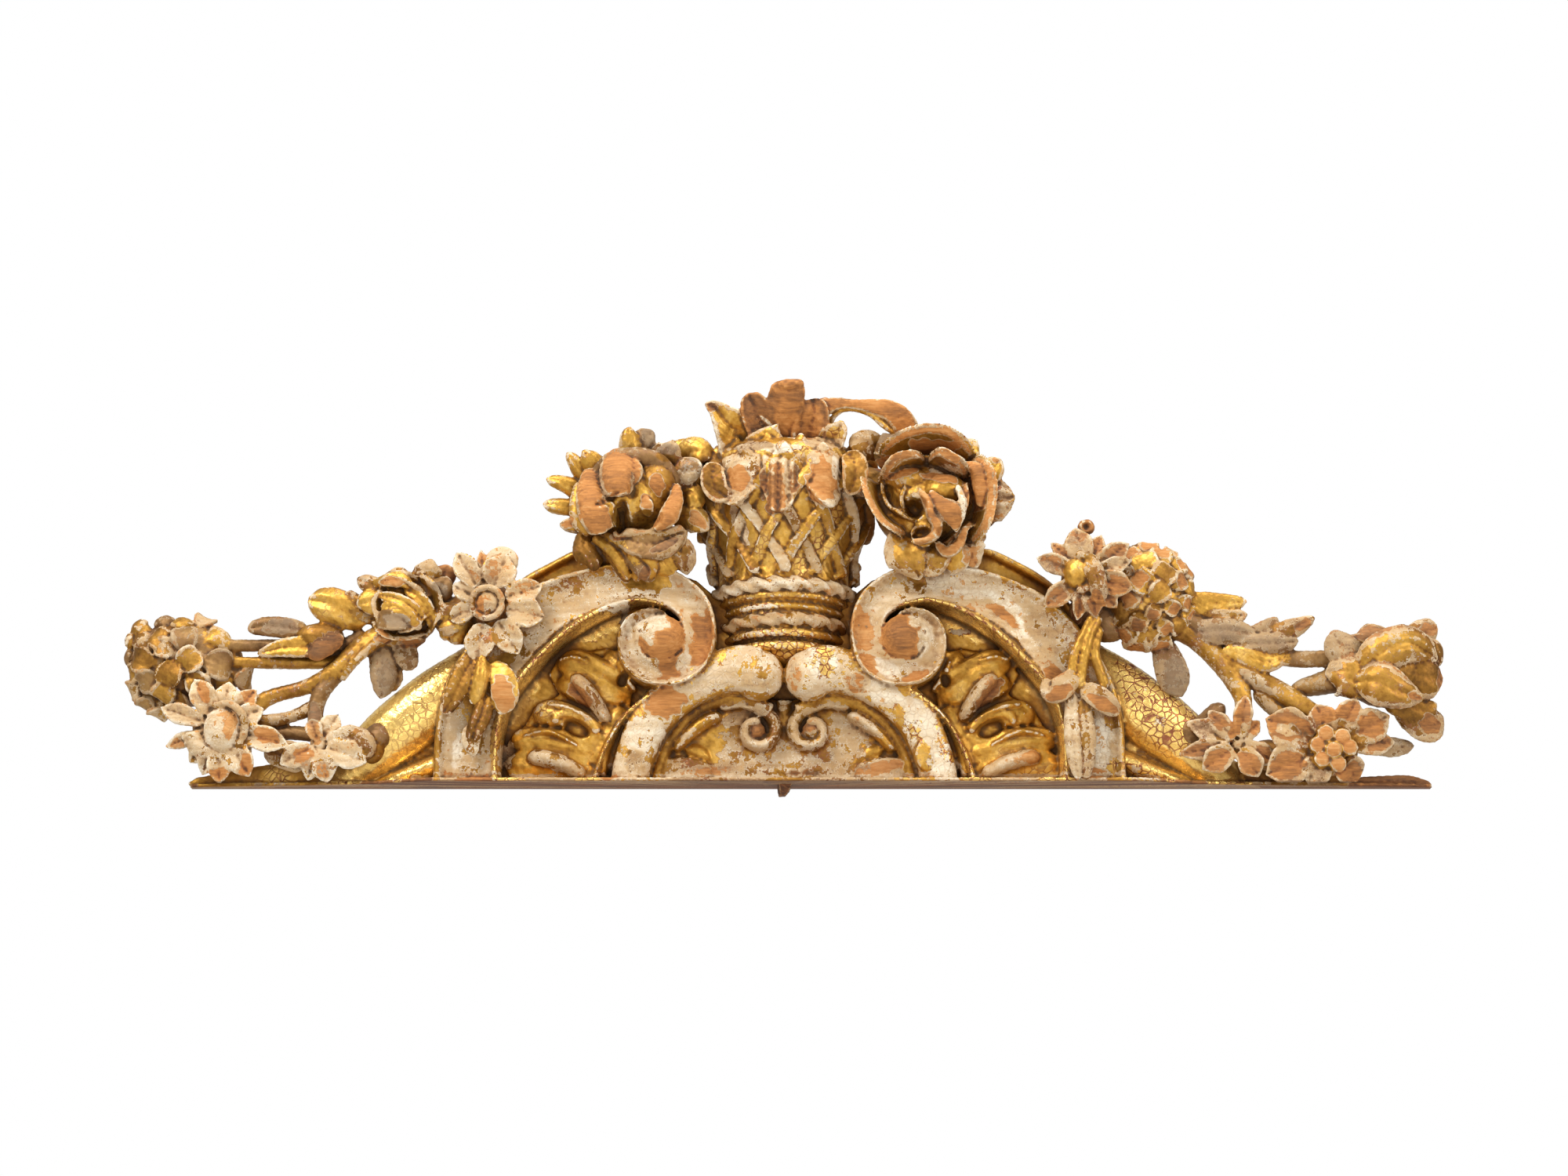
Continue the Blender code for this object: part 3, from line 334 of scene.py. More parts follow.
@dataclass
class Leaf:
    """A leaf or petal along a spine of (x, depth, z, half width) knots, cupped the way it faces.

    rim_worn is how much further its edge is worn down, and face_worn the same for its middle.
    """

    knots: list
    wear: Wear = Wear.GOLD
    thickness: float = 9.0
    cup: float = -0.3
    crease: float = 1.4
    veins: int = 0
    vein_depth: float = 0.8
    rim: float = 0.0
    rim_worn: float = 0.0
    face_worn: float = 0.0
    face: tuple[float, float, float] = FRONT
    ruffle: float = 0.0
    ruffles: float = 3.0
    twist: float = 0.0
    blunt: float = 0.8
    steps: int = 34
    across: int = 21

    def skin(self) -> Skin:
        """Spread the leaf on both sides of its spine.

        Returns:
            The closed leaf.
        """
        path = spline(self.knots, self.steps, 3)
        centre = path[:, :3]
        run = unit(np.gradient(centre, axis=0))
        aside = unit(np.cross(run, np.broadcast_to(self.face, run.shape)))
        normal = unit(np.cross(aside, run))
        u = np.linspace(0, 1, self.steps)
        if self.twist:
            turn = np.radians(self.twist) * u[:, None]
            aside, normal = (
                aside * np.cos(turn) + normal * np.sin(turn),
                normal * np.cos(turn) - aside * np.sin(turn),
            )
        ends = rounded(self.steps, path_length(centre), path[:, 3].mean() * self.blunt)
        half_width = path[:, 3] * np.maximum(ends, 0.15)
        v = np.linspace(-1, 1, self.across)
        edge = np.abs(v)
        lift = self.cup * half_width[:, None] * v**2 - self.crease * np.exp(-((v / 0.2) ** 2))
        lift = lift + self.rim * np.exp(-(((edge - 0.86) / 0.12) ** 2))
        lift = lift + self.ruffle * np.sin(2 * np.pi * self.ruffles * u)[:, None] * edge**2
        if self.veins:
            lift = lift - self.vein_depth * (0.5 + 0.5 * np.cos(np.pi * self.veins * v)) * (1 - edge**4)
        middle = (
            centre[:, None]
            + aside[:, None] * (half_width[:, None] * v)[..., None]
            + normal[:, None] * lift[..., None]
        )
        thick = (self.thickness / 2) * (1 - 0.4 * edge**4)
        gap = normal[:, None] * np.broadcast_to(thick, lift.shape)[..., None]
        flip = np.array([1, -1, 1])
        worn = coat(self.wear, lift.shape, self.further_worn(edge, u[:, None]))
        return closed_sheet((middle + gap) * flip, (middle - gap) * flip, worn)

    def further_worn(self, edge: np.ndarray, along: np.ndarray) -> np.ndarray:
        """How much further the leaf is worn at its rim, its tip and its face.

        Args:
            edge: the share of the way from the spine to the edge.
            along: the share of the way along the spine, in a column.

        Returns:
            The wear to add, by row and column.
        """
        rims = self.rim_worn * np.maximum(smooth(edge, 0.55, 0.95), smooth(along, 0.75, 1.0))
        faced = smooth(along, 0.30, 0.45) * (1 - smooth(along, 0.82, 0.92))
        rims = rims + self.face_worn * ((1 - smooth(edge, 0.50, 0.78)) * faced)
        if self.wear is Wear.WOOD:
            round_edge = np.maximum(smooth(edge, 0.74, 0.86), smooth(np.abs(2 * along - 1), 0.86, 0.96))
            rims = rims - 0.30 * round_edge
        return rims


@dataclass
class Stem:
    """A round stem through (x, depth, z, radius) knots, ribbed or twisted like rope if asked."""

    knots: list
    wear: Wear = Wear.GOLD
    steps: int = 48
    sides: int = 20
    flat: float = 1.0
    ribs: int = 0
    rib_depth: float = 0.08
    turns: float = 0.0

    def skin(self) -> Skin:
        """Sweep a ring along the knots.

        Returns:
            The closed stem.
        """
        path = spline(self.knots, self.steps, 3)
        centre = path[:, :3] * [1, -1, 1]
        run = unit(np.gradient(centre, axis=0))
        aside = unit(np.cross(run, [0.0, -1.0, 0.0]) + [1e-4, 0, 1e-4])
        out = unit(np.cross(aside, run))
        ends = rounded(self.steps, path_length(centre), path[:, 3].mean())
        radius = path[:, 3] * np.maximum(ends, 0.2)
        angle = np.linspace(0, 2 * math.pi, self.sides, endpoint=False)
        u = np.linspace(0, 1, self.steps)[:, None]
        wave = np.cos(self.ribs * angle + 2 * math.pi * self.turns * u) * (self.ribs > 0)
        reach = radius[:, None] * (1 + self.rib_depth * wave)
        rings = (
            centre[:, None]
            + aside[:, None] * (reach * np.cos(angle))[..., None]
            + out[:, None] * (reach * self.flat * np.sin(angle))[..., None]
        )
        return closed_tube(rings, coat(self.wear, (self.steps,)))


@dataclass
class Knob:
    """A rounded lump about (x, depth, z), which may be dimpled in its face."""

    centre: tuple[float, float, float]
    radii: tuple[float, float, float]
    wear: Wear = Wear.GOLD
    face_worn: float = 0.0
    dimple: float = 0.0
    dimple_width: float = 0.5
    rings: int = 20
    sides: int = 28

    def skin(self) -> Skin:
        """Round the lump ring by ring.

        Returns:
            The closed lump.
        """
        rise = np.linspace(-math.pi / 2 + 0.06, math.pi / 2 - 0.06, self.rings)[:, None]
        turn = np.linspace(0, 2 * math.pi, self.sides, endpoint=False)
        across = np.cos(rise)
        x = self.centre[0] + self.radii[0] * across * np.cos(turn)
        sunk = self.dimple * np.exp(-((across / self.dimple_width) ** 2)) * (rise > 0)
        depth = self.centre[1] + self.radii[1] * np.sin(rise) - sunk + 0 * turn
        z = self.centre[2] + self.radii[2] * across * np.sin(turn)
        worn = self.face_worn * smooth(np.sin(rise[:, 0]), 0.3, 0.9)
        return closed_tube(np.stack([x, -depth, z], -1), coat(self.wear, (self.rings,), worn))


@dataclass(kw_only=True)
class CupPetal:
    """A petal wrapped about a centre (x, depth, z) from one angle to another, open to the front."""

    centre: tuple[float, float, float]
    start: float
    stop: float
    base: float
    rim: float
    height: float
    thickness: float = 7.0
    roll: float = 0.3
    frill: float = 1.0
    frills: float = 1.5
    closing: float = 0.0
    wear: Wear = Wear.OLD_GOLD
    rim_worn: float = 0.6
    steps: int = 48
    rise: int = 26

    def skin(self) -> Skin:
        """Wrap the petal about its centre.

        Returns:
            The closed petal.
        """
        share = np.linspace(0, 1, self.rise)
        turn = np.linspace(0, 1, self.steps)
        angle = np.radians(self.start + (self.stop - self.start) * turn)
        ends = np.maximum(rounded(self.steps, 1.0, 0.32), 0.2)
        wave = self.frill * np.sin(2 * math.pi * self.frills * turn + self.start)[:, None] * share**2
        radius = self.base + (self.rim - self.base) * share**0.7
        radius = radius + self.roll * (self.rim - self.base) * np.clip(share - 0.72, 0, 1) ** 2 * 5
        grids = []
        for offset in (self.thickness / 2, -self.thickness / 2):
            reach = radius * (1 - self.closing * turn[:, None]) + offset * (1 - 0.25 * share) + wave
            x = self.centre[0] + reach * np.cos(angle)[:, None]
            z = self.centre[2] + reach * np.sin(angle)[:, None]
            depth = self.centre[1] + self.height * ends[:, None] * share + 0.3 * offset * share
            grids.append(np.stack([x, -depth, z], -1))
        rims = self.rim_worn * smooth(share, 0.93, 0.985)[None] * np.ones((self.steps, 1))
        return closed_sheet(*grids, coat(self.wear, (self.steps, self.rise), rims))


@dataclass
class Slab:
    """A flat board with an outline of (x, z) points, between two depths."""

    outline: list
    back: float
    front: float
    wear: Wear = Wear.DARK_GOLD

    def skin(self) -> Skin:
        """Close the board between its two faces.

        Returns:
            The closed board.
        """
        outline = np.asarray(self.outline, float)
        rings = [
            np.column_stack([outline[:, 0], np.full(len(outline), -depth), outline[:, 1]])
            for depth in (self.back, self.front)
        ]
        return closed_tube(np.array(rings), coat(self.wear, (2,)))


@dataclass(kw_only=True)
class HalfTurned:
    """A turned body cut flat behind, from (half width, z) pairs. It arches up to the front."""

    profile: list
    depth_share: float
    arching: float
    wear: Wear = Wear.GOLD
    sides: int = 72

    def skin(self) -> Skin:
        """Turn the profile through half a circle.

        Returns:
            The closed body.
        """
        angle = np.linspace(0, math.pi, self.sides)
        rings = []
        for half_width, z in self.profile:
            front = np.column_stack([
                half_width * np.cos(angle),
                -half_width * self.depth_share * np.sin(angle),
                z + self.arching * np.sin(angle),
            ])
            back = np.array([[-half_width, BACK_WASTE, z], [half_width, BACK_WASTE, z]])
            rings.append(np.vstack([front, back]))
        return closed_tube(np.array(rings), coat(self.wear, (len(self.profile),)))


@dataclass(kw_only=True)
class Skirt:
    """A rim of leaves that hangs round a turned body, by (angle, foot z, top z, swell) knots."""

    knots: list
    radius: float
    depth_share: float
    thickness: float = 9.0
    flutes: tuple[float, float] = (84.0, 103.0)
    flute_depth: float = 2.4
    wear: Wear = Wear.GESSO

    def skin(self) -> Skin:
        """Hang the leaves round the body, with flutes cut between two angles.

        Returns:
            The closed rim.
        """
        degrees, foot, top, swell = (column[:, None] for column in spline(self.knots, 190, 1).T)
        share = np.linspace(0, 1, 36)
        angle = np.radians(degrees)
        first, last = self.flutes
        within = smooth(degrees, first - 2, first + 2) * (1 - smooth(degrees, last - 2, last + 2))
        wave = np.cos(2 * np.pi * (degrees - first) / ((last - first) / 3))
        fluting = self.flute_depth * within * wave * smooth(share, 0.12, 0.4)
        grids = []
        for offset in (self.thickness / 2, -self.thickness / 2):
            reach = self.radius + swell * smooth(share, 0.0, 0.5) + 3.5 * smooth(share, 0.8, 1.0) + offset
            reach = reach - 14 * (1 - smooth(share, 0.0, 0.28)) + fluting * (offset > 0)
            depth = reach * self.depth_share * np.sin(angle)
            z = top + (foot - top) * share + 0 * angle
            grids.append(np.stack([reach * np.cos(angle), -depth, z], -1))
        return closed_sheet(*grids, coat(self.wear, grids[0].shape[:2]))


@dataclass(frozen=True)
class Ellipse:
    """A place on the front at (x, z), of a half width and half height, turned by some degrees.

    amount is the wear of a patch, or how far a cut is sunk.
    """

    x: float
    z: float
    width: float
    height: float
    amount: float
    turn: float = 0.0

    def distance(self, points: np.ndarray) -> np.ndarray:
        """Measure how far points lie from the middle.

        Args:
            points: the points, in millimetres above the underside.

        Returns:
            The distance of each, which is 1 on the edge.
        """
        angle = math.radians(self.turn)
        right, up = points[:, 0] - self.x, points[:, 2] - self.z
        along = (right * math.cos(angle) + up * math.sin(angle)) / self.width
        over = (up * math.cos(angle) - right * math.sin(angle)) / self.height
        return np.sqrt(along**2 + over**2)


@dataclass(frozen=True)
class Patch(Ellipse):
    """A worn or whole patch of gilding. None leaves the brightness or greyness as it is."""

    bright: float | None = None
    grey: float | None = None

    def paint(self, points: np.ndarray, coats: np.ndarray) -> None:
        """Work the patch into the paint.

        Args:
            points: the points of a skin, in millimetres above the underside.
            coats: their paint, which is changed.
        """
        ragged = 0.10 * np.sin(points[:, 0] / 2.6 + points[:, 2] / 4.1) + 0.08 * np.sin(points[:, 2] / 1.9)
        share = 1 - smooth(self.distance(points) + ragged, 0.78, 1.12)
        for column, value in enumerate((self.amount, self.bright, self.grey)):
            if value is not None:
                coats[:, column] += (value - coats[:, column]) * share


@dataclass(frozen=True)
class Cut(Ellipse):
    """A hollow cut into the front of the carving, where it stands out as far as reach."""

    reach: float = 50.0

    def sink(self, points: np.ndarray) -> None:
        """Sink the points that lie over the hollow, which are changed."""
        share = 1 - smooth(self.distance(points), 0.55, 1.1)
        points[:, 1] += self.amount * share * smooth(-points[:, 1], self.reach - 12, self.reach)


def read(items: bpy.types.bpy_prop_collection, name: str, width: int = 3, kind: type = float) -> np.ndarray:
    """Read one property of every item of a mesh.

    Args:
        items: the points, edges or faces of the mesh.
        name: the property.
        width: how many numbers it holds.
        kind: the kind of number.

    Returns:
        The values, one item to a row.
    """
    values = np.empty(len(items) * width, dtype=kind)
    items.foreach_get(name, values)
    return values.reshape(-1, width)


def write_points(mesh: bpy.types.Mesh, points: np.ndarray) -> None:
    """Move the points of a mesh to the places given, one to a row."""
    mesh.vertices.foreach_set("co", points.reshape(-1))
    mesh.update()


def gouge(mesh: bpy.types.Mesh, depth: float) -> None:
    """Cut the faint facets of a gouge all over a mesh.

    Args:
        mesh: the mesh to cut.
        depth: how deep the cuts go, in millimetres.
    """
    points = read(mesh.vertices, "co")
    places = points / METRES
    sway = 5.0 * np.sin(places[:, [1, 2, 0]] / 11.0 + 1.3) + 3.0 * np.sin(places[:, [2, 0, 1]] / 5.3)
    places = places + sway
    cut = np.zeros(len(points))
    for wave, share in (((0.21, 0.16, 0.34), 0.5), ((-0.37, 0.22, 0.17), 0.35), ((0.52, -0.31, 0.61), 0.2)):
        cut += share * (0.6 - np.abs(np.sin(places @ np.array(wave))))
    wide = np.sin(places[:, 0] / 19.0) * np.sin(places[:, 2] / 16.0 + places[:, 1] / 23.0)
    raised = ((cut * depth + 0.5 * depth * wide) * METRES)[:, None]
    write_points(mesh, points + read(mesh.vertices, "normal") * raised)


def draw_inside(mesh: bpy.types.Mesh, low: np.ndarray, high: np.ndarray, margin: float = 0.014) -> None:
    """Draw in whatever stands out of a box.

    Args:
        mesh: the mesh to draw in.
        low: the least corner of the box.
        high: the greatest corner.
        margin: how far inside the box the drawing in starts.
    """
    points = read(mesh.vertices, "co")
    clear = 0.0001
    for axis in range(3):
        column = points[:, axis]
        over = column - (high[axis] - margin)
        under = (low[axis] + margin) - column
        if axis != 1 and over.max() > margin:
            column[over > 0] = high[axis] - margin + over[over > 0] * (margin - clear) / over.max()
        if under.max() > margin:
            column[under > 0] = low[axis] + margin - under[under > 0] * (margin - clear) / under.max()
    write_points(mesh, points)


def reshape(piece: bpy.types.Object, kind: str, **settings: object) -> None:
    """Apply one modifier to a piece.

    Args:
        piece: the piece, whose mesh is replaced.
        kind: the kind of modifier.
        settings: its settings by name.
    """
    step = piece.modifiers.new(kind.lower(), kind)
    for name, value in settings.items():
        setattr(step, name, value)
    graph = bpy.context.evaluated_depsgraph_get()
    old = piece.data
    piece.data = bpy.data.meshes.new_from_object(piece.evaluated_get(graph))
    piece.modifiers.clear()
    bpy.data.meshes.remove(old)


def drop_small_skins(mesh: bpy.types.Mesh) -> None:
    """Take away skins of few points, such as the walls of pockets sealed inside the forms.

    Args:
        mesh: the mesh, which is changed.
    """
    count = len(mesh.vertices)
    ends = read(mesh.edges, "vertices", 2, np.int64)
    label = np.arange(count)
    while True:
        low = np.minimum(label[ends[:, 0]], label[ends[:, 1]])
        after = label.copy()
        np.minimum.at(after, ends[:, 0], low)
        np.minimum.at(after, ends[:, 1], low)
        after = after[after]
        after = after[after]
        if np.array_equal(after, label):
            break
        label = after
    small = np.bincount(label, minlength=count)[label] < SMALLEST_SKIN
    if not small.any():
        return
    work = bmesh.new()
    work.from_mesh(mesh)
    work.verts.ensure_lookup_table()
    bmesh.ops.delete(work, geom=[work.verts[i] for i in np.flatnonzero(small)], context="VERTS")
    work.to_mesh(mesh)
    work.free()


def flatten(mesh: bpy.types.Mesh, axis: int, level: float, side: int) -> None:
    """Saw the mesh flat at a level, and close the cut.

    Args:
        mesh: the mesh to cut.
        axis: 1 for the back and 2 for the underside.
        level: where the cut goes, in metres.
        side: 1 to take away what is above the level, or -1 for what is below.
    """
    work = bmesh.new()
    work.from_mesh(mesh)
    normal = Vector((0.0, 0.0, 0.0))
    normal[axis] = side
    place = Vector((0.0, 0.0, 0.0))
    place[axis] = level
    everything = work.verts[:] + work.edges[:] + work.faces[:]
    cut = bmesh.ops.bisect_plane(work, geom=everything, plane_co=place, plane_no=normal, clear_outer=True)
    edges = [item for item in cut["geom_cut"] if isinstance(item, bmesh.types.BMEdge)]
    if edges:
        bmesh.ops.triangle_fill(work, use_beauty=True, use_dissolve=False, edges=edges, normal=normal)
    work.to_mesh(mesh)
    work.free()


def sharpness(mesh: bpy.types.Mesh) -> np.ndarray:
    """Measure how sharply a mesh bends at each point, per millimetre.

    Args:
        mesh: the mesh, in metres.

    Returns:
        The bend, above 0 on edges and below 0 in creases.
    """
    points = read(mesh.vertices, "co") / METRES
    ends = read(mesh.edges, "vertices", 2, np.int64)
    count = np.zeros(len(points))
    np.add.at(count, ends.reshape(-1), 1)
    count = np.maximum(count, 1)
    around = np.zeros_like(points)
    squares = np.zeros(len(points))
    length = ((points[ends[:, 0]] - points[ends[:, 1]]) ** 2).sum(axis=1)
    for near, far in ((0, 1), (1, 0)):
        np.add.at(around, ends[:, near], points[ends[:, far]])
        np.add.at(squares, ends[:, near], length)
    value = np.einsum("ij,ij->i", points - around / count[:, None], read(mesh.vertices, "normal"))
    value = 2 * value * count / np.maximum(squares, 1e-6)
    for _ in range(3):
        shared = np.zeros(len(points))
        for near, far in ((0, 1), (1, 0)):
            np.add.at(shared, ends[:, near], value[ends[:, far]])
        value = 0.5 * value + 0.5 * shared / count
    return value


COVE = [
    (-1.0, 0.78), (-0.95, 0.93), (-0.84, 0.955), (-0.78, 0.93), (-0.7, 0.885), (-0.35, 0.85),
    (0.1, 0.85), (0.55, 0.885), (0.8, 0.925), (0.93, 0.94), (1.0, 0.84),
]
COVE_WORN = [(-1.0, 0.3), (-0.86, 0.32), (-0.76, 0.50), (0.9, 0.53), (1.0, 0.5)]
CROWN = [
    (-1.0, 0.74), (-0.95, 0.87), (-0.85, 0.925), (-0.5, 0.975), (0.0, 1.0), (0.5, 0.975),
    (0.85, 0.925), (0.95, 0.87), (1.0, 0.74),
]
ROUND = [
    (-1.0, 0.55), (-0.95, 0.70), (-0.85, 0.80), (-0.6, 0.92), (-0.3, 0.98), (0.0, 1.0), (0.3, 0.98),
    (0.6, 0.92), (0.85, 0.80), (0.95, 0.70), (1.0, 0.55),
]
LOBE = [
    (-1.0, 0.70), (-0.93, 0.86), (-0.8, 0.93), (-0.45, 0.90), (0.0, 0.97), (0.45, 0.90), (0.8, 0.93),
    (0.93, 0.86), (1.0, 0.70),
]


@dataclass
class SubAssembly:
    """A part of the panel that is carved, grown together and painted as one piece.

    grain is the size of the cells that the forms are grown together with, faces is the most
    triangles that the skin keeps, and set_in is how far its flat back and foot are sawn in from
    the panel's, so that no two flat faces share a place.
    """

    name: str = "piece"
    grain: float = 2.0
    faces: int = 160000
    set_in: float = 0.5
    gouging: float = 0.9
    sawn_below: bool = True
    skins: list[Skin] = field(default_factory=list)
    patches: list[Patch] = field(default_factory=list)
    cuts: list[Cut] = field(default_factory=list)
    piece: bpy.types.Object | None = None

    def carve(self) -> None:
        """Add the forms, patches and cuts of this sub-assembly."""
        raise NotImplementedError

    def add(self, *forms: Band | Leaf | Stem | Knob | CupPetal | Slab | HalfTurned | Skirt) -> None:
        """Add forms to the piece."""
        self.skins += [form.skin() for form in forms]

    def add_pair(self, *forms: Band | Stem | Knob | Slab, widened: float = 1.0) -> None:
        """Add forms and their mirror images, which may stand a little wider."""
        for skin in [form.skin() for form in forms]:
            self.skins += [skin, skin.mirrored(widened)]

    def build(self, low: np.ndarray, high: np.ndarray) -> None:
        """Carve the forms, grow them into one closed skin and cut it over with a gouge.

        Args:
            low: the least x, y and z that the piece may reach, in metres.
            high: the greatest.
        """
        self.carve()
        for skin in self.skins:
            for cut in self.cuts:
                cut.sink(skin.points)
        starts = np.cumsum([0] + [len(skin.points) for skin in self.skins[:-1]])
        points = np.vstack([skin.points for skin in self.skins]) * METRES
        faces = np.vstack([skin.faces + start for skin, start in zip(self.skins, starts)])
        mesh = bpy.data.meshes.new(self.name)
        mesh.from_pydata(points.tolist(), [], [list(dict.fromkeys(face)) for face in faces.tolist()])
        piece = bpy.data.objects.new(self.name, mesh)
        bpy.context.scene.collection.objects.link(piece)
        grain = self.grain * 1.0
        reshape(piece, "REMESH", mode="VOXEL", voxel_size=grain * METRES)
        drop_small_skins(piece.data)
        gouge(piece.data, self.gouging)
        draw_inside(piece.data, low, high)
        flatten(piece.data, 1, -self.set_in * METRES, 1)
        if self.sawn_below:
            flatten(piece.data, 2, self.set_in * METRES, -1)
        triangles = sum(len(polygon.vertices) - 2 for polygon in piece.data.polygons)
        if triangles > self.faces:
            reshape(piece, "DECIMATE", ratio=self.faces / triangles)
        write_points(piece.data, np.clip(read(piece.data.vertices, "co"), low, high))
        LOG.info("%s: %d triangles grown, %d kept", self.name, triangles, min(self.faces, triangles))
        self.piece = piece

    def source_paint(self, places: np.ndarray) -> np.ndarray:
        """Find the paint of the nearest form.

        Args:
            places: the places to look from, in millimetres.

        Returns:
            Wear, brightness and greyness for each place.
        """
        points = np.vstack([skin.points for skin in self.skins])
        paint = np.vstack([skin.paint for skin in self.skins])
        tree = kdtree.KDTree(len(points))
        for index, point in enumerate(points.tolist()):
            tree.insert(point, index)
        tree.balance()
        return paint[[tree.find(place)[1] for place in places.tolist()]]

    def dress(self, relief: Relief, gilding: bpy.types.Material) -> None:
        """Paint the piece, give it its material and fix it to the panel.

        Args:
            relief: the heights of the whole panel, to find its hollows.
            gilding: the layered finish.
        """
        mesh = self.piece.data
        self.paint(mesh, relief)
        mesh.transform(Matrix.Translation((0.0, 0.0, -FIXING_HEIGHT * METRES)))
        mesh.materials.clear()
        mesh.materials.append(gilding)
        facing = read(mesh.polygons, "normal")
        mesh.polygons.foreach_set("use_smooth", (facing[:, 1] < 0.999) & (facing[:, 2] > -0.999))
        mesh.update()
        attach(self.piece, "root")
        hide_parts(NODE)

    def paint(self, mesh: bpy.types.Mesh, relief: Relief) -> None:
        """Store wear, brightness, grime with painted shade, and greyness on the points of the mesh.

        The back is bare wood. On the front, gold goes from edges first and stays in hollows, and hollows,
        creases and the underside are darkened with dirt and painted shade.

        Args:
            mesh: the mesh to paint, in metres above the underside.
            relief: the heights of the whole panel.
        """
        age = Ageing()
        places = read(mesh.vertices, "co") / METRES
        normals = read(mesh.vertices, "normal")
        coats = self.source_paint(places)
        for patch in self.patches:
            patch.paint(places, coats)
        behind = np.maximum(smooth(normals[:, 1], 0.45, 0.80), smooth(places[:, 1], -4.0, -1.0))[:, None]
        coats += (np.array(Wear.BROWN_WOOD.value) - coats) * behind
        hollow, proud = relief.hollows(places)
        bend = sharpness(mesh)
        edges = np.clip(bend * age.edge_gain - age.edge_start, 0, 1)
        creases = np.clip(-bend * age.crease_gain - age.crease_start, 0, 1)
        gold_share = 1 - 0.75 * smooth(coats[:, 0], 0.40, 0.52)
        coats[:, 0] += gold_share * (
            age.edge_wear * edges + age.proud_wear * proud
            - age.hollow_kept * hollow - age.crease_kept * creases
        )
        coats[:, 0] -= age.wood_edge_kept * edges * smooth(coats[:, 0], 0.62, 0.70)
        coats[:, 1] += age.gesso_edge_light * edges * smooth(coats[:, 0], 0.50, 0.56)
        # Grime: dirt together with painted shade, darkest in narrow hollows and creases, and none on the
        # bare back.
        grime_and_shade = np.clip(age.hollow_grime_and_shade * hollow + age.crease_grime_and_shade * creases, 0, 1) * (1 - behind[:, 0])
        # The sawn foot and the faces that look down near it are set dark: dark raw wood, with painted shade
        # on the underside.
        grime_and_shade[(places[:, 2] < 2.5) | (normals[:, 2] < -0.85) * (places[:, 2] < 8)] = age.sawn_grime_and_shade
        wear, bright, grey = coats.T
        values = np.column_stack([np.clip(wear, 0, 1), bright, grime_and_shade, np.clip(grey, 0, 1)])
        layer = mesh.color_attributes.new(PAINT, "FLOAT_COLOR", "POINT")
        layer.data.foreach_set("color", values.astype(np.float32).reshape(-1))


class Relief:
    """The carving as a field of depths, seen from the front, in square cells.

    It is blurred over a near and a wide reach, in cells, and each blur has the depth that counts
    in full against it.
    """

    cell = 2.0
    left, low = -780.0, -20.0
    columns, rows = 780, 260
    near_reach, wide_reach = 3, 9
    near_depth, wide_depth = 15.0, 60.0

    def __init__(self, pieces: list[bpy.types.Object]) -> None:
        """Measure the pieces.

        Args:
            pieces: the pieces of the panel, in metres above the underside.
        """
        depth = np.zeros((self.rows, self.columns))
        for piece in pieces:
            points = read(piece.data.vertices, "co") / METRES
            np.maximum.at(depth, self.cells(points), -points[:, 1])
        for _ in range(2):
            depth = np.maximum(depth, self.spread(depth, 1) * (depth <= 0))
        self.near = self.blurred(depth, self.near_reach)
        self.wide = self.blurred(depth, self.wide_reach)

    def cells(self, points: np.ndarray) -> tuple[np.ndarray, np.ndarray]:
        """The row and column of each point."""
        column = np.clip(((points[:, 0] - self.left) / self.cell).astype(int), 0, self.columns - 1)
        return np.clip(((points[:, 2] - self.low) / self.cell).astype(int), 0, self.rows - 1), column

    @staticmethod
    def spread(depth: np.ndarray, reach: int) -> np.ndarray:
        """Take the mean of each cell's neighbours.

        Args:
            depth: the field of depths.
            reach: how many cells away the neighbours lie at most.

        Returns:
            The field of means.
        """
        size = 2 * reach + 1
        padded = np.pad(np.pad(depth, reach, mode="edge"), ((1, 0), (1, 0)))
        total = np.cumsum(np.cumsum(padded, axis=0), axis=1)
        rows, columns = depth.shape
        return (
            total[size:size + rows, size:size + columns]
            - total[:rows, size:size + columns]
            - total[size:size + rows, :columns]
            + total[:rows, :columns]
        ) / size**2

    def blurred(self, depth: np.ndarray, reach: int) -> np.ndarray:
        """The field smoothed three times over."""
        return self.spread(self.spread(self.spread(depth, reach), reach), reach)

    def hollows(self, places: np.ndarray) -> tuple[np.ndarray, np.ndarray]:
        """Measure places against their surroundings.

        Args:
            places: the places, in millimetres above the underside.

        Returns:
            How deep in a hollow and how far proud each place is, from 0 to 1.
        """
        cells = self.cells(places)
        near = (self.near[cells] + places[:, 1]) / self.near_depth
        wide = (self.wide[cells] + places[:, 1]) / self.wide_depth
        hollow = np.clip(0.65 * near + 0.5 * wide, 0, 1)
        return hollow, np.clip(-(0.7 * near + 0.3 * wide) * 1.6, 0, 1)


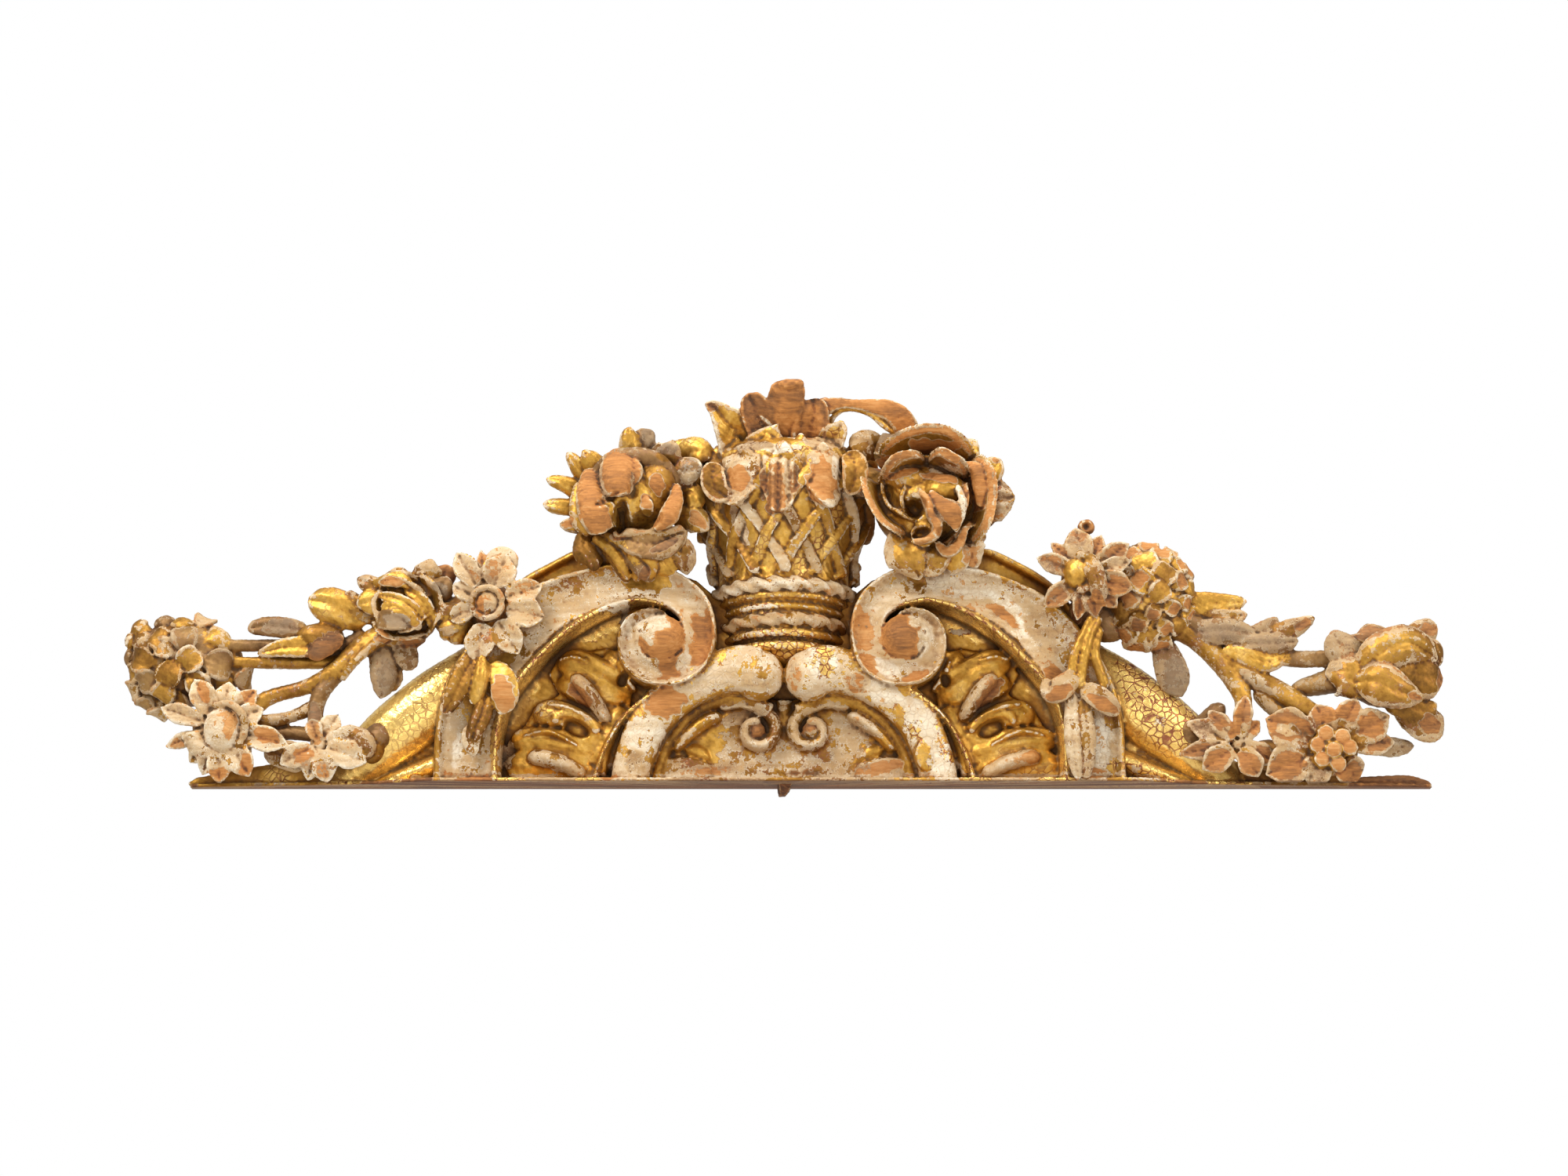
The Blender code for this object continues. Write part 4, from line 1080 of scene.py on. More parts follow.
@dataclass
class ArchPanel(SubAssembly):
    """The board, the ledge, the arches with their scrolls, the acanthus leaves and the wings."""

    name: str = "arch_panel"
    grain: float = 1.9
    faces: int = 198000
    set_in: float = 0.0
    board_depth: float = 34.0
    ledge_depth: float = 94.0
    ledge_thickness: float = 4.0
    ledge_half_length: float = 405.0
    ledge_ends: tuple[float, float] = (-676.0, 738.0)
    ledge_end_depth: float = 22.0
    eye: tuple[float, float] = (136, 163)
    eye_radius: float = 23.5
    curl_centre: tuple[float, float] = (31.0, 61.0)

    def carve(self) -> None:
        """Add every form of the architecture."""
        self.board_and_ledge()
        self.arches()
        self.tympanum()
        self.acanthus()
        self.wings()
        self.wear_through()

    def wear_through(self) -> None:
        """Where the bands are worn to the wood, or keep their gesso and gold."""
        left_scroll = [
            Patch(-91, 174, 13, 34, 0.78, 4, 0.35, 0.15), Patch(-122, 131, 22, 17, 0.86, 26, 0.4, 0),
            Patch(-98, 143, 12, 20, 0.86, -30, 0.45, 0), Patch(-113, 136, 8, 16, 0.54, -24, 0.8),
            Patch(-146, 173, 21, 21, 0.54, 0, 0.85), Patch(-134, 162, 12, 8, 0.84, 30, 0.4),
            Patch(-179, 182, 8, 26, 0.54, 4, 1), Patch(-172, 145, 11, 14, 0.54, 32, 0.75),
            Patch(-103, 208, 16, 22, 0.54, 40, 0.7), Patch(-154, 226, 28, 10, 0.36, -4, 0.65, 0),
        ]
        right_scroll = [
            Patch(87, 175, 13, 26, 0.8, 8, 0.75, 0), Patch(97, 133, 8, 15, 0.88, 38, 0.55, 0),
            Patch(134, 165, 21, 20, 0.86, 0, 0.35, 0.05), Patch(147, 180, 9, 9, 0.54, 0, 0.8),
            Patch(159, 162, 9, 24, 0.54, -10, 0.8), Patch(115, 128, 18, 9, 0.54, -30, 0.95),
            Patch(149, 119, 16, 6, 0.82, 18, 0.6), Patch(115, 208, 24, 13, 0.54, 40, 0.75),
        ]
        right_arch = [
            Patch(204, 226, 48, 20, 0.55, -6, 0.85), Patch(266, 185, 44, 13, 0.55, -42, 1),
            Patch(250, 189, 22, 7, 0.66, -36, 0.5, 0.1), Patch(292, 175, 18, 26, 0.5, 30, 0.4, 0.4),
            Patch(358, 42, 10, 40, 0.55, 4, 0.95), Patch(347, 10, 18, 8, 0.82, 0, 0.6, 0),
            Patch(310, 115, 20, 11, 0.84, -50, 0.5, 0),
        ]
        left_arch = [
            Patch(-248, 217, 44, 20, 0.47, 32, 0.5, 0.15), Patch(-291, 175, 20, 24, 0.5, 44, 0.7, 0.1),
            Patch(-354, 33, 18, 44, 0.48, -6, 0.5, 0.1), Patch(-369, 35, 6, 22, 0.55, -6, 0.95),
            Patch(-351, 87, 12, 20, 0.4, -10, 0.5), Patch(-319, 131, 10, 40, 0.45, -32, 0.5, 0.1),
            Patch(-346, 1, 24, 6, 0.8, 0, 0.5),
        ]
        inner_bands = [
            Patch(-133, 91, 26, 19, 0.84, 28, 0.62, 0), Patch(-157, 55, 24, 24, 0.54, 34, 0.85),
            Patch(-186, 16, 14, 15, 0.55, 20, 0.75), Patch(-199, 6, 12, 6, 0.82, 0, 0.55, 0),
            Patch(-167, 20, 12, 18, 0.46, 10, 0.3, 0.3), Patch(-89, 117, 40, 18, 0.44, 14, 0.72),
            Patch(-35, 133, 30, 26, 0.43, 0, 0.68), Patch(-32, 110, 22, 9, 0.53, 0, 0.5, 0.1),
            Patch(32, 133, 30, 28, 0.44, 0, 0.72), Patch(44, 137, 18, 20, 0.36, 0, 0.95),
            Patch(12, 123, 9, 20, 0.58, 0, 0.6), Patch(84, 111, 18, 12, 0.62, -20, 0.45),
            Patch(115, 100, 24, 14, 0.55, -30, 0.85), Patch(155, 65, 20, 30, 0.42, 30, 0.85),
            Patch(182, 21, 20, 24, 0.5, 20, 0.95),
        ]
        spandrels = [
            Patch(-231, 100, 20, 7.5, 0.88, -38, 0.35, 0.15), Patch(-202, 77, 8, 5.5, 0.55, -44, 0.8),
            Patch(233, 102, 7.5, 24, 0.8, -40, 0.3, 0.3), Patch(226, 112, 6, 6, 0.54, 0, 0.5),
            Patch(-258, 21, 32, 8, 0.52, -16, 0.6, 0.4), Patch(254, 22, 32, 8, 0.52, 16, 0.6, 0.2),
            Patch(281, 30, 9, 8, 0.82, 0, 0.55, 0.1), Patch(-314, 33, 9, 22, 0.54, -10, 0.3, 0.5),
            Patch(-191, 199, 20, 5, 0.56, 16, 0.95), Patch(200, 177, 14, 4, 0.56, 0, 0.95),
        ]
        tympanum = [
            Patch(0, 32, 60, 20, 0.5, 0, 0.62, 0.1), Patch(-53, 37, 22, 14, 0.46, 0, 0.52, 0.2),
            Patch(62, 46, 40, 24, 0.47, 0, 0.55, 0.25), Patch(107, 18, 34, 8, 0.7, 14, 0.6),
            Patch(-89, 14, 40, 6, 0.66, 4, 0.6), Patch(-44, 78, 34, 9, 0.55, 18, 0.5, 0.2),
            Patch(80, 67, 34, 7, 0.5, -26, 0.5, 0.3),
        ]
        wing = [
            Patch(422, 99, 32, 60, 0.27, 38, 1.05), Patch(446, 68, 38, 32, 0.27, 0, 0.95),
            Patch(393, 12, 40, 12, 0.33, -12, 0.8), Patch(-472, 90, 60, 34, 0.06, 0, 1.1),
        ]
        self.patches += wing
        self.patches += (
            left_scroll + right_scroll + right_arch + left_arch + inner_bands + spandrels + tympanum
        )
        half = self.ledge_half_length
        for x in np.linspace(-half, half, 24):
            self.patches.append(Patch(x, 9.5, 22, 2.2, 0.56 + 0.05 * math.sin(x), 0, 0.7, 0.2))

    def board_and_ledge(self) -> None:
        """The board that everything stands on, and the thin ledge at its foot."""
        half = [
            (0, 226), (75, 214), (84, 222), (100, 236), (140, 249), (179, 260), (228, 272), (262, 257),
            (304, 229), (340, 180), (356, 142), (412, 112), (462, 72), (500, 22), (516, -6), (0, -6),
        ]
        outline = [(-x, z) for x, z in half[-2:0:-1]] + half[:-1]
        self.add(Slab(outline, -BACK_WASTE, self.board_depth))
        left, right = self.ledge_ends
        wide = self.ledge_half_length
        edge = [
            (left, self.ledge_end_depth), (-wide - 60, self.ledge_depth * 0.6), (-wide, self.ledge_depth),
            (wide, self.ledge_depth), (wide + 60, self.ledge_depth * 0.6), (right, self.ledge_end_depth),
        ]
        rings = []
        for z in (-BACK_WASTE, self.ledge_thickness):
            front = [(x, -depth, z) for x, depth in edge]
            rings.append([*front, (right, BACK_WASTE, z), (left, BACK_WASTE, z)])
        self.skins.append(closed_tube(np.array(rings, float), coat(Wear.BROWN_WOOD, (2,))))

    def arches(self) -> None:
        """The outer arches with their scrolls, and the inner arches with their knuckles."""
        outer = [
            (354, -15, 33, 92), (353, 11, 33, 92), (352, 60, 32, 92), (340, 104, 34, 92),
            (321, 138, 34, 92), (298, 168, 33, 92), (265, 196, 30, 92), (217, 218, 25, 94),
            (170, 228, 22, 97), (135, 223, 21.5, 99), (104, 203, 20, 100), (93, 173, 18, 101),
            (97, 144, 16.5, 103), (112, 128, 15.5, 104), (133, 123, 15, 105), (155, 127, 13.5, 106),
            (168, 141, 12.5, 107), (172, 160, 11.5, 108), (168, 176, 10, 109), (156, 186, 8.5, 110),
            (142, 189, 7, 110), (131, 186, 5, 108),
        ]
        roll = [
            (318, -13, 6.6, 96), (318, 24, 6.6, 96), (315, 62, 6.6, 96), (303, 99, 6.6, 96),
            (273, 138, 6.6, 97), (239, 171, 6.4, 98), (202, 194, 6, 99), (168, 205, 5.2, 101),
            (149, 204, 4, 100), (129, 199, 3, 98),
        ]
        inner = [
            (176, -6, 21, 86), (169, 30, 22, 86), (149, 74, 24, 86), (114, 106, 25, 88),
            (76, 124, 25.5, 92), (50, 129, 28, 96), (30, 126, 28, 98),
        ]
        inner_roll = [
            (216, -12, 3.8, 80), (213, 8, 3.8, 80), (202, 39, 3.8, 80), (183, 72, 3.8, 81),
            (160, 94, 3.8, 83), (133, 111, 3.6, 84),
        ]
        self.add_pair(
            Band(outer, COVE, Wear.GESSO, 420, 41, worn=COVE_WORN),
            Band(roll, ROUND, Wear.BURNISHED, 220, 13),
            widened=1.025,
        )
        self.add_pair(
            Band(inner, CROWN, Wear.PALE_GOLD, 160, 31),
            Band(inner_roll, ROUND, Wear.BURNISHED, 100, 11),
            Knob((28.5, 72, 122), (28.5, 27, 29.5), Wear.PALE_GOLD, 0.06),
        )
        self.add_pair(
            Stem([(self.eye[0], 10, self.eye[1], 25), (self.eye[0], 50, self.eye[1], 25),
                  (self.eye[0], 88, self.eye[1], 25)], Wear.DARK_GOLD),
            Knob((self.eye[0], 90, self.eye[1]), (self.eye_radius * 1.12, 23, self.eye_radius * 1.12),
                 Wear.WOOD, rings=26, sides=48),
            widened=1.025,
        )

    def tympanum(self) -> None:
        """The small leaf scrolls inside the inner arches, on a raised field."""
        raised = [(0, -6), (150, -6), (146, 30), (124, 68), (98, 90), (66, 103), (30, 104), (0, 92)]
        outline = [(-x, z) for x, z in raised[:0:-1]] + raised
        self.add(Slab(outline, -BACK_WASTE, 50))
        middle_x, middle_z = self.curl_centre
        curl = []
        for share in np.linspace(0, 1, 26):
            angle = math.radians(80 + 400 * share)
            radius = 25 - 17 * share
            across, up = radius * math.cos(angle), radius * math.sin(angle)
            curl.append((middle_x + across, middle_z + up, 8 - 2 * share, 66 + 6 * share))
        self.add_pair(
            Band([(146, -4, 8, 64), (140, 24, 8, 64), (127, 52, 8, 64), (104, 78, 8, 65), (71, 95, 8, 66),
                  (40, 95, 8, 68), (14, 84, 8, 70)], ROUND, Wear.DARK_GOLD, 140, 13, 30),
            Band(curl, ROUND, Wear.RUBBED, 130, 13, 30, 1),
            Knob((middle_x, 54, middle_z), (10, 15, 10), Wear.BROWN_WOOD),
            Band([(30, 84, 4, 66), (48, 94, 8, 70), (74, 88, 5, 66)], LOBE, Wear.RUBBED, 50, 15, 30, 0.8,
                 veins=1, vein_depth=2),
            Band([(71, 78, 6, 64), (84, 74, 7.5, 70), (104, 60, 7.5, 70), (124, 38, 6, 64)], ROUND,
                 Wear.PALE_GOLD, 60, 15, 30, 1),
            Band([(150, 8, 11, 60), (125, 17, 13, 64), (100, 17, 12, 62), (80, 13, 8, 58)], LOBE,
                 Wear.RUBBED, 60, 19, 30, 1, veins=2, vein_depth=1.5),
            Band([(112, 40, 8, 58), (96, 36, 9, 58), (84, 28, 6, 56)], ROUND, Wear.GOLD, 40, 13, 30, 1),
        )
        self.add(
            Band([(163, 11, 3, 88), (158, 23, 9, 92), (156, 35, 9, 93), (161, 48, 2.5, 88)], LOBE,
                 Wear.GOLD, 50, 17, 60, 0.6, veins=2, vein_depth=1.5),
            Band([(0, 96, 10, 60), (0, 78, 7, 58), (0, 66, 3, 54)], ROUND, Wear.RUBBED, 30, 13, 30),
        )

    def acanthus(self) -> None:
        """The acanthus leaf between the arches: its lobes, the ribs that stand on it and its eyes."""
        lobes = [
            [(175, 115, 15, 56), (189, 135, 17, 62), (201, 151, 12, 60)],
            [(175, 101, 20, 56), (207, 119, 22, 66), (237, 135, 20, 66), (258, 139, 13, 60)],
            [(189, 92, 18, 56), (233, 112, 17, 64), (258, 115, 11, 60)],
            [(201, 48, 16, 58), (241, 76, 14, 66), (267, 81, 15, 66), (283, 73, 10, 60)],
            [(185, 90, 20, 58), (200, 55, 20, 60), (214, 15, 22, 60)],
            [(207, 35, 18, 60), (258, 46, 18, 64), (294, 50, 15, 62), (310, 46, 9, 58)],
            [(210, 5, 16, 60), (258, 15, 20, 64), (298, 21, 20, 62), (317, 26, 10, 58)],
        ]
        ribs = [
            [(201, 71, 7, 70), (213, 92, 9, 79), (227, 111, 9.5, 80), (241, 122, 8, 74)],
            [(224, 9, 8, 70), (252, 23, 10, 79), (274, 29, 10, 80), (290, 30, 9, 74)],
        ]
        ridges = [
            [(206, 63, 3.5, 64), (226, 77, 4, 72), (249, 87, 4, 72), (269, 90, 3, 66)],
            [(187, 63, 3, 62), (199, 39, 4, 70), (205, 8, 4, 66)],
            [(219, 138, 3, 64), (238, 144, 4, 70), (256, 141, 3, 62)],
            [(233, 43, 3, 64), (267, 59, 4, 70), (297, 54, 3, 62)],
            [(169, 107, 3, 60), (181, 123, 4, 68), (189, 141, 3.5, 64)],
        ]
        ground = [
            (168, 146), (201, 156), (257, 146), (267, 126), (253, 103), (282, 90), (294, 68), (312, 50),
            (323, 26), (317, 1), (201, -2), (175, 90),
        ]
        self.add_pair(Slab(ground, 10, 45, Wear.GOLD))
        hole_x, hole_z = 235, 63
        notch_x, notch_z = 183, 119
        for side in (-1, 1):
            self.cuts.append(Cut(side * hole_x, hole_z, 16, 9, 26, side * 24, 42))
            self.cuts.append(Cut(side * notch_x, notch_z, 6, 9, 22, side * 20, 42))
        lid = []
        for angle in np.linspace(-0.2, 3.0, 9):
            across, up = math.cos(angle), math.sin(angle)
            lid.append((hole_x + 24 * across, 64, hole_z + 15 * up + 8 * across, 4.5))
        self.add_pair(Stem(lid, Wear.GOLD, 60, 12))
        for knots in lobes:
            self.add_pair(Band(knots, LOBE, Wear.GOLD, 70, 25, 16, 1))
        for knots in ribs:
            self.add_pair(Band(knots, ROUND, Wear.RUBBED, 60, 17, 30, 1))
        for knots in ridges:
            self.add_pair(Band(knots, ROUND, Wear.GOLD, 50, 9, 30, 1))

    def wings(self) -> None:
        """The swelling wings outside the outer arches, with a roll under each."""
        self.add_pair(
            Band([(340, 132, 38, 46), (392, 98, 38, 62), (446, 58, 35, 58), (490, 18, 26, 44),
                  (508, -8, 20, 36)], ROUND, Wear.BURNISHED, 120, 41),
            Band([(362, 40, 13, 50), (406, 20, 13, 50), (462, 2, 10, 38), (490, -6, 7, 32)], ROUND,
                 Wear.BURNISHED, 80, 17),
            Band([(352, 12, 9, 44), (390, 4, 9, 42), (430, -6, 8, 36)], ROUND, Wear.GOLD, 50, 13),
            Band([(204, 256, 5, 44), (228, 268, 5, 44), (262, 254, 5, 44), (306, 226, 5, 44),
                  (342, 178, 4, 42)], ROUND, Wear.GOLD, 80, 9, 20),
        )
        self.add(
            Leaf([(-679, 8, 5, 5), (-601, 16, 13, 11), (-520, 22, 18, 16), (-394, 26, 27, 20)], Wear.GOLD,
                 14, 0, crease=0),
            Leaf([(733, 8, 4, 2), (682, 14, 5, 4), (592, 20, 9, 9), (394, 26, 27, 20)], Wear.RUBBED, 14, 0,
                 crease=0),
            Leaf([(646, 20, 5, 6), (687, 18, 7, 6.5), (713, 14, 8, 6), (737, 10, 5, 2)], Wear.BROWN_WOOD,
                 12, 0.16, blunt=0.5),
        )


@dataclass
class Splinter(SubAssembly):
    """The broken splinter of wood that hangs under the middle."""

    name: str = "splinter"
    grain: float = 0.9
    faces: int = 6000
    sawn_below: bool = False

    def carve(self) -> None:
        """Add the splinter, from inside the ledge down to its tip."""
        rings = [
            [(left, -near, z), (right, -near, z), (right + 1, -far, z), (left + 2, -far, z)]
            for left, right, near, far, z in (
                (-8, 9, 28, 62, 2), (-7, 6, 31, 58, -6), (-6, 1, 36, 52, -12.6)
            )
        ]
        self.skins.append(closed_tube(np.array(rings, float), coat(Wear.BROWN_WOOD, (3,))))


@dataclass
class FlowerBasket(SubAssembly):
    """The plaited basket, its ropes, the leaves over its rim, the plume and the ribbon."""

    name: str = "flower_basket"
    grain: float = 1.7
    faces: int = 180000
    depth_share: float = 1.12
    arching: float = 10.0
    straps: int = 7
    strap_radius: float = 6.4
    strap_lean: float = 2.3
    weave_foot: float = 228.0
    weave_top: float = 376.0

    def profile(self) -> list[tuple[float, float]]:
        """Give the outline of the basket, from the rim down.

        Returns:
            Its (half width, z) pairs.
        """
        return [
            (84, 382), (99, 370), (99, 340), (97, 312), (93, 290), (86, 268), (80, 250), (77.5, 236),
            (79, 224), (80, 214), (77, 206), (75, 200), (71, 194), (70, 189), (71, 184), (72, 178),
            (71, 170), (67, 164), (64, 158), (66, 150), (67, 142), (63, 134), (56, 126),
        ]

    def on_wall(self, angle: np.ndarray, z: np.ndarray, lift: np.ndarray | float) -> np.ndarray:
        """Places on the basket's wall.

        Args:
            angle: round the basket, from 0 at the right to pi at the left.
            z: height before the arching is added.
            lift: how far the place stands off the wall.

        Returns:
            x, depth and z by row.
        """
        profile = np.array(self.profile()[::-1], float)
        half_width = np.interp(z, profile[:, 1], profile[:, 0]) + lift
        near = half_width * self.depth_share * np.sin(angle)
        return np.column_stack([half_width * np.cos(angle), near, z + self.arching * np.sin(angle)])

    def carve(self) -> None:
        """Add every form of the basket and what is in it."""
        fine = spline(self.profile(), 90, 2)
        self.add(HalfTurned(profile=fine.tolist(), depth_share=self.depth_share, arching=self.arching,
                            wear=Wear.GOLD))
        self.plait()
        self.ropes()
        self.rim_leaves()
        self.plume()

    def plait(self) -> None:
        """The straps, each passing over and under those that cross it."""
        share = np.linspace(0, 1, 60)
        height = self.weave_top - self.weave_foot
        z = self.weave_foot + height * share
        rise = math.pi / self.straps
        for lean in (-1, 1):
            for k in range(-2, self.straps + 2):
                angle = rise * (k + 0.5) + lean * rise * self.strap_lean * (share - 0.5)
                inside = (angle > 0.06) & (angle < math.pi - 0.06)
                if inside.sum() < 8:
                    continue
                lift = 3.2 + 2.4 * lean * np.cos(2 * math.pi * self.strap_lean * (share - 0.5))
                places = self.on_wall(angle, z, lift)
                knots = np.column_stack([places, np.full_like(z, self.strap_radius)])[inside]
                wears = (Wear.BRIGHT_GOLD, Wear.GOLD, Wear.PALE_GOLD)
                if lean > 0:
                    wears = (Wear.RUBBED, Wear.GESSO, Wear.OLD_GOLD)
                self.add(Stem(knots[::2].tolist(), wears[k % 3], 54, 14, flat=0.5))
        row = height / (2 * self.strap_lean)
        for n in range(-2, 3):
            middle = (self.weave_foot + self.weave_top) / 2 + n * row
            for k in range(-2, self.straps + 2):
                angle = rise * (k + 1 + n / 2)
                if not 0.2 < angle < math.pi - 0.2:
                    continue
                levels = middle + row * np.array([-0.62, -0.3, 0.0, 0.3, 0.62])
                places = self.on_wall(np.full(5, angle), levels, -1.4)
                widths = np.array([2.5, 7.0, 10.5, 7.0, 2.5])[:, None]
                self.add(Leaf(np.hstack([places, widths]).tolist(),
                              Wear.BRIGHT_GOLD if (n + k) % 2 else Wear.GOLD, 6, -0.08, crease=0,
                              face=(math.cos(angle), math.sin(angle), 0)))

    def ropes(self) -> None:
        """The two twisted ropes round the basket's foot, and the mouldings between them."""
        angle = np.linspace(0.03, math.pi - 0.03, 40)
        for half_width, z, radius, wear, turns, ribs in (
            (80, 215, 7.0, Wear.GESSO, 11.0, 2), (72, 176, 6.5, Wear.RUBBED, 9.0, 2),
            (76, 203, 3.6, Wear.BRIGHT_GOLD, 0.0, 0), (72, 191, 3.2, Wear.GOLD, 0.0, 0),
            (70, 161, 4.5, Wear.BRIGHT_GOLD, 0.0, 0), (67, 146, 6.0, Wear.BRIGHT_GOLD, 0.0, 0),
        ):
            knots = np.column_stack([
                half_width * np.cos(angle), half_width * self.depth_share * np.sin(angle),
                z + self.arching * np.sin(angle), np.full_like(angle, radius),
            ])
            self.add(Stem(knots.tolist(), wear, 240, 24, ribs=ribs, rib_depth=0.24, turns=turns))

    def rim_leaves(self) -> None:
        """The leaves folded out over the basket's rim."""
        self.add(
            Knob((4, 40, 370), (88, 60, 22), Wear.DARK_GOLD),
            Skirt(radius=96, depth_share=self.depth_share,
                  knots=[(184, 344, 372, 2), (165, 334, 377, 8), (150, 340, 380, 3), (138, 332, 382, -1),
                         (128, 316, 386, 8), (118, 312, 388, 12), (109, 328, 385, 4), (104, 330, 382, 0),
                         (99, 306, 382, 9), (94, 302, 383, 11), (87, 306, 384, 9), (80, 332, 384, 1),
                         (76, 334, 386, 0), (69, 316, 391, 10), (62, 308, 393, 13), (54, 320, 389, 5),
                         (48, 336, 384, -3), (34, 328, 379, 6), (20, 336, 376, 6), (-4, 345, 372, 2)]),
            Leaf([(-78, 88, 362, 8), (-81, 100, 346, 14), (-76, 102, 330, 14), (-62, 104, 319, 8)],
                 Wear.DARK_GOLD, 8, 0.3, rim_worn=0.25),
            Leaf([(73, 84, 375, 8), (80, 98, 360, 14), (80, 100, 342, 14), (73, 96, 325, 7)],
                 Wear.DARK_GOLD, 8, 0.3, rim_worn=0.2),
            Leaf([(-116, 50, 368, 12), (-107, 66, 378, 18), (-96, 74, 378, 16), (-85, 76, 369, 9)]),
            Leaf([(116, 50, 381, 12), (100, 70, 386, 18), (87, 78, 385, 16), (78, 80, 376, 9)],
                 Wear.RUBBED),
        )
        self.patches += [
            Patch(-52, 342, 14, 15, 0.84, 20, grey=0.05), Patch(42, 337, 18, 26, 0.84, -10, grey=0.05),
            Patch(-9, 336, 10, 24, 0.74, 0, 0.3, 0.25), Patch(-9, 312, 12, 13, 0.84, 0, 0.25, 0.25),
            Patch(-23, 337, 5, 20, 0.72, 0, 0.3, 0.2), Patch(11, 337, 6, 20, 0.66, 0, 0.3, 0.2),
            Patch(-5, 376, 24, 7, 0.54, 0, 0.95, 0.1), Patch(58, 356, 5, 14, 0.54, 0, 0.9, 0.1),
            Patch(-37, 381, 26, 7, 0.52, 0, 0.3, 0.6), Patch(41, 386, 26, 8, 0.52, 0, 0.35, 0.4),
            Patch(-83, 362, 12, 16, 0.3, 0, 0.25, 0.2), Patch(82, 362, 14, 24, 0.3, 0, 0.25, 0.2),
            Patch(-51, 294, 7, 28, 0.6, 24, grey=0.1), Patch(0, 156, 60, 16, 0.32, 0, 0.85),
            Patch(-27, 197, 24, 7, 0.4, 0, 0.85),
        ]

    def plume(self) -> None:
        """The upright leaves in the middle, and the ribbon that curls out to the right."""
        self.add(
            Leaf([(-2, 58, 381, 18), (-3, 76, 404, 21), (0, 90, 425, 22), (4, 98, 442, 20),
                  (5, 100, 454, 19)], Wear.BROWN_WOOD, 8, -0.14, crease=0, blunt=0.2, across=33),
            Stem([(-12, 94, 450, 4.5), (5, 101, 451, 6.5), (23, 96, 453, 5)], Wear.BROWN_WOOD),
            Leaf([(-12, 56, 381, 20), (-22, 72, 404, 21), (-33, 84, 426, 18), (-41, 88, 443, 9)],
                 Wear.BROWN_WOOD, 9, 0.3, crease=2, rim=1.4, blunt=0.3),
            Leaf([(-36, 54, 376, 32), (-50, 70, 395, 31), (-64, 84, 411, 20), (-78, 90, 425, 10),
                  (-90, 92, 431, 6)], cup=0.22, crease=3, rim_worn=0.3, blunt=0.5, across=33),
            Leaf([(-21, 62, 373, 30), (-20, 82, 382, 26), (-14, 90, 395, 15), (-7, 94, 407, 3)], Wear.GOLD,
                 10, -0.2, crease=0, rim_worn=0.2),
            Leaf([(27, 58, 381, 20), (30, 74, 403, 20), (34, 84, 421, 18), (32, 86, 438, 11)],
                 Wear.BROWN_WOOD, 9, 0.24, crease=2, rim=1.4, blunt=0.3),
            Leaf([(41, 60, 381, 22), (53, 74, 391, 18), (62, 84, 402, 12), (67, 86, 412, 6)], cup=0.3,
                 rim_worn=0.2),
            Leaf([(5, 44, 387, 34), (7, 50, 413, 36), (9, 56, 433, 28)], Wear.DARK_GOLD, 12, 0),
            Leaf([(34, 72, 413, 14), (44, 80, 427, 11), (60, 84, 432, 7), (80, 88, 431, 5),
                  (99, 90, 428, 8), (121, 90, 423, 12), (135, 86, 412, 14), (142, 78, 397, 13),
                  (141, 70, 381, 10)], Wear.WOOD, 8, -0.06, crease=0, steps=70, across=33),
            Stem([(52, 66, 403, 3), (55, 74, 416, 3), (66, 82, 425, 3), (82, 86, 425, 3),
                  (99, 88, 419, 3.4), (115, 84, 406, 4), (130, 76, 397, 4), (135, 70, 386, 4)], steps=70),
            Leaf([(32, 62, 420, 12), (44, 70, 432, 9), (55, 74, 435, 6)], Wear.BROWN_WOOD, 14, 0),
        )
        self.patches += [
            Patch(4, 442, 19, 20, 0.9, 0, 0.3, 0.1), Patch(12, 402, 2, 14, 0.52, 0, 0.9),
            Patch(-16, 409, 16, 2, 0.52, -40, 0.9), Patch(4, 414, 15, 22, 0.84, 0, 0.55, 0),
            Patch(32, 411, 12, 20, 0.8, 0, 0.45, 0.1), Patch(-84, 426, 8, 5, 0.8, 0, 0.2, 0.3),
            Patch(124, 424, 20, 9, 0.88, -18, 0.4, 0.05),
        ]


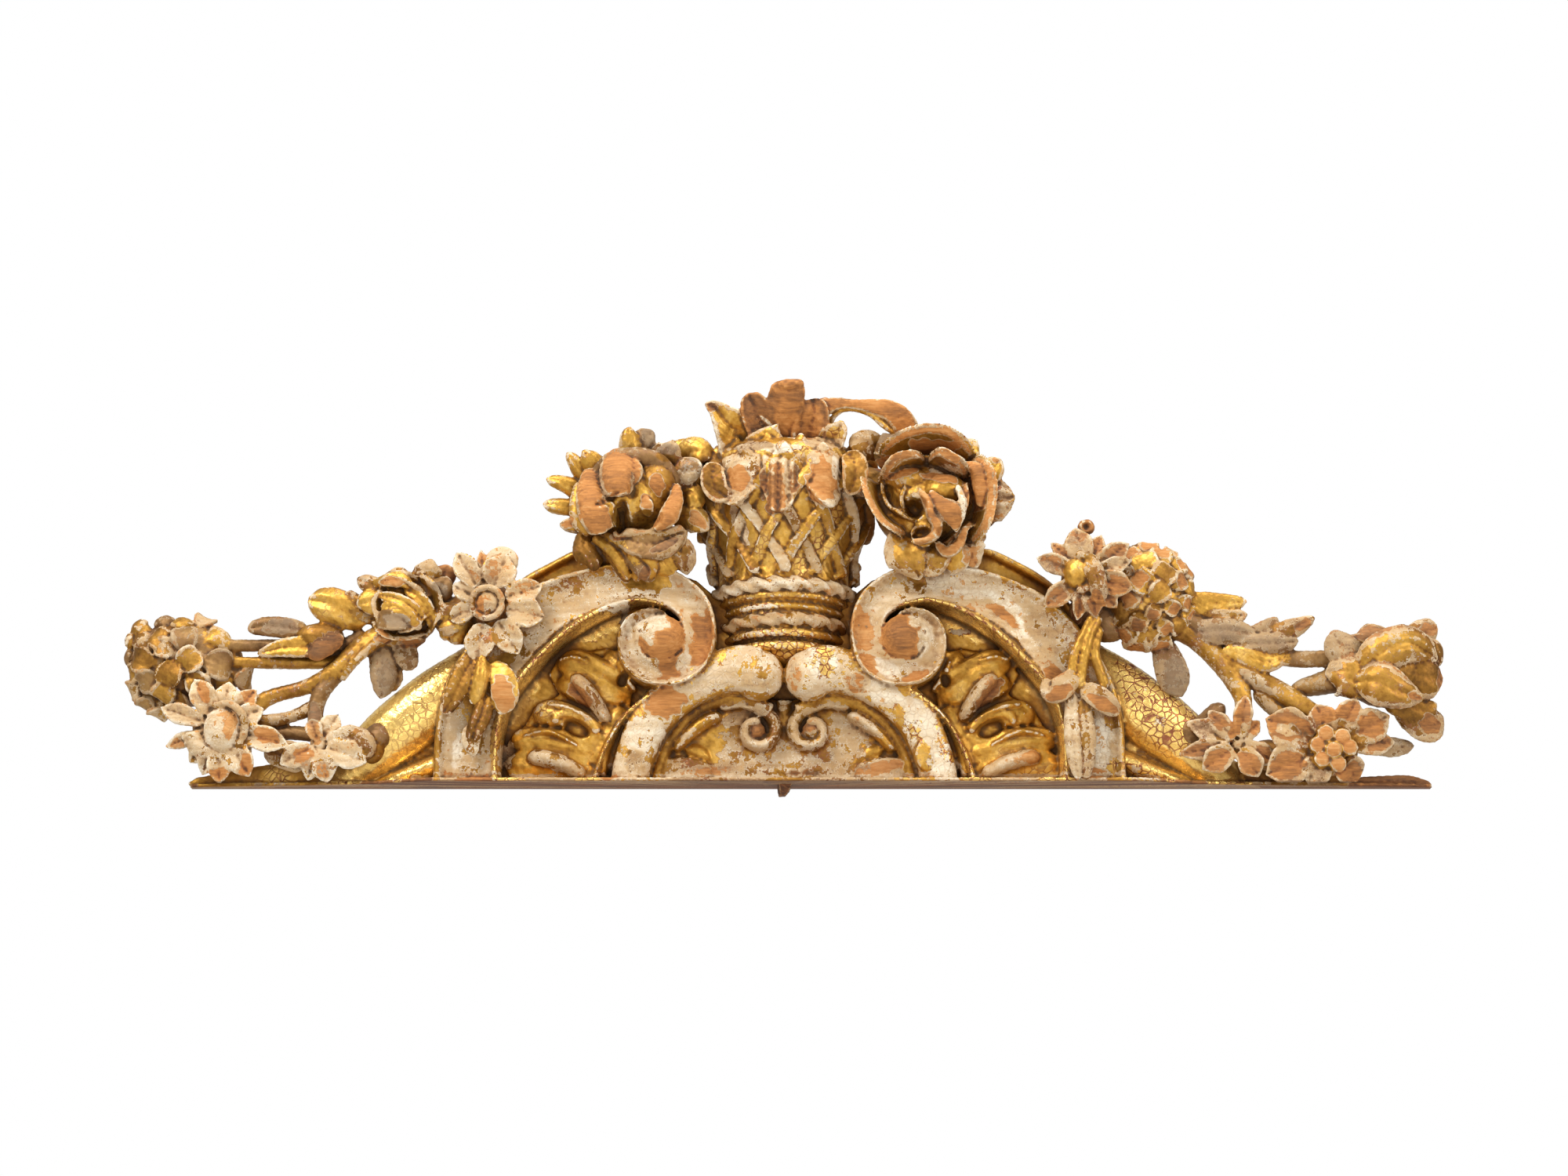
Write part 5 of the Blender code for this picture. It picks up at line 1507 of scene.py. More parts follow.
@dataclass(kw_only=True)
class FlowerHead:
    """An open flower: petals from its heart out to (x, depth, z, half width) tips, and a rimmed boss."""

    centre: tuple[float, float, float]
    tips: list
    heart: float
    boss: float = 0.0
    boss_depth: float = 10.0
    start: float = 0.3
    lift: float = 5.0
    dished: float = 0.14
    rim: float = 1.2
    veins: int = 0
    wear: Wear = Wear.GOLD
    rim_worn: float = 0.25
    blunt: float = 0.6
    late: float = 0.78
    point: float = 0.10
    face_worn: float = 0.0

    def forms(self) -> list[Leaf | Knob | Stem]:
        """Grow the flower.

        Returns:
            The petals, the heart and the boss.
        """
        centre = np.array(self.centre, float)
        forms = [Knob(tuple(centre - [0, 16, 0]), (self.heart * 1.3, 20, self.heart * 1.3), self.wear)]
        for tip in self.tips:
            end, half_width = np.array(tip[:3], float), tip[3]
            near = centre + (end - centre) * self.start
            middle = (near + end) / 2 + [0, self.lift, 0]
            late = near + (end - near) * 0.74 + [0, self.lift * 0.6, 0]
            knots = [
                (*near, half_width * 0.55), (*middle, half_width), (*late, half_width * self.late),
                (*end, half_width * self.point),
            ]
            forms.append(Leaf(knots, self.wear, 9, self.dished, 1.6, self.veins, rim=self.rim,
                              rim_worn=self.rim_worn, blunt=self.blunt,
                              face_worn=self.face_worn * (0.4 + 0.6 * (len(forms) % 3 > 0))))
        if self.boss:
            x, depth, z = self.centre
            ring = []
            for angle in np.linspace(0, 2 * math.pi, 25):
                across, up = self.boss * math.cos(angle), self.boss * math.sin(angle)
                ring.append((x + across, depth + self.boss_depth, z + up, 3.6))
            forms += [
                Knob((x, depth - 2, z), (self.boss, self.boss_depth + 3, self.boss), Wear.GESSO),
                Knob((x, depth + 5, z), (self.boss * 0.72, self.boss_depth - 1, self.boss * 0.72),
                     Wear.GESSO),
                Stem(ring, Wear.RUBBED, 60, 12),
            ]
        return forms


@dataclass(kw_only=True)
class Cluster:
    """Rounded buds packed on a dome about (x, depth, z). Each is (x, z, radius, dimple)."""

    centre: tuple[float, float, float]
    radii: tuple[float, float, float]
    buds: list
    wears: tuple[Wear, ...] = (Wear.OLD_GOLD, Wear.GOLD, Wear.DARK_GOLD, Wear.OLD_GOLD, Wear.GESSO)
    face_worn: bool = False

    def forms(self) -> list[Knob | Leaf]:
        """Grow the cluster.

        Returns:
            The dome and its buds, each a small scooped petal on a knob.
        """
        centre, radii = np.array(self.centre, float), np.array(self.radii, float)
        forms = [Knob(self.centre, self.radii, self.wears[1])]
        for index, (x, z, radius, dimple) in enumerate(self.buds):
            across, up = (x - centre[0]) / radii[0], (z - centre[2]) / radii[2]
            rise = math.sqrt(max(0.06, 1 - across**2 - up**2))
            normal = unit(np.array([across / radii[0], rise / radii[1], up / radii[2]]))
            place = np.array([x, centre[1] + radii[1] * rise, z])
            sway = [across + 0.15 * math.sin(index * 2.1), 0, up + 0.15 * math.cos(index * 3.7)]
            outward = unit(np.array(sway))
            along = unit(outward - normal * (outward @ normal))
            wear = self.wears[index % len(self.wears)]
            forms.append(Knob(tuple(place - normal * radius * 0.55), (radius * 0.9,) * 3, wear))
            knots = []
            for step, lift, width in (
                (-0.8, -0.25, 0.55), (-0.2, 0.3, 1.0), (0.5, 0.32, 1.0), (0.95, -0.05, 0.62),
            ):
                knots.append((*(place + along * radius * step + normal * radius * lift), radius * width))
            forms.append(Leaf(knots, wear, 6, 0.12 if dimple else -0.4, crease=0, rim=0.4 * dimple,
                              rim_worn=0.14, face_worn=0.55 * self.face_worn * (index % 3 > 0),
                              face=tuple(normal), steps=18, across=17))
        return forms


def packed_buds(centre: tuple[float, float, float], radii: tuple[float, float, float], count: int,
                radius: float, dimple: float) -> list[tuple[float, float, float, float]]:
    """Buds spread evenly over a dome.

    Args:
        centre: the middle of the dome, as x, depth and z.
        radii: its radii along x, depth and z.
        count: how many buds to place.
        radius: the mean radius of a bud.
        dimple: how deep the bud's face is dimpled.

    Returns:
        x, z, radius and dimple for each bud.
    """
    buds = []
    for k in range(count):
        rise = 1 - (k + 0.5) / count * 0.98
        turn = k * 2.39996
        across = math.sqrt(1 - rise**2)
        size = radius * (1 + 0.26 * math.sin(k * 2.3))
        buds.append((
            centre[0] + (radii[0] - radius * 0.3) * across * math.cos(turn),
            centre[2] + (radii[2] - radius * 0.3) * across * math.sin(turn),
            size, dimple * (0.5 + 0.5 * math.sin(k * 1.7)),
        ))
    return buds


def wrapped_ring(centre: tuple[float, float, float], petals: list, **settings: object) -> list[CupPetal]:
    """Petals wrapped about one centre.

    Args:
        centre: the middle, as x, depth and z.
        petals: start angle, stop angle, base radius, rim radius and height of each.
        settings: what all the petals share.

    Returns:
        The petals.
    """
    return [
        CupPetal(centre=centre, start=start, stop=stop, base=base, rim=rim, height=height, **settings)
        for start, stop, base, rim, height in petals
    ]


@dataclass
class LeftRose(SubAssembly):
    """The full rose on the left scroll, its petals broken down to bare wood."""

    name: str = "left_rose"
    grain: float = 1.6
    faces: int = 120000

    def carve(self) -> None:
        """Add the rose, the leaves that stick out behind it and its fluted calyx."""
        self.add(
            Knob((-176, 58, 326), (62, 64, 47), Wear.GREY_GOLD),
            Knob((-181, 96, 323), (50, 36, 38)),
            Stem([(-160, 20, 190, 32), (-162, 30, 250, 30), (-164, 44, 300, 32)]),
            Stem([(-70, 26, 350, 22), (-110, 36, 340, 24), (-150, 42, 320, 26)]),
        )
        self.fingers()
        self.petals()
        self.calyx()
        self.cuts += [
            Cut(-184, 295, 8, 18, 34, -8), Cut(-156, 292, 20, 11, 14, 8), Cut(-199, 313, 18, 3, 6, 30),
            Cut(-171, 325, 4, 10, 8, -20),
        ]
        self.patches += [
            Patch(-143, 333, 8, 12, 0.92, 20, grey=0), Patch(-155, 312, 8, 9, 0.8, grey=0),
            Patch(-98, 297, 8, 13, 0.86, 42, grey=0), Patch(-134, 264, 18, 5.5, 0.82, 28, grey=0.6),
            Patch(-158, 232, 6, 13, 0.8, -25, grey=0.4), Patch(-188, 275, 10, 5, 0.66, -8),
            Patch(-132, 378, 12, 8, 0.52, grey=0.9), Patch(-135, 366, 10, 6, 0.24, grey=0),
            Patch(-153, 392, 12, 13, 0.45, grey=0.95), Patch(-106, 359, 14, 10, 0.5, grey=0.8),
            Patch(-246, 295, 8, 6, 0.8),
        ]

    def fingers(self) -> None:
        """The finger leaves that stick out behind the rose."""
        self.add(
            Leaf([(-167, 66, 357, 12), (-174, 78, 377, 13), (-176, 82, 393, 11), (-176, 80, 405, 7)],
                 Wear.GOLD, 13, -0.4, rim_worn=0.12),
            Leaf([(-165, 60, 358, 12), (-162, 72, 382, 15), (-156, 76, 394, 15), (-149, 74, 401, 9)],
                 Wear.GREY_GOLD, 12),
            Leaf([(-151, 70, 351, 16), (-138, 86, 369, 17), (-129, 90, 379, 15), (-126, 88, 387, 9)],
                 Wear.RUBBED, 15, -0.4),
            Leaf([(-210, 56, 345, 12), (-230, 66, 357, 10), (-238, 68, 367, 8.5), (-247, 66, 378, 5)],
                 Wear.GOLD, 13, -0.4, rim_worn=0.1),
            Leaf([(-200, 60, 349, 15), (-215, 72, 363, 13), (-222, 74, 371, 11), (-228, 72, 379, 6)],
                 Wear.GOLD, 13, -0.4, rim_worn=0.1),
            Leaf([(-210, 54, 323, 12), (-237, 64, 337, 11), (-253, 66, 344, 9), (-270, 62, 348, 6)],
                 Wear.GOLD, 13, -0.4, rim_worn=0.1),
            Leaf([(-210, 54, 318, 12), (-240, 64, 316, 9.5), (-256, 66, 317, 9), (-273, 62, 319, 6)],
                 Wear.GOLD, 13, -0.4),
            Leaf([(-210, 54, 305, 12), (-231, 66, 296, 10), (-242, 68, 295, 9), (-254, 64, 295, 5)],
                 Wear.GOLD, 12, -0.2, rim_worn=0.3),
            Leaf([(-193, 50, 359, 12), (-192, 60, 375, 9), (-191, 62, 381, 6)], Wear.GREY_GOLD, 10, 0.16),
            Leaf([(-133, 70, 338, 14), (-114, 84, 352, 17), (-103, 88, 356, 14), (-94, 86, 357, 10)],
                 Wear.GESSO, 18, blunt=0.4),
            Leaf([(-125, 66, 321, 12), (-108, 78, 330, 14), (-101, 82, 322, 12), (-105, 80, 310, 7)],
                 thickness=14),
            Leaf([(-125, 66, 303, 16), (-107, 82, 302, 15), (-96, 86, 295, 14), (-87, 82, 287, 7)],
                 Wear.GOLD, 15, -0.4, rim_worn=0.1),
            Leaf([(-134, 44, 369, 16), (-116, 56, 380, 17), (-100, 58, 379, 14), (-89, 54, 371, 8)],
                 thickness=10),
        )

    def petals(self) -> None:
        """The broken petals round the rose's dark hollow, their faces cut flat to bare wood."""
        self.add(
            Leaf([(-220, 98, 346, 9), (-219, 122, 323, 15), (-213, 132, 300, 19), (-204, 124, 279, 15)],
                 Wear.WOOD, 26, -0.18, crease=0, blunt=0.3),
            Leaf([(-186, 104, 367, 14), (-187, 126, 350, 21), (-187, 134, 333, 19), (-185, 132, 318, 13)],
                 Wear.WOOD, 26, -0.2, crease=0, blunt=0.3),
            Leaf([(-169, 116, 357, 4), (-167, 126, 345, 8), (-169, 124, 335, 4)], Wear.WOOD, 22, 0.16,
                 crease=0),
            Knob((-147, 102, 337), (24, 26, 24), Wear.OLD_GOLD),
            Knob((-158, 84, 309), (30, 26, 26)),
            Leaf([(-121, 104, 329, 4), (-123, 120, 313, 9), (-131, 128, 295, 11), (-143, 118, 285, 5)],
                 Wear.WOOD, 22, -0.2, crease=0, blunt=0.3),
            Leaf([(-203, 124, 312, 4), (-195, 130, 302, 7), (-192, 122, 288, 5)], Wear.GOLD, 18, 0.16,
                 crease=0),
            Leaf([(-173, 112, 314, 4), (-157, 122, 311, 8), (-152, 116, 301, 5)], Wear.GOLD, 14, 0.16,
                 crease=0),
            Stem([(-214, 104, 347, 7), (-196, 112, 363, 9), (-170, 114, 367, 10), (-145, 110, 361, 11),
                  (-127, 100, 346, 8), (-122, 96, 332, 6)], Wear.GREY_GOLD),
            Stem([(-230, 92, 340, 7), (-236, 100, 316, 7), (-233, 104, 294, 8), (-219, 100, 279, 6)],
                 Wear.OLD_GOLD),
            Stem([(-193, 110, 278, 5), (-163, 117, 280, 5), (-132, 116, 280, 5), (-115, 104, 287, 4)],
                 Wear.RUBBED),
        )

    def calyx(self) -> None:
        """The front petal that hangs below the rose and the flutes that sweep down from it."""
        self.add(
            Leaf([(-188, 98, 279, 8), (-166, 112, 268, 16), (-137, 112, 268, 18), (-112, 98, 281, 8)],
                 Wear.GREY_GOLD, 14, 0.1, rim=2.5),
            Leaf([(-157, 112, 266, 4), (-146, 118, 256, 8), (-131, 120, 260, 9), (-115, 110, 275, 4)],
                 Wear.GREY_GOLD, 12, 0),
            Knob((-178, 60, 268), (54, 40, 30), Wear.DARK_GOLD),
            Leaf([(-225, 82, 287, 9), (-225, 92, 264, 15), (-216, 92, 250, 12), (-215, 84, 241, 6)],
                 Wear.DARK_GOLD, 14, -0.5),
            Stem([(-216, 96, 277, 5), (-200, 104, 264, 6), (-186, 104, 248, 6.5), (-176, 90, 229, 5)]),
            Stem([(-204, 98, 279, 5), (-180, 108, 265, 6), (-166, 108, 247, 6.5), (-167, 92, 227, 5)]),
            Stem([(-209, 92, 271, 4), (-198, 98, 256, 5), (-186, 96, 238, 5), (-177, 84, 226, 4)],
                 Wear.DARK_GOLD),
            Leaf([(-197, 98, 277, 8), (-172, 106, 262, 14), (-156, 106, 242, 15), (-152, 92, 228, 8)],
                 Wear.GREY_GOLD, 12, twist=-20),
            Stem([(-191, 102, 271, 4.5), (-166, 112, 257, 5), (-148, 110, 245, 5.5), (-151, 96, 230, 4.5)]),
            Leaf([(-124, 92, 276, 12), (-117, 96, 261, 16), (-112, 92, 248, 14), (-110, 82, 239, 7)],
                 Wear.RUBBED, 14, veins=2),
            Leaf([(-144, 90, 264, 14), (-135, 96, 249, 17), (-126, 88, 236, 12)], thickness=12),
        )


@dataclass
class RightRose(SubAssembly):
    """The open rose on the right scroll, a spiral of thin worn petals."""

    name: str = "right_rose"
    grain: float = 1.6
    faces: int = 120000

    def carve(self) -> None:
        """Add the rose's petals, and the leaves round it."""
        self.add(
            Knob((164, 54, 321), (62, 66, 56), Wear.PALE_GOLD),
            Knob((158, 88, 316), (52, 42, 46), Wear.PALE_GOLD),
            Stem([(160, 20, 190, 32), (162, 30, 250, 30), (164, 44, 300, 32)]),
            Stem([(70, 26, 350, 22), (110, 36, 340, 24), (150, 42, 320, 26)]),
        )
        self.petals()
        self.leaves()
        self.cuts += [
            Cut(147, 305, 13, 12, 26, 10), Cut(118, 317, 10, 18, 12, 10), Cut(155, 374, 26, 5, 12, 4),
            Cut(155, 276, 11, 8, 12, 10), Cut(183, 272, 13, 8, 12, -20),
        ]
        self.patches += [
            Patch(218, 327, 9, 26, 0.88, 6, grey=0), Patch(178, 340, 22, 7, 0.86, -8, grey=0),
            Patch(180, 350, 20, 5, 0.52, -8, grey=0.1), Patch(134, 345, 20, 5, 0.86, 18, grey=0),
            Patch(169, 381, 30, 6, 0.86, -4, grey=0), Patch(190, 369, 7, 12, 0.84, 20, grey=0),
            Patch(113, 365, 10, 6, 0.85, 15, grey=0), Patch(254, 326, 6, 20, 0.6, 12),
            Patch(244, 373, 6, 9, 0.72, -30), Patch(210, 255, 10, 13, 0.7, grey=0.3),
            Patch(177, 404, 24, 5, 0.74, -5, grey=0.5), Patch(115, 393, 18, 7, 0.5, grey=0.95),
        ]

    def petals(self) -> None:
        """The petals that wind in to the dark eye, each a thick wall with its rim cut to bare wood."""
        middle = (162, 64, 321)
        for start, stop, base, rim, height, thickness, closing in (
            (158, 244, 54, 75, 80, 10, 0.34), (-50, 44, 48, 72, 74, 13, 0.0),
            (42, 138, 56, 74, 64, 13, 0.0), (-82, -24, 44, 57, 62, 9, 0.0),
        ):
            self.add(CupPetal(centre=middle, start=start, stop=stop, base=base, rim=rim, height=height,
                              thickness=thickness, closing=closing, wear=Wear.GOLD, rim_worn=0.6))
        for start, stop, base, rim, height, thickness, closing in (
            (90, 162, 32, 43, 90, 12, -0.32), (26, 92, 36, 51, 90, 13, 0.14), (-46, 24, 32, 44, 84, 7, 0.0),
        ):
            self.add(CupPetal(centre=middle, start=start, stop=stop, base=base, rim=rim, height=height,
                              roll=0.1, thickness=thickness, closing=closing, wear=Wear.OLD_GOLD,
                              rim_worn=0.45))
        self.add(
            CupPetal(centre=middle, start=156, stop=262, base=52, rim=55, height=72, closing=0.52,
                     thickness=6, wear=Wear.OLD_GOLD, rim_worn=0),
            CupPetal(centre=(149, 66, 317), start=96, stop=300, base=14, rim=17, height=68, thickness=5,
                     wear=Wear.OLD_GOLD, rim_worn=0),
            Knob((180, 110, 326), (28, 30, 20)),
            Knob((140, 104, 340), (26, 28, 16), Wear.OLD_GOLD),
            Leaf([(154, 138, 321, 2), (162, 146, 307, 5), (165, 147, 293, 5), (172, 146, 282, 6),
                  (166, 142, 270, 5), (145, 134, 265, 3)], Wear.WOOD, 22, 0, crease=0, blunt=0.3),
            Leaf([(165, 142, 321, 2), (176, 148, 306, 9), (188, 148, 296, 13), (193, 138, 280, 2)],
                 Wear.WOOD, 16, -0.1, crease=0, blunt=0.2),
            Leaf([(195, 140, 327, 3), (200, 146, 312, 4), (200, 144, 297, 4), (194, 134, 279, 2)],
                 Wear.CHALK, 16, 0, crease=0, blunt=0.3),
            Leaf([(150, 116, 285, 12), (157, 122, 275, 14), (148, 118, 269, 10)], Wear.OLD_GOLD, 14, 0.16),
            Leaf([(173, 120, 265, 4), (183, 126, 255, 6), (196, 126, 264, 6), (205, 120, 284, 3)],
                 Wear.WOOD, 16, 0, crease=0, blunt=0.3),
            Leaf([(208, 112, 356, 3), (218, 122, 348, 8), (222, 124, 328, 9), (221, 118, 309, 4)],
                 Wear.WOOD, 18, -0.1, crease=0, blunt=0.3),
        )

    def leaves(self) -> None:
        """The leaves round the rose."""
        self.add(
            Leaf([(146, 84, 293, 22), (141, 112, 263, 28), (147, 114, 246, 27), (152, 98, 230, 12)],
                 Wear.OLD_GOLD, 12, crease=2.6, rim_worn=0.2),
            Leaf([(168, 90, 278, 12), (173, 118, 255, 15), (170, 114, 241, 12), (161, 104, 232, 5)],
                 Wear.OLD_GOLD, 10, rim_worn=0.3),
            Leaf([(186, 80, 283, 16), (191, 108, 260, 19), (193, 106, 248, 17), (191, 94, 237, 9)],
                 thickness=10, rim_worn=0.2),
            Leaf([(201, 76, 284, 14), (209, 100, 264, 19), (212, 98, 256, 17), (218, 88, 245, 8)],
                 Wear.GESSO, 10),
            Leaf([(210, 56, 294, 12), (221, 66, 280, 10), (224, 66, 273, 6)], Wear.RUBBED, 10),
            Leaf([(210, 54, 335, 14), (228, 66, 351, 16), (237, 70, 359, 15), (246, 68, 369, 9)], Wear.GOLD,
                 16, 0.2, rim_worn=0.15),
            Leaf([(214, 54, 323, 22), (237, 68, 324, 25), (247, 72, 325, 24), (262, 68, 326, 16)],
                 Wear.GESSO, 14, -0.2, veins=3, vein_depth=3.4, rim_worn=0.15),
            Leaf([(211, 48, 311, 16), (228, 58, 306, 17), (241, 60, 302, 10)], Wear.DARK_GOLD, 12, -0.2),
            Leaf([(152, 58, 349, 22), (130, 78, 374, 25), (119, 82, 386, 22), (112, 78, 397, 12)],
                 Wear.GREY_GOLD, 10, -0.36),
            Leaf([(169, 58, 358, 26), (174, 72, 391, 30), (178, 74, 400, 26), (181, 70, 409, 16)],
                 rim_worn=0.3),
            Leaf([(193, 56, 353, 20), (205, 68, 376, 20), (212, 70, 384, 16), (219, 66, 392, 8)], Wear.GOLD,
                 10, -0.2, rim_worn=0.2),
        )


@dataclass
class LeftGarland(SubAssembly):
    """The garland on the left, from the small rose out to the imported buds, and the leaves on the arch."""

    name: str = "left_garland"
    grain: float = 1.7
    faces: int = 170000

    def carve(self) -> None:
        """Add the flowers, stems and leaves of the garland."""
        self.buds()
        self.low_flowers()
        self.small_rose()
        self.daisy()
        self.stems()
        self.patches += [
            Patch(-343, 194, 5, 17, 0.85, grey=0), Patch(-316, 97, 13, 22, 0.92, 8, grey=0),
            Patch(-625, 63, 6, 17, 0.84, -14, grey=0), Patch(-640, 8, 19, 8, 0.84, 4, grey=0),
            Patch(-603, 19, 12, 16, 0.8, -12, grey=0), Patch(-583, 55, 16, 10, 0.78, -12, grey=0.05),
            Patch(-657, 103, 7, 13, 0.8, 14, grey=0.2), Patch(-606, 101, 9, 10, 0.74, grey=0.3),
            Patch(-687, 42, 9, 9, 0.84, grey=0.5), Patch(-544, 30, 12, 12, 0.7, 25, grey=0.1),
            Patch(-521, 14, 9, 10, 0.74, grey=0.1), Patch(-530, 56, 4.5, 13, 0.74, 12, grey=0.3),
            Patch(-444, 228, 15, 5.5, 0.84, -6, grey=0.1), Patch(-437, 183, 19, 8, 0.5, -4, grey=0.95),
            Patch(-390, 221, 11, 8, 0.5, -20, grey=0.95), Patch(-414, 160, 30, 5, 0.7, 2, grey=0),
            Patch(-455, 167, 10, 8, 0.72, grey=0.1), Patch(-572, 181, 22, 9, 0.6, grey=0.9),
            Patch(-527, 153, 12, 8, 0.72, 10, grey=0.4), Patch(-451, 123, 12, 24, 0.44, grey=1),
            Patch(-532, 78, 8, 16, 0.66, grey=0.7), Patch(-337, 237, 16, 14, 0.62, grey=0.4),
            Patch(-342, 255, 7, 8, 0.78, grey=0.4),
        ]

    def buds(self) -> None:
        """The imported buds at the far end."""
        places = [
            (-738, 182, 13, 0), (-708, 189, 12, 0), (-686, 184, 13, 0), (-663, 187, 13, 5),
            (-645, 168, 17, 0), (-681, 165, 15, 4), (-708, 164, 14, 3), (-732, 164, 13, 0),
            (-751, 169, 9, 0), (-752, 149, 10, 0), (-728, 143, 15, 5), (-702, 154, 12, 4),
            (-676, 141, 15, 6), (-645, 138, 18, 4), (-627, 147, 14, 0), (-618, 126, 16, 3),
            (-639, 119, 13, 0), (-722, 121, 14, 4), (-697, 127, 15, 6), (-742, 114, 13, 4),
            (-703, 109, 14, 6), (-725, 97, 13, 4), (-689, 100, 13, 5), (-712, 87, 12, 3),
            (-668, 118, 14, 4), (-658, 101, 12, 0), (-740, 131, 12, 3),
        ]
        cluster = Cluster(centre=(-686, 14, 142), radii=(62, 44, 50), buds=places,
                          wears=(Wear.OLD_GOLD, Wear.GREY_GOLD, Wear.DARK_GOLD, Wear.RUBBED))
        self.add(*cluster.forms())

    def low_flowers(self) -> None:
        """The worn flower at the end of the base and the star beside it."""
        daisy = FlowerHead(centre=(-637, 68, 63), heart=26, wear=Wear.GESSO, rim_worn=-0.06, veins=2,
                           dished=0.2,
                           tips=[(-705, 62, 86, 12), (-700, 50, 43, 9), (-672, 58, 24, 12),
                                 (-657, 62, 10, 12), (-638, 68, -1, 14), (-603, 70, 7, 15),
                                 (-561, 68, 43, 15), (-590, 62, 85, 13), (-599, 54, 107, 12),
                                 (-629, 56, 115, 13), (-668, 62, 118, 15)])
        star = FlowerHead(centre=(-526, 66, 45), heart=9, wear=Wear.GESSO, rim_worn=-0.04, dished=0.1,
                          start=0.18, veins=2,
                          tips=[(-535, 66, 73, 10), (-506, 56, 78, 13), (-470, 66, 56, 14),
                                (-471, 70, 23, 16), (-516, 64, 1, 14), (-538, 62, 4, 12),
                                (-570, 62, 22, 14)])
        self.add(*daisy.forms(), *star.forms())
        self.add(
            Knob((-635, 72, 60), (21, 17, 27), Wear.CHALK),
            Stem([(-647, 76, 87, 3.5), (-627, 82, 89, 4.5), (-612, 84, 77, 5), (-609, 80, 58, 4.5),
                  (-617, 76, 39, 3.5)], Wear.RUBBED),
        )
        for turn in range(14):
            angle = math.radians(196 + turn * 9.5)
            x, z = -637, 63
            self.add(Stem([(x + 24 * math.cos(angle), 70, z + 22 * math.sin(angle), 3.5),
                           (x + 34 * math.cos(angle), 74, z + 32 * math.sin(angle), 4.2),
                           (x + 46 * math.cos(angle), 68, z + 44 * math.sin(angle), 3.2)], Wear.GESSO,
                          20, 10))
        self.add(
            Stem([(-493, 64, 59, 8), (-477, 68, 50, 12), (-472, 66, 38, 10), (-488, 66, 31, 8)],
                 Wear.RUBBED),
            Stem([(-469, 50, 60, 9), (-464, 52, 42, 12), (-471, 50, 24, 9)], Wear.DARK_GOLD),
            Leaf([(-589, 50, 38, 12), (-560, 54, 32, 17), (-539, 52, 24, 14)], Wear.RUBBED, 12, 0.16),
        )

    def small_rose(self) -> None:
        """The small rose of wrapped folds, and the leaves round it."""
        heart = (-432, 46, 201)
        self.add(
            Knob((-433, 40, 202), (42, 34, 42)),
            *wrapped_ring(heart,
                          [(60, 150, 26, 37, 36), (-60, 70, 30, 42, 34), (200, 320, 28, 38, 32),
                           (20, 120, 14, 26, 42), (250, 360, 16, 28, 38), (130, 230, 20, 32, 34)],
                          thickness=7, rim_worn=0.16, wear=Wear.OLD_GOLD),
            Leaf([(-463, 64, 229, 4), (-448, 78, 230, 8), (-433, 80, 229, 8), (-421, 74, 222, 4)],
                 Wear.GOLD, 12, 0),
            Leaf([(-457, 72, 213, 5), (-439, 82, 208, 7), (-422, 84, 199, 7), (-409, 78, 186, 5)],
                 Wear.GOLD, 10, 0.2, rim_worn=0.2),
            Leaf([(-455, 76, 200, 5), (-438, 84, 197, 6), (-422, 84, 187, 6), (-412, 76, 174, 4)],
                 Wear.GOLD, 10, 0.2, rim_worn=0.2),
            Leaf([(-429, 72, 220, 5), (-414, 80, 210, 7), (-403, 78, 197, 7), (-399, 68, 178, 5)],
                 Wear.GOLD, 10, 0.2, rim_worn=0.2),
            Leaf([(-461, 70, 185, 8), (-444, 82, 184, 12), (-428, 82, 184, 11), (-418, 74, 179, 6)],
                 Wear.GREY_GOLD, 9, 0.25, crease=0),
            Leaf([(-446, 60, 206, 13), (-466, 66, 207, 15), (-477, 64, 206, 13), (-483, 60, 204, 8)],
                 Wear.GOLD, 12, -0.2, rim_worn=0.1),
            Leaf([(-446, 56, 216, 12), (-465, 62, 225, 11), (-478, 60, 231, 9), (-483, 56, 233, 5)],
                 Wear.RUBBED, 12, -0.2),
            Leaf([(-437, 56, 224, 14), (-438, 62, 240, 18), (-438, 60, 247, 14)], Wear.DARK_GOLD, 9, -0.4),
            Leaf([(-416, 52, 220, 14), (-406, 60, 240, 17), (-403, 60, 249, 14), (-401, 56, 255, 8)],
                 Wear.RUBBED, 12, -0.4),
            Leaf([(-396, 48, 217, 10), (-385, 54, 243, 13), (-382, 54, 251, 10)], Wear.BROWN_WOOD, 10),
            Leaf([(-399, 56, 208, 12), (-390, 66, 221, 14), (-386, 66, 227, 12), (-383, 62, 234, 8)],
                 Wear.GREY_GOLD, 11, -0.1),
            Stem([(-393, 50, 181, 24), (-374, 60, 186, 26), (-352, 74, 193, 22)], Wear.RUBBED, ribs=5,
                 rib_depth=0.16, turns=0.4),
            Stem([(-390, 60, 202, 8), (-381, 72, 185, 9), (-385, 62, 163, 8)]),
            Stem([(-374, 70, 192, 7), (-366, 76, 177, 8), (-374, 64, 159, 7)]),
        )

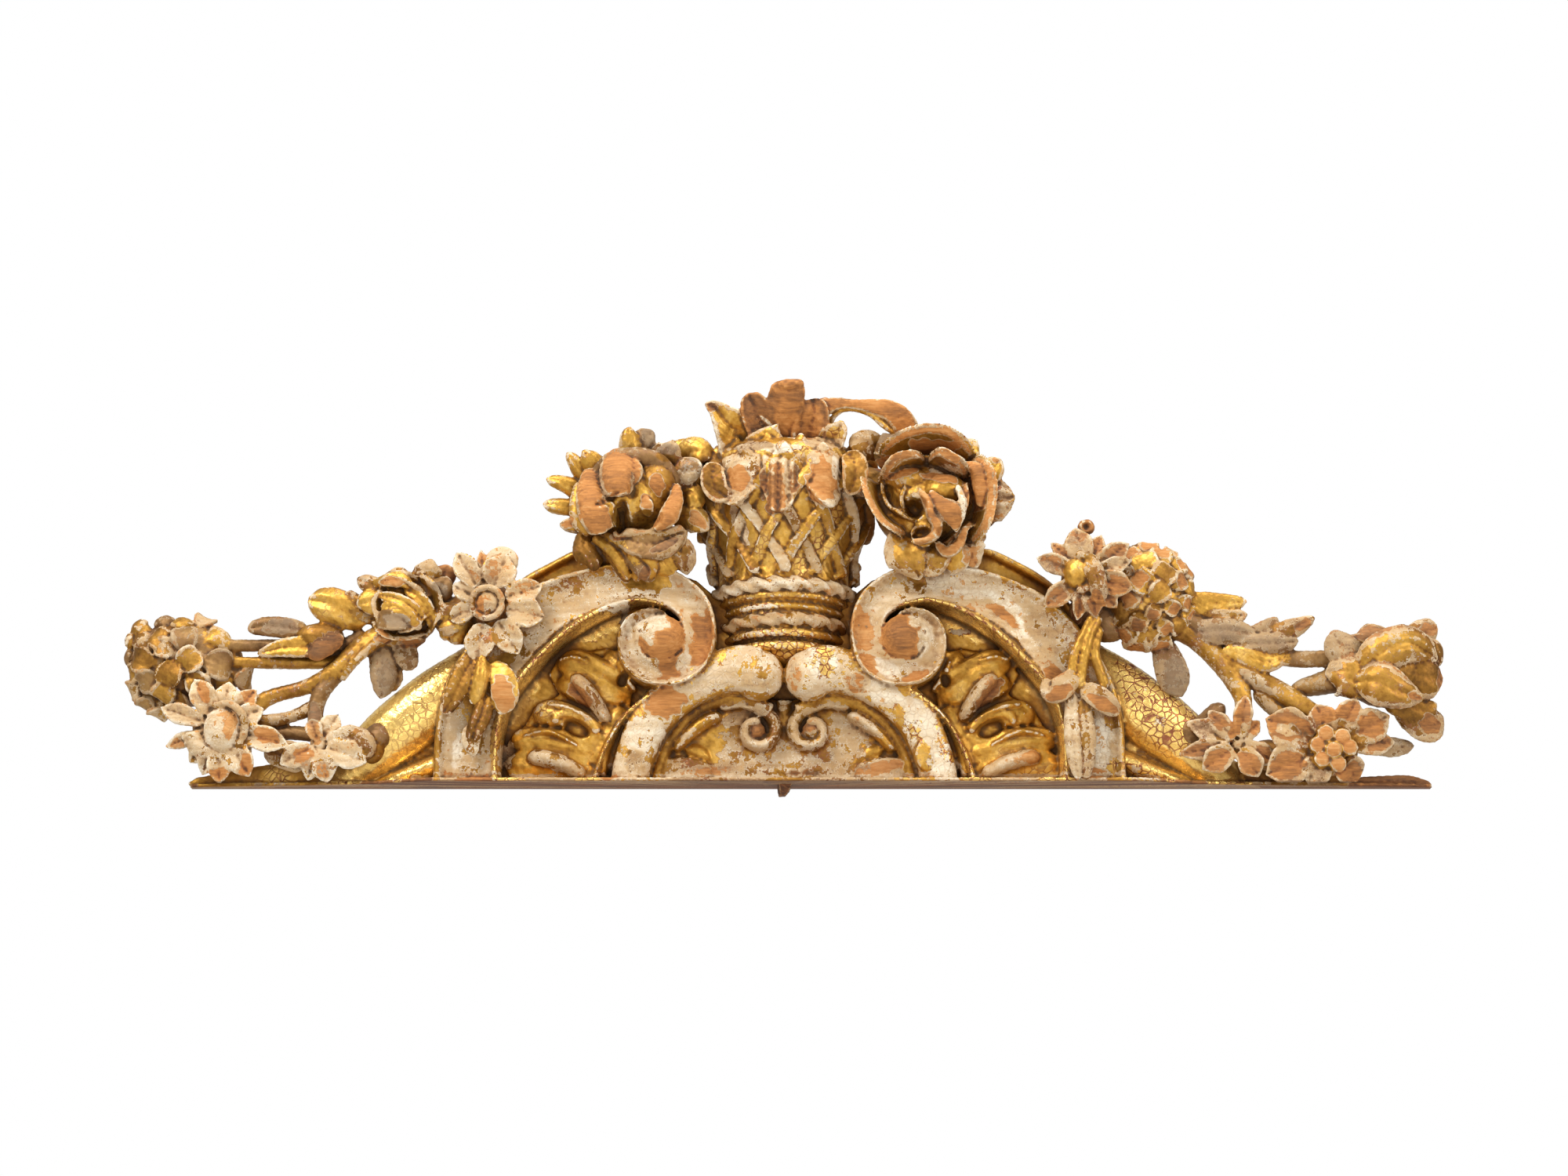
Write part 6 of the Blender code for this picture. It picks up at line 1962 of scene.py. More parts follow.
    def daisy(self) -> None:
        """The large daisy on the arch and the leaves that hang from it."""
        centre = (-335, 100, 200)
        flower = FlowerHead(centre=centre, heart=15, boss=17.5, boss_depth=11, wear=Wear.GESSO,
                            rim_worn=-0.08, veins=2, dished=0.22, rim=1.8, start=0.34, lift=4,
                            tips=[(-370, 92, 259, 14), (-343, 84, 262, 8), (-315, 94, 255, 20),
                                  (-273, 96, 221, 14), (-270, 96, 185, 17), (-299, 96, 143, 16),
                                  (-347, 98, 134, 17), (-374, 88, 222, 11), (-378, 84, 185, 12)])
        self.add(*flower.forms())
        self.add(
            Stem([(-339, 30, 209, 30), (-336, 88, 201, 26)], Wear.RUBBED),
            Knob((-319, 92, 250), (19, 7, 17), Wear.GESSO),
            Leaf([(-349, 96, 141, 10), (-361, 104, 119, 13), (-371, 104, 97, 12), (-383, 98, 76, 7)],
                 Wear.DARK_GOLD, 16, -0.2, veins=1, vein_depth=3, blunt=0.5),
            Leaf([(-340, 98, 137, 8), (-341, 106, 118, 9), (-345, 104, 101, 9), (-351, 98, 88, 5)],
                 Wear.GOLD, 16, -0.4),
            Leaf([(-326, 96, 134, 8), (-315, 106, 111, 15), (-314, 106, 92, 15), (-319, 98, 76, 7)],
                 Wear.GOLD, 12, 0, crease=0),
            Leaf([(-335, 96, 95, 9), (-340, 104, 75, 11), (-347, 104, 57, 10), (-352, 96, 42, 5)],
                 Wear.DARK_GOLD, 14, -0.2, veins=2, vein_depth=2),
            Leaf([(-349, 94, 63, 8), (-352, 98, 47, 11), (-349, 94, 28, 5)], Wear.GESSO, 10, 0, crease=0),
        )

    def stems(self) -> None:
        """The stems that tie the garland together, and their leaves."""
        gold, dark, worn = Wear.OLD_GOLD, Wear.GREY_GOLD, Wear.RUBBED
        stems = [
            (dark, [(-474, 44, 171, 10), (-510, 36, 159, 8), (-555, 34, 161, 7.5), (-644, 34, 161, 7)]),
            (gold, [(-474, 42, 158, 10), (-501, 38, 143, 8), (-537, 36, 141, 7), (-644, 34, 142, 7)]),
            (gold,
             [(-429, 44, 181, 16), (-459, 48, 170, 13), (-484, 50, 154, 12), (-511, 48, 129, 11),
              (-543, 42, 113, 9), (-585, 40, 101, 9), (-616, 44, 79, 12)]),
            (dark, [(-500, 44, 139, 11), (-525, 46, 108, 10), (-532, 50, 81, 9), (-528, 56, 50, 10)]),
            (worn, [(-531, 46, 90, 9), (-563, 42, 78, 7), (-599, 44, 72, 8)]),
            (dark, [(-600, 34, 57, 8), (-564, 34, 61, 8), (-528, 38, 57, 8)]),
            (gold, [(-358, 30, 192, 26), (-322, 40, 182, 26)]),
            (dark, [(-478, 44, 47, 14), (-446, 50, 60, 18)]),
            (gold, [(-446, 60, 169, 4), (-465, 62, 159, 5), (-488, 60, 138, 5), (-503, 54, 119, 4)]),
            (worn, [(-406, 50, 175, 16), (-446, 48, 170, 12), (-465, 44, 176, 8)]),
        ]
        for wear, knots in stems:
            self.add(Stem(knots, wear, 70, ribs=3, rib_depth=0.05, turns=0.7))
        self.add(
            Leaf([(-543, 44, 176, 9), (-566, 46, 180, 12), (-591, 44, 182, 11), (-611, 40, 179, 7)],
                 Wear.GREY_GOLD, 8, -0.2, crease=1.8),
            Leaf([(-518, 46, 158, 9), (-544, 52, 157, 12), (-571, 50, 156, 10), (-599, 42, 150, 4)],
                 cup=0.16, veins=2, rim_worn=0.2),
            Knob((-527, 48, 170), (27, 15, 15), Wear.DARK_GOLD),
            Leaf([(-501, 54, 169, 8), (-517, 60, 160, 12), (-531, 58, 151, 11), (-541, 52, 148, 7)],
                 Wear.BROWN_WOOD, 8, -0.2, crease=0),
            Leaf([(-474, 44, 187, 13), (-495, 54, 196, 20), (-517, 56, 205, 21), (-541, 50, 211, 15)],
                 thickness=12, veins=2, vein_depth=2, rim_worn=0.1),
            Leaf([(-461, 46, 190, 12), (-480, 54, 202, 15), (-491, 54, 210, 14), (-494, 50, 221, 7)],
                 Wear.RUBBED, 12, veins=1, vein_depth=2),
            Leaf([(-463, 42, 166, 10), (-457, 50, 143, 15), (-455, 52, 120, 15), (-458, 46, 99, 8)],
                 Wear.WEATHERED),
            Leaf([(-447, 40, 137, 7), (-441, 42, 123, 8), (-447, 40, 107, 4)], Wear.GREY_GOLD, 8, 0.16),
            Leaf([(-434, 46, 162, 13), (-428, 52, 145, 13), (-425, 48, 131, 8)], Wear.WEATHERED, 12, -0.1,
                 ruffle=1.5, blunt=0.3),
        )


@dataclass
class RightGarland(SubAssembly):
    """The garland on the right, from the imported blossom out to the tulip, and the leaves on the arch."""

    name: str = "right_garland"
    grain: float = 1.7
    faces: int = 190000

    def carve(self) -> None:
        """Add the flowers, stems and leaves of the garland."""
        self.daisy()
        self.blossom()
        self.low_flowers()
        self.tulip()
        self.stems()
        self.patches += [
            Patch(352, 200, 9, 13, 0.9, 6, grey=0), Patch(333, 194, 6, 12, 0.8, grey=0.1),
            Patch(375, 218, 13, 9, 0.8, -20, grey=0.1), Patch(301, 203, 14, 5, 0.66, 14, grey=0.3),
            Patch(296, 240, 11, 9, 0.56, grey=0.5), Patch(330, 276, 13, 10, 0.62, grey=0.4),
            Patch(511, 67, 7, 20, 0.86, -14, grey=0.05), Patch(491, 29, 15, 9, 0.84, 28, grey=0.05),
            Patch(523, 23, 9, 14, 0.84, 30, grey=0.05), Patch(534, 63, 6, 9, 0.8, grey=0.1),
            Patch(572, 62, 26, 14, 0.78, -8, grey=0.05), Patch(568, 59, 15, 8, 0.5, -6, grey=0.1),
            Patch(569, 19, 22, 12, 0.84, 18, grey=0), Patch(622, 80, 26, 9, 0.86, 8, grey=0),
            Patch(662, 64, 16, 14, 0.82, -30, grey=0.05), Patch(641, 9, 18, 9, 0.86, grey=0),
            Patch(733, 69, 13, 11, 0.84, -20, grey=0.2), Patch(638, 149, 10, 14, 0.6, grey=0.4),
            Patch(663, 173, 22, 9, 0.72, 6, grey=0.5), Patch(734, 178, 13, 9, 0.72, grey=0.4),
            Patch(745, 119, 5, 14, 0.78, grey=0.2), Patch(712, 97, 9, 5, 0.74, -20, grey=0.1),
            Patch(623, 134, 9, 7, 0.52), Patch(500, 173, 30, 10, 0.55, -4, grey=0.85),
            Patch(591, 183, 12, 5, 0.8, 25, grey=0.3), Patch(549, 162, 26, 7, 0.55, -4, grey=0.75),
            Patch(444, 122, 14, 26, 0.46, grey=1), Patch(535, 118, 22, 8, 0.5, -32, grey=0.5),
            Patch(309, 97, 16, 8, 0.84, 30, grey=0.05), Patch(358, 85, 20, 7, 0.82, -32, grey=0.05),
        ]

    def daisy(self) -> None:
        """The large daisy on the arch and the leaves that hang from it."""
        flower = FlowerHead(centre=(340, 100, 232), heart=16, wear=Wear.RUBBED, rim_worn=0.08, dished=0.2,
                            rim=1.4, lift=6, start=0.2, face_worn=0.3,
                            tips=[(286, 92, 253, 12), (303, 88, 270, 9), (330, 86, 288, 16),
                                  (359, 84, 279, 11), (390, 86, 270, 13), (392, 92, 250, 10),
                                  (393, 98, 217, 15), (375, 98, 196, 12), (352, 100, 185, 12),
                                  (331, 96, 182, 9), (294, 92, 198, 13)])
        ring = []
        x, z = 334, 234
        for angle in np.linspace(-1.9, 1.9, 20):
            ring.append((x + 15 * math.cos(angle), 112, z + 20 * math.sin(angle), 4.2))
        self.add(*flower.forms())
        self.add(
            Stem(ring, Wear.RUBBED, 50),
            Knob((331, 106, 234), (15, 12, 17)),
            Leaf([(341, 106, 255, 8), (349, 118, 237, 11), (355, 118, 216, 10), (354, 108, 200, 8)],
                 Wear.RUBBED),
            Knob((343, 76, 291), (10, 15, 9), Wear.BROWN_WOOD, dimple=12),
            Stem([(347, 30, 233, 32), (341, 88, 231, 26)], Wear.RUBBED),
            Stem([(349, 96, 187, 6), (340, 102, 169, 5.5), (327, 104, 140, 5), (324, 100, 109, 7)]),
            Stem([(356, 96, 187, 6), (345, 104, 165, 5.5), (338, 106, 136, 5), (333, 102, 103, 6)]),
            Stem([(356, 94, 175, 6), (350, 102, 146, 6), (356, 102, 123, 6), (363, 98, 104, 6)]),
            Leaf([(329, 100, 123, 7), (315, 108, 106, 14), (301, 106, 99, 12), (294, 98, 114, 5)],
                 Wear.RUBBED, 12, 0, crease=0),
            Leaf([(336, 100, 105, 9), (350, 108, 95, 13), (364, 108, 85, 12), (375, 100, 75, 7)],
                 Wear.RUBBED, 12, 0, crease=0),
            Leaf([(324, 98, 99, 7), (324, 104, 59, 9), (327, 102, 23, 8), (331, 96, 1, 4)], Wear.GESSO, 12,
                 veins=1),
            Leaf([(336, 98, 95, 7), (341, 104, 59, 9), (343, 102, 28, 7), (340, 96, 1, 4)], Wear.RUBBED, 12,
                 veins=1),
        )

    def blossom(self) -> None:
        """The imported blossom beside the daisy."""
        dome = ((417, 38, 216), (48, 40, 58))
        buds = packed_buds(*dome, 30, 12.5, 3.0)
        cluster = Cluster(centre=dome[0], radii=dome[1], buds=buds, face_worn=True)
        self.add(*cluster.forms())

    def low_flowers(self) -> None:
        """The star on the base and the berried flower near its end."""
        star = FlowerHead(centre=(514, 66, 44), heart=7, wear=Wear.RUBBED, dished=0.1, start=0.16,
                          rim_worn=0.06, face_worn=0.42,
                          tips=[(523, 66, 100, 11), (481, 58, 83, 11), (457, 54, 71, 12), (473, 68, 15, 16),
                                (536, 68, 7, 15), (538, 60, 71, 9), (448, 56, 34, 11), (554, 60, 26, 14)])
        flower = FlowerHead(centre=(620, 66, 41), heart=24, wear=Wear.RUBBED, dished=0.12, rim_worn=0.06,
                            start=0.3, lift=6, face_worn=0.38,
                            tips=[(544, 72, 73, 24), (544, 72, 9, 24), (591, 68, 0, 18), (648, 62, 3, 18),
                                  (691, 64, 47, 14), (685, 68, 77, 20), (648, 68, 96, 15),
                                  (602, 68, 89, 16)])
        self.add(*star.forms(), *flower.forms())
        for x, depth, z in (
            (611, 80, 55), (630, 80, 51), (602, 80, 42), (620, 84, 36), (625, 80, 21), (607, 80, 26),
            (638, 80, 39),
        ):
            self.add(Knob((x, depth, z), (10.2, 9, 10.2), face_worn=0.75, dimple=2, dimple_width=0.7))

    def tulip(self) -> None:
        """The tulip at the far end and the leaves behind it."""
        self.add(
            Knob((684, 46, 126), (48, 32, 38), Wear.DARK_GOLD),
            Leaf([(655, 66, 118, 14), (673, 82, 146, 22), (707, 80, 157, 22), (743, 60, 142, 10)],
                 Wear.OLD_GOLD, veins=3, vein_depth=1.6, rim_worn=0.2),
            Leaf([(647, 72, 114, 18), (670, 90, 112, 26), (697, 88, 101, 20), (722, 76, 95, 8)],
                 Wear.OLD_GOLD, 9, -0.34, veins=2, vein_depth=1.2, rim_worn=0.3),
            Leaf([(699, 58, 121, 16), (717, 66, 122, 24), (735, 64, 120, 24), (752, 54, 119, 14)],
                 Wear.DARK_GOLD, 9, -0.2, rim_worn=0.3),
            Leaf([(701, 56, 146, 10), (718, 64, 150, 14), (738, 60, 149, 16), (751, 52, 138, 10)],
                 Wear.DARK_GOLD, 9, -0.2, rim_worn=0.2),
            Leaf([(657, 64, 99, 16), (642, 74, 119, 26), (630, 70, 126, 26), (615, 60, 126, 14)],
                 Wear.OLD_GOLD, rim_worn=0.15),
            Leaf([(660, 54, 136, 14), (637, 66, 150, 19), (629, 64, 161, 18), (624, 58, 174, 10)],
                 Wear.WEATHERED, 10, -0.2, crease=2.5),
            Leaf([(669, 50, 145, 18), (665, 58, 164, 26), (665, 56, 173, 26), (662, 50, 182, 16)],
                 Wear.RUBBED),
            Leaf([(697, 44, 155, 12), (700, 50, 170, 12), (706, 46, 183, 7)], Wear.RUBBED, 9, -0.2),
            Leaf([(708, 44, 151, 14), (720, 48, 168, 17), (734, 46, 176, 16), (747, 40, 180, 11)],
                 Wear.RUBBED, 10, -0.2),
            Leaf([(681, 56, 101, 14), (702, 60, 92, 17), (724, 56, 84, 15), (743, 50, 91, 8)],
                 Wear.DARK_GOLD, 9, -0.2),
            Leaf([(696, 48, 92, 10), (714, 54, 75, 17), (733, 52, 68, 20), (754, 44, 76, 15)], Wear.RUBBED,
                 10, -0.1, ruffle=1.4),
        )

    def stems(self) -> None:
        """The stems that tie the garland together, and their leaves."""
        gold, dark, worn = Wear.OLD_GOLD, Wear.GREY_GOLD, Wear.RUBBED
        stems = [
            (dark,
             [(429, 48, 199, 18), (473, 46, 181, 12), (536, 44, 155, 11), (581, 44, 144, 10),
              (643, 42, 146, 9)]),
            (gold,
             [(434, 46, 185, 14), (464, 46, 170, 12), (491, 48, 147, 13), (511, 50, 120, 13),
              (521, 54, 91, 10), (517, 58, 50, 8)]),
            (gold, [(495, 46, 140, 10), (532, 50, 122, 12), (568, 50, 102, 12), (607, 52, 75, 12)]),
            (worn, [(536, 46, 110, 9), (557, 46, 88, 10), (586, 48, 68, 9)]),
            (dark, [(577, 42, 110, 8), (608, 44, 115, 13), (643, 46, 122, 17)]),
            (gold, [(384, 40, 218, 30), (429, 44, 208, 28)]),
            (dark, [(340, 30, 219, 30), (358, 40, 191, 26), (393, 44, 181, 22)]),
            (dark, [(500, 46, 92, 10), (473, 46, 65, 14), (447, 44, 56, 16)]),
            (worn, [(527, 46, 38, 16), (572, 46, 29, 20)]),
        ]
        for wear, knots in stems:
            self.add(Stem(knots, wear, 70, ribs=3, rib_depth=0.07, turns=0.8))
        self.add(
            Leaf([(430, 46, 167, 12), (437, 54, 141, 18), (444, 54, 118, 18), (451, 48, 101, 9)],
                 Wear.WEATHERED, 9, -0.25),
            Leaf([(461, 50, 174, 12), (485, 58, 174, 15), (510, 56, 175, 14), (534, 50, 172, 8)],
                 Wear.WEATHERED, 12, -0.2, veins=1),
            Leaf([(527, 46, 170, 9), (541, 50, 174, 11), (552, 48, 181, 10), (561, 42, 191, 5)],
                 Wear.WEATHERED, 9, -0.2),
            Leaf([(547, 46, 169, 9), (566, 50, 174, 12), (584, 48, 181, 11), (604, 42, 192, 4)],
                 Wear.RUBBED, 9, -0.2),
            Leaf([(510, 52, 161, 8), (538, 58, 160, 12), (565, 56, 161, 12), (584, 48, 164, 6)],
                 Wear.WEATHERED, 10, veins=2),
            Leaf([(500, 52, 154, 7), (526, 58, 146, 10), (549, 56, 139, 11), (573, 48, 147, 7)], Wear.GOLD,
                 10, -0.2, rim_worn=0.2),
            Leaf([(429, 46, 181, 10), (455, 50, 202, 14), (482, 50, 207, 14), (527, 44, 210, 6)], Wear.GOLD,
                 10, -0.2),
            Leaf([(473, 46, 190, 10), (500, 50, 190, 10), (527, 46, 195, 5)], Wear.RUBBED, 9, 0.16),
            Leaf([(661, 46, 52, 12), (681, 46, 45, 12), (697, 42, 44, 11), (715, 36, 46, 6)],
                 Wear.WEATHERED, 9, -0.2),
        )


@dataclass(frozen=True)
class WornGilding:
    """Gold leaf over red clay and white gesso on wood, worn through by the paint of each point.

    Each ramp gives colours from the darkest to the brightest, by (brightness, colour).
    """

    gold: tuple = (
        (0.0, (0.10, 0.042, 0.009)), (0.30, (0.29, 0.135, 0.020)), (0.60, (0.58, 0.315, 0.050)),
        (1.0, (0.90, 0.62, 0.19)),
    )
    gesso: tuple = (
        (0.0, (0.16, 0.078, 0.030)), (0.30, (0.36, 0.215, 0.105)), (0.60, (0.60, 0.45, 0.27)),
        (1.0, (0.82, 0.74, 0.59)),
    )
    wood: tuple = (
        (0.0, (0.10, 0.038, 0.010)), (0.30, (0.26, 0.100, 0.022)), (0.58, (0.47, 0.190, 0.042)),
        (1.0, (0.64, 0.35, 0.13)),
    )
    gloss: tuple = ((0.2, (0.55, 0.55, 0.55)), (0.7, (0.40, 0.40, 0.40)), (1.0, (0.25, 0.25, 0.25)))
    clay: tuple[float, float, float] = (0.22, 0.045, 0.030)
    patina: tuple[float, float, float] = (0.215, 0.145, 0.085)
    # brown for stains in the gesso cracks, and for the painted shade multiplied in where the grime channel
    # is high
    stain_and_shade: tuple[float, float, float] = (0.50, 0.33, 0.19)
    haze: tuple[float, float, float] = (0.50, 0.29, 0.095)
    # near black brown for dirt together with painted shade in hollows, creases and under the ledge
    grime_and_shade: tuple[float, float, float] = (0.045, 0.024, 0.010)
    bare_rough: tuple[float, float, float] = (0.74, 0.74, 0.74)
    dirt_rough: tuple[float, float, float] = (0.80, 0.80, 0.80)
    bump_strength: float = 0.8
    bump_height: float = 0.0012

    def material(self) -> bpy.types.Material:
        """Lay the finish up from the wood to the dirt and painted shade on it.

        Returns:
            The material.
        """
        made = bpy.data.materials.new("worn gilding")
        made.use_nodes = True
        nodes = Nodes(made.node_tree)
        shader = made.node_tree.nodes["Principled BSDF"].inputs
        place = nodes.add("ShaderNodeTexCoord", out="Object")
        paint = nodes.add("ShaderNodeAttribute", out="Color", attribute_name=PAINT)
        grey = paint.node.outputs["Alpha"]
        wear, bright, grime_and_shade = nodes.add("ShaderNodeSeparateColor", {0: paint}).node.outputs

        broad = nodes.noise(place, 16, 5, 0.6)
        flecks = nodes.noise(place, 75, 7, 0.66)
        fine = nodes.noise(place, 360, 5, 0.65)
        worn = nodes.blend(wear, [(broad, 0.42), (flecks, 0.66), (fine, 0.28)])
        bare = nodes.step(worn, 0.452, 0.472)
        wooden = nodes.step(worn, 0.622, 0.650)
        stretched = nodes.add("ShaderNodeMapping", {"Vector": place, "Scale": (0.10, 1.0, 1.0)})
        grain = nodes.noise(stretched, 420, 6, 0.6)
        streaks = nodes.noise(stretched, 110, 3, 0.5)
        crack = nodes.inverted(nodes.step(nodes.cells(nodes.bent(place, 0.006), 120), 0.02, 0.13))
        crack_here = nodes.step(nodes.blend(bright, [(broad, 0.9), (flecks, 0.3)]), 0.62, 0.86)
        crack = nodes.times(nodes.times(crack, crack_here), nodes.step(wear, 0.02, 0.26))

        leaf = nodes.ramp(nodes.blend(bright, [(broad, 1.2), (flecks, 1.0), (fine, 0.2)]), self.gold)
        rubbed = nodes.step(nodes.blend(wear, [(flecks, 0.9), (fine, 0.5)]), 0.38, 0.56)
        leaf = nodes.mix(nodes.times(rubbed, 0.7), leaf, self.clay)
        leaf = nodes.mix(nodes.times(crack, 0.9), leaf, self.clay)
        fresh = nodes.inverted(nodes.step(worn, 0.468, 0.505))
        chalk = nodes.blend(bright, [(broad, 1.5), (flecks, 1.8), (fine, 1.1), (streaks, 1.3)])
        chalk = nodes.plus(nodes.times(chalk, 0.90), 0.03)
        chalk = nodes.ramp(nodes.plus(chalk, nodes.times(fresh, 0.5)), self.gesso)
        clouds = nodes.step(nodes.blend(0.5, [(broad, 1.3), (flecks, 1.5), (fine, 0.7)]), 0.36, 0.70)
        haze = nodes.times(clouds, nodes.inverted(nodes.step(bright, 0.62, 1.0)))
        chalk = nodes.mix(nodes.times(haze, 0.62), chalk, self.haze)
        chalk = nodes.mix(nodes.times(crack, 0.25), chalk, self.stain_and_shade)
        timber = nodes.blend(bright, [(grain, 0.8), (streaks, 0.7), (broad, 0.4), (flecks, 0.3)])
        colour = nodes.mix(bare, leaf, nodes.mix(wooden, chalk, nodes.ramp(timber, self.wood)))

        patina_here = nodes.step(nodes.blend(grey, [(flecks, 1.2), (broad, 0.9)]), 0.0, 0.8)
        patina_here = nodes.times(grey, patina_here)
        colour = nodes.mix(nodes.times(patina_here, 0.78), colour, self.patina)
        # Darken by the grime channel, first by the stain colour and then towards near black: dirt together
        # with painted shade.
        soiled_and_shaded = nodes.step(nodes.blend(grime_and_shade, [(flecks, 0.5), (fine, 0.3)]), 0.02, 0.42)
        stained_and_shaded = nodes.mix(1.0, colour, self.stain_and_shade, "MULTIPLY")
        colour = nodes.mix(nodes.times(soiled_and_shaded, 0.75), colour, stained_and_shaded)
        dirt_and_shade = nodes.step(nodes.blend(grime_and_shade, [(flecks, 0.5), (fine, 0.25)]), 0.20, 0.85)
        nodes.join(nodes.mix(nodes.times(dirt_and_shade, 0.8), colour, self.grime_and_shade), shader["Base Color"])

        metal = nodes.times(nodes.inverted(bare), nodes.inverted(nodes.times(dirt_and_shade, 0.85)))
        metal = nodes.times(metal, nodes.inverted(nodes.times(patina_here, 0.7)))
        metal = nodes.times(metal, nodes.inverted(nodes.times(rubbed, 0.6)))
        nodes.join(nodes.times(metal, 0.74), shader["Metallic"])
        shine = nodes.ramp(nodes.blend(bright, [(flecks, 0.6)]), self.gloss)
        rough = nodes.mix(bare, shine, self.bare_rough)
        nodes.join(nodes.mix(dirt_and_shade, rough, self.dirt_rough), shader["Roughness"])

        height = nodes.blend(nodes.times(nodes.inverted(bare), 0.5), [(flecks, 0.8), (broad, 0.8)])
        height = nodes.plus(height, nodes.times(nodes.times(fine, 0.35), bare))
        height = nodes.plus(height, nodes.times(nodes.inverted(wooden), 0.45))
        height = nodes.plus(height, nodes.times(crack, -0.35))
        height = nodes.plus(height, nodes.times(nodes.times(grain, wooden), 0.45))
        bump = {"Strength": self.bump_strength, "Distance": self.bump_height, "Height": height}
        nodes.join(nodes.add("ShaderNodeBump", bump), shader["Normal"])
        return made


class Nodes:
    """Short hands for wiring shader nodes."""

    def __init__(self, tree: bpy.types.NodeTree) -> None:
        """Work in a node tree."""
        self.tree = tree

    def add(self, kind: str, feeds: dict | None = None, out: int | str = 0,
            **settings: object) -> bpy.types.NodeSocket | None:
        """Add a node, set it up and feed its inputs.

        Args:
            kind: the kind of node.
            feeds: a socket, number or colour for each input, by its name or place.
            out: the output to give.
            settings: the node's own settings by name.

        Returns:
            One output of the node, or None where it has none.
        """
        node = self.tree.nodes.new(kind)
        for name, value in settings.items():
            setattr(node, name, value)
        for name, value in (feeds or {}).items():
            self.join(value, node.inputs[name])
        return node.outputs[out] if node.outputs else None

    def join(self, value: object, socket: bpy.types.NodeSocket) -> None:
        """Link a socket, or set a number, a colour or a place on it.

        Args:
            value: the socket to link, or what to set.
            socket: the input.
        """
        if isinstance(value, bpy.types.NodeSocket):
            self.tree.links.new(value, socket)
        elif isinstance(value, tuple):
            socket.default_value = (*value, 1.0)[:len(socket.default_value)]
        else:
            socket.default_value = value

    def noise(self, place: bpy.types.NodeSocket, scale: float, detail: float,
              rough: float) -> bpy.types.NodeSocket:
        """A cloudy field from 0 to 1."""
        feeds = {"Vector": place, "Scale": scale, "Detail": detail, "Roughness": rough}
        return self.add("ShaderNodeTexNoise", feeds)

    def bent(self, place: bpy.types.NodeSocket, reach: float) -> bpy.types.NodeSocket:
        """Push places about by noise, so that lines laid out by them wander.

        Args:
            place: the places.
            reach: how far they are pushed.

        Returns:
            The pushed places.
        """
        push = self.add("ShaderNodeTexNoise", {"Vector": place, "Scale": 60.0}, out=1)
        feeds = {0: push, 1: (reach, reach, reach), 2: place}
        return self.add("ShaderNodeVectorMath", feeds, operation="MULTIPLY_ADD")

    def cells(self, place: bpy.types.NodeSocket, scale: float) -> bpy.types.NodeSocket:
        """The distance to the nearest wall in a field of cells."""
        feeds = {"Vector": place, "Scale": scale}
        return self.add("ShaderNodeTexVoronoi", feeds, out="Distance", feature="DISTANCE_TO_EDGE")

    def times(self, first: object, second: object) -> bpy.types.NodeSocket:
        """The product of two values."""
        return self.add("ShaderNodeMath", {0: first, 1: second}, operation="MULTIPLY")

    def plus(self, first: object, second: object) -> bpy.types.NodeSocket:
        """The sum of two values."""
        return self.add("ShaderNodeMath", {0: first, 1: second}, operation="ADD")

    def inverted(self, value: object) -> bpy.types.NodeSocket:
        """One less the value."""
        return self.add("ShaderNodeMath", {0: 1.0, 1: value}, operation="SUBTRACT")

    def blend(self, base: object, fields: list) -> bpy.types.NodeSocket:
        """Add fields to a base, each about its middle.

        Args:
            base: the value to start from.
            fields: (field, strength) pairs.

        Returns:
            The sum.
        """
        for value, strength in fields:
            feeds = {0: value, 1: strength, 2: -0.5 * strength}
            base = self.plus(base, self.add("ShaderNodeMath", feeds, operation="MULTIPLY_ADD"))
        return base

    def step(self, value: object, low: float, high: float) -> bpy.types.NodeSocket:
        """A soft step from 0 at low to 1 at high."""
        feeds = {"Value": value, "From Min": low, "From Max": high}
        return self.add("ShaderNodeMapRange", feeds, interpolation_type="SMOOTHSTEP")

    def mix(self, share: object, first: object, second: object, kind: str = "MIX") -> bpy.types.NodeSocket:
        """Two colours put together by a share, in the way that kind says."""
        feeds = {"Factor": share, 6: first, 7: second}
        return self.add("ShaderNodeMix", feeds, out=2, data_type="RGBA", blend_type=kind)

    def ramp(self, value: object, stops: tuple) -> bpy.types.NodeSocket:
        """Give each value a colour.

        Args:
            value: the value.
            stops: (place, colour) pairs, two or more.

        Returns:
            The colour.
        """
        colour = self.add("ShaderNodeValToRGB", {0: value})
        bar = colour.node.color_ramp
        while len(bar.elements) < len(stops):
            bar.elements.new(0.5)
        for element, (place, stop) in zip(bar.elements, stops):
            element.position = place
            element.color = (*stop, 1.0)
        return colour


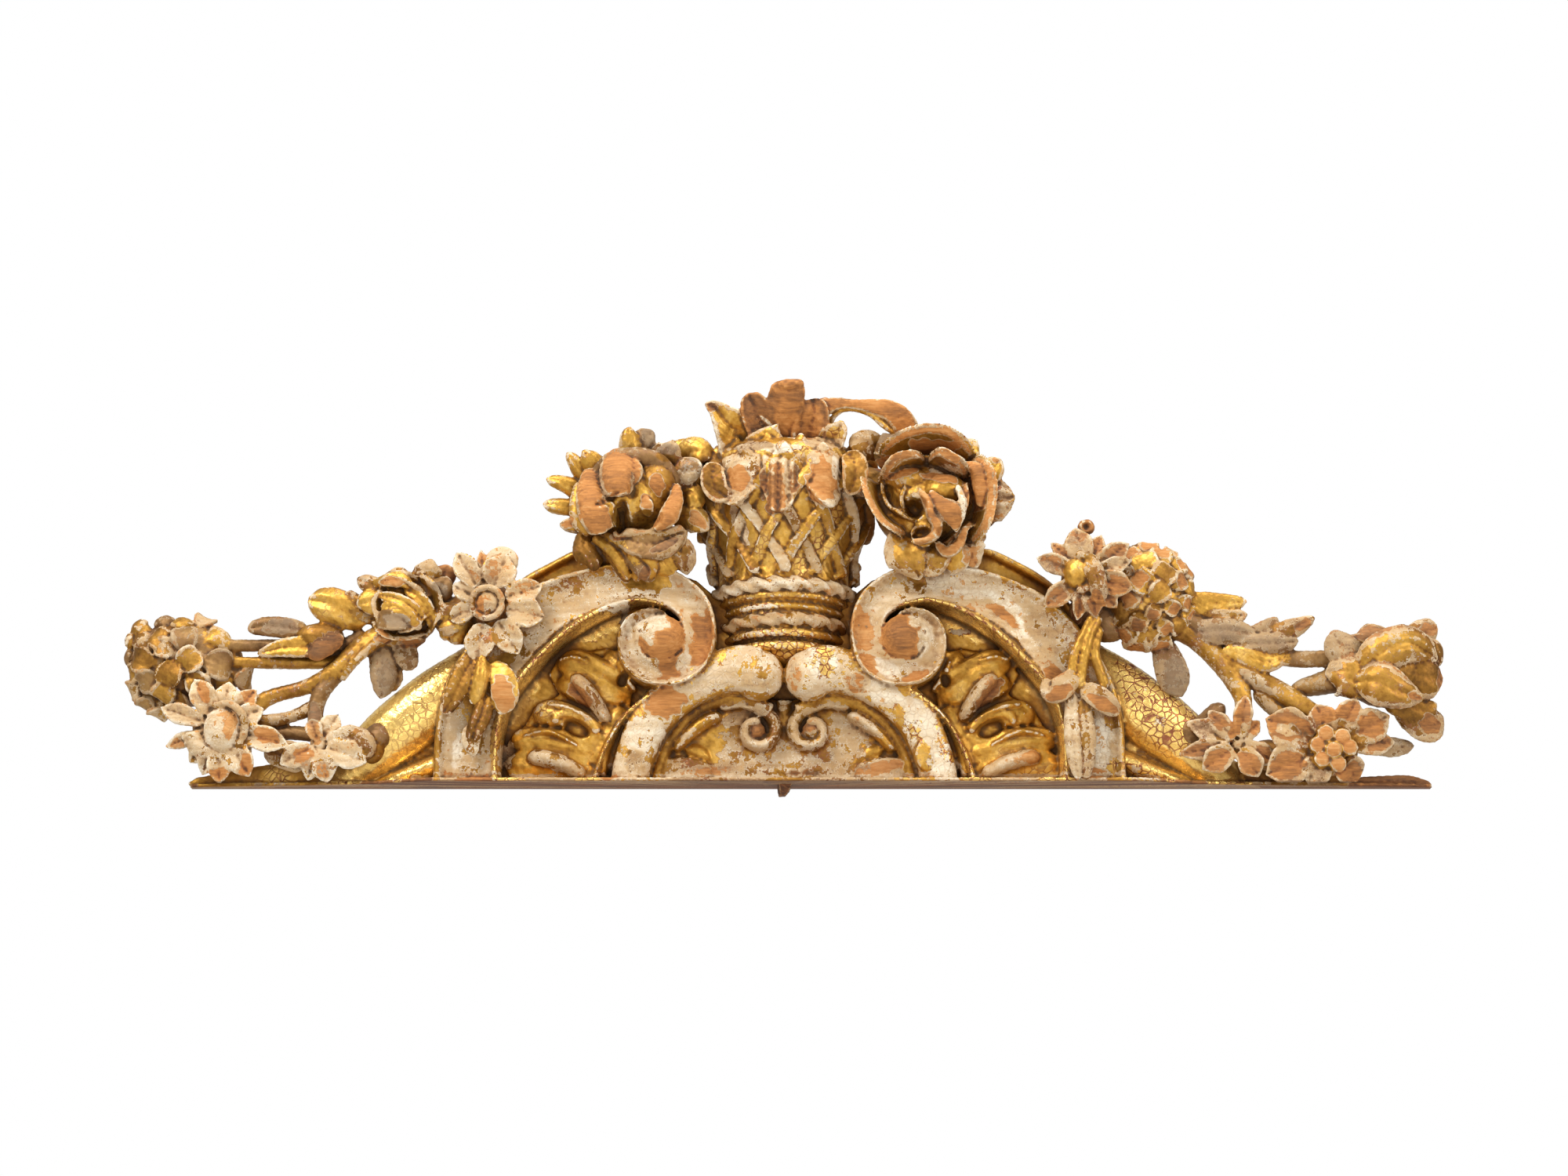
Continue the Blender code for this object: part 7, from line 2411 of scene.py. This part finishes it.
@dataclass
class Studio:
    """The plain floor, the soft lights and the camera.

    Each light is (name, place, size, power). fill is the strength of the world where the camera
    doesn't look straight at it.
    """

    distance: float = 6.0
    camera_height: float = -0.66
    aim_height: float = 0.172
    lens: float = 121.1
    floor_height: float = -1.6
    floor_reach: float = 6.0
    fill: float = 0.62
    lamps: tuple = (
        ("key", (-1.7, -2.0, 2.2), 1.2, 80.0), ("fill", (2.4, -2.0, 0.9), 1.3, 32.0),
        ("low", (-0.2, -3.2, -0.6), 1.2, 13.0), ("top", (0.4, -0.5, 2.4), 1.4, 34.0),
    )

    def build(self) -> None:
        """Set the stage and the view."""
        self.floor()
        self.world()
        self.lights()
        self.camera()
        bpy.context.scene.view_settings.view_transform = "Standard"

    def floor(self) -> None:
        """The plain pale floor, far below."""
        mesh = bpy.data.meshes.new("floor")
        reach = self.floor_reach
        corners = [(-reach, -reach), (reach, -reach), (reach, reach), (-reach, reach)]
        mesh.from_pydata([(*corner, self.floor_height) for corner in corners], [], [(0, 1, 2, 3)])
        floor = bpy.data.objects.new("floor", mesh)
        bpy.context.scene.collection.objects.link(floor)
        made = bpy.data.materials.new("pale floor")
        made.use_nodes = True
        shader = made.node_tree.nodes["Principled BSDF"].inputs
        shader["Base Color"].default_value = (0.8, 0.8, 0.8, 1.0)
        shader["Roughness"].default_value = 0.9
        mesh.materials.append(made)
        floor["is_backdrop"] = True

    def world(self) -> None:
        """White where the camera looks, and a dimmer warm white for the rest."""
        world = bpy.data.worlds.new("studio")
        bpy.context.scene.world = world
        world.use_nodes = True
        world.node_tree.nodes.clear()
        nodes = Nodes(world.node_tree)
        seen = nodes.add("ShaderNodeBackground", {"Color": (1.0, 1.0, 1.0), "Strength": 1.0})
        fill = nodes.add("ShaderNodeBackground", {"Color": (1.0, 0.98, 0.94), "Strength": self.fill})
        looked_at = nodes.add("ShaderNodeLightPath", out="Is Camera Ray")
        shown = nodes.add("ShaderNodeMixShader", {0: looked_at, 1: fill, 2: seen})
        nodes.add("ShaderNodeOutputWorld", {0: shown})

    def lights(self) -> None:
        """Soft boxes above, to the left and to the right."""
        for name, place, size, power in self.lamps:
            light = bpy.data.lights.new(name, "AREA")
            light.shape = "SQUARE"
            light.size = size
            light.energy = power
            light.color = (1.0, 0.96, 0.90)
            lamp = bpy.data.objects.new(name, light)
            self.aim(lamp, place, 0.1)
            lamp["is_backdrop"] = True

    def camera(self) -> None:
        """The camera, a little below the panel, as it was photographed."""
        lens = bpy.data.cameras.new("camera")
        lens.sensor_width = 36.0
        lens.lens = self.lens
        camera = bpy.data.objects.new("camera", lens)
        self.aim(camera, (0.0, -self.distance, self.camera_height), self.aim_height)
        bpy.context.scene.camera = camera

    def aim(self, thing: bpy.types.Object, place: tuple[float, float, float], height: float) -> None:
        """Put a light or the camera at a place, looking at the panel's middle.

        Args:
            thing: the light or camera.
            place: where it stands.
            height: the height that it looks at.
        """
        thing.location = place
        line = Vector((0.0, 0.0, height)) - thing.location
        thing.rotation_euler = line.to_track_quat("-Z", "Y").to_euler()
        bpy.context.scene.collection.objects.link(thing)


def main() -> None:
    """Build the panel piece by piece, dress it, and set the stage."""
    logging.basicConfig(level=logging.INFO, format="%(message)s")
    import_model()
    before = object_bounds()
    low, high = (np.array(corner) + [0.0, 0.0, FIXING_HEIGHT * METRES] for corner in before)
    assemblies = [
        ArchPanel(), Splinter(), FlowerBasket(), LeftRose(), RightRose(), LeftGarland(), RightGarland(),
    ]
    for assembly in assemblies:
        assembly.build(low, high)
        LOG.info("%s carved", assembly.name)
    relief = Relief([assembly.piece for assembly in assemblies])
    gilding = WornGilding().material()
    for assembly in assemblies:
        assembly.dress(relief, gilding)
        LOG.info("%s gilded", assembly.name)
    Studio().build()


if __name__ == "__main__":
    main()
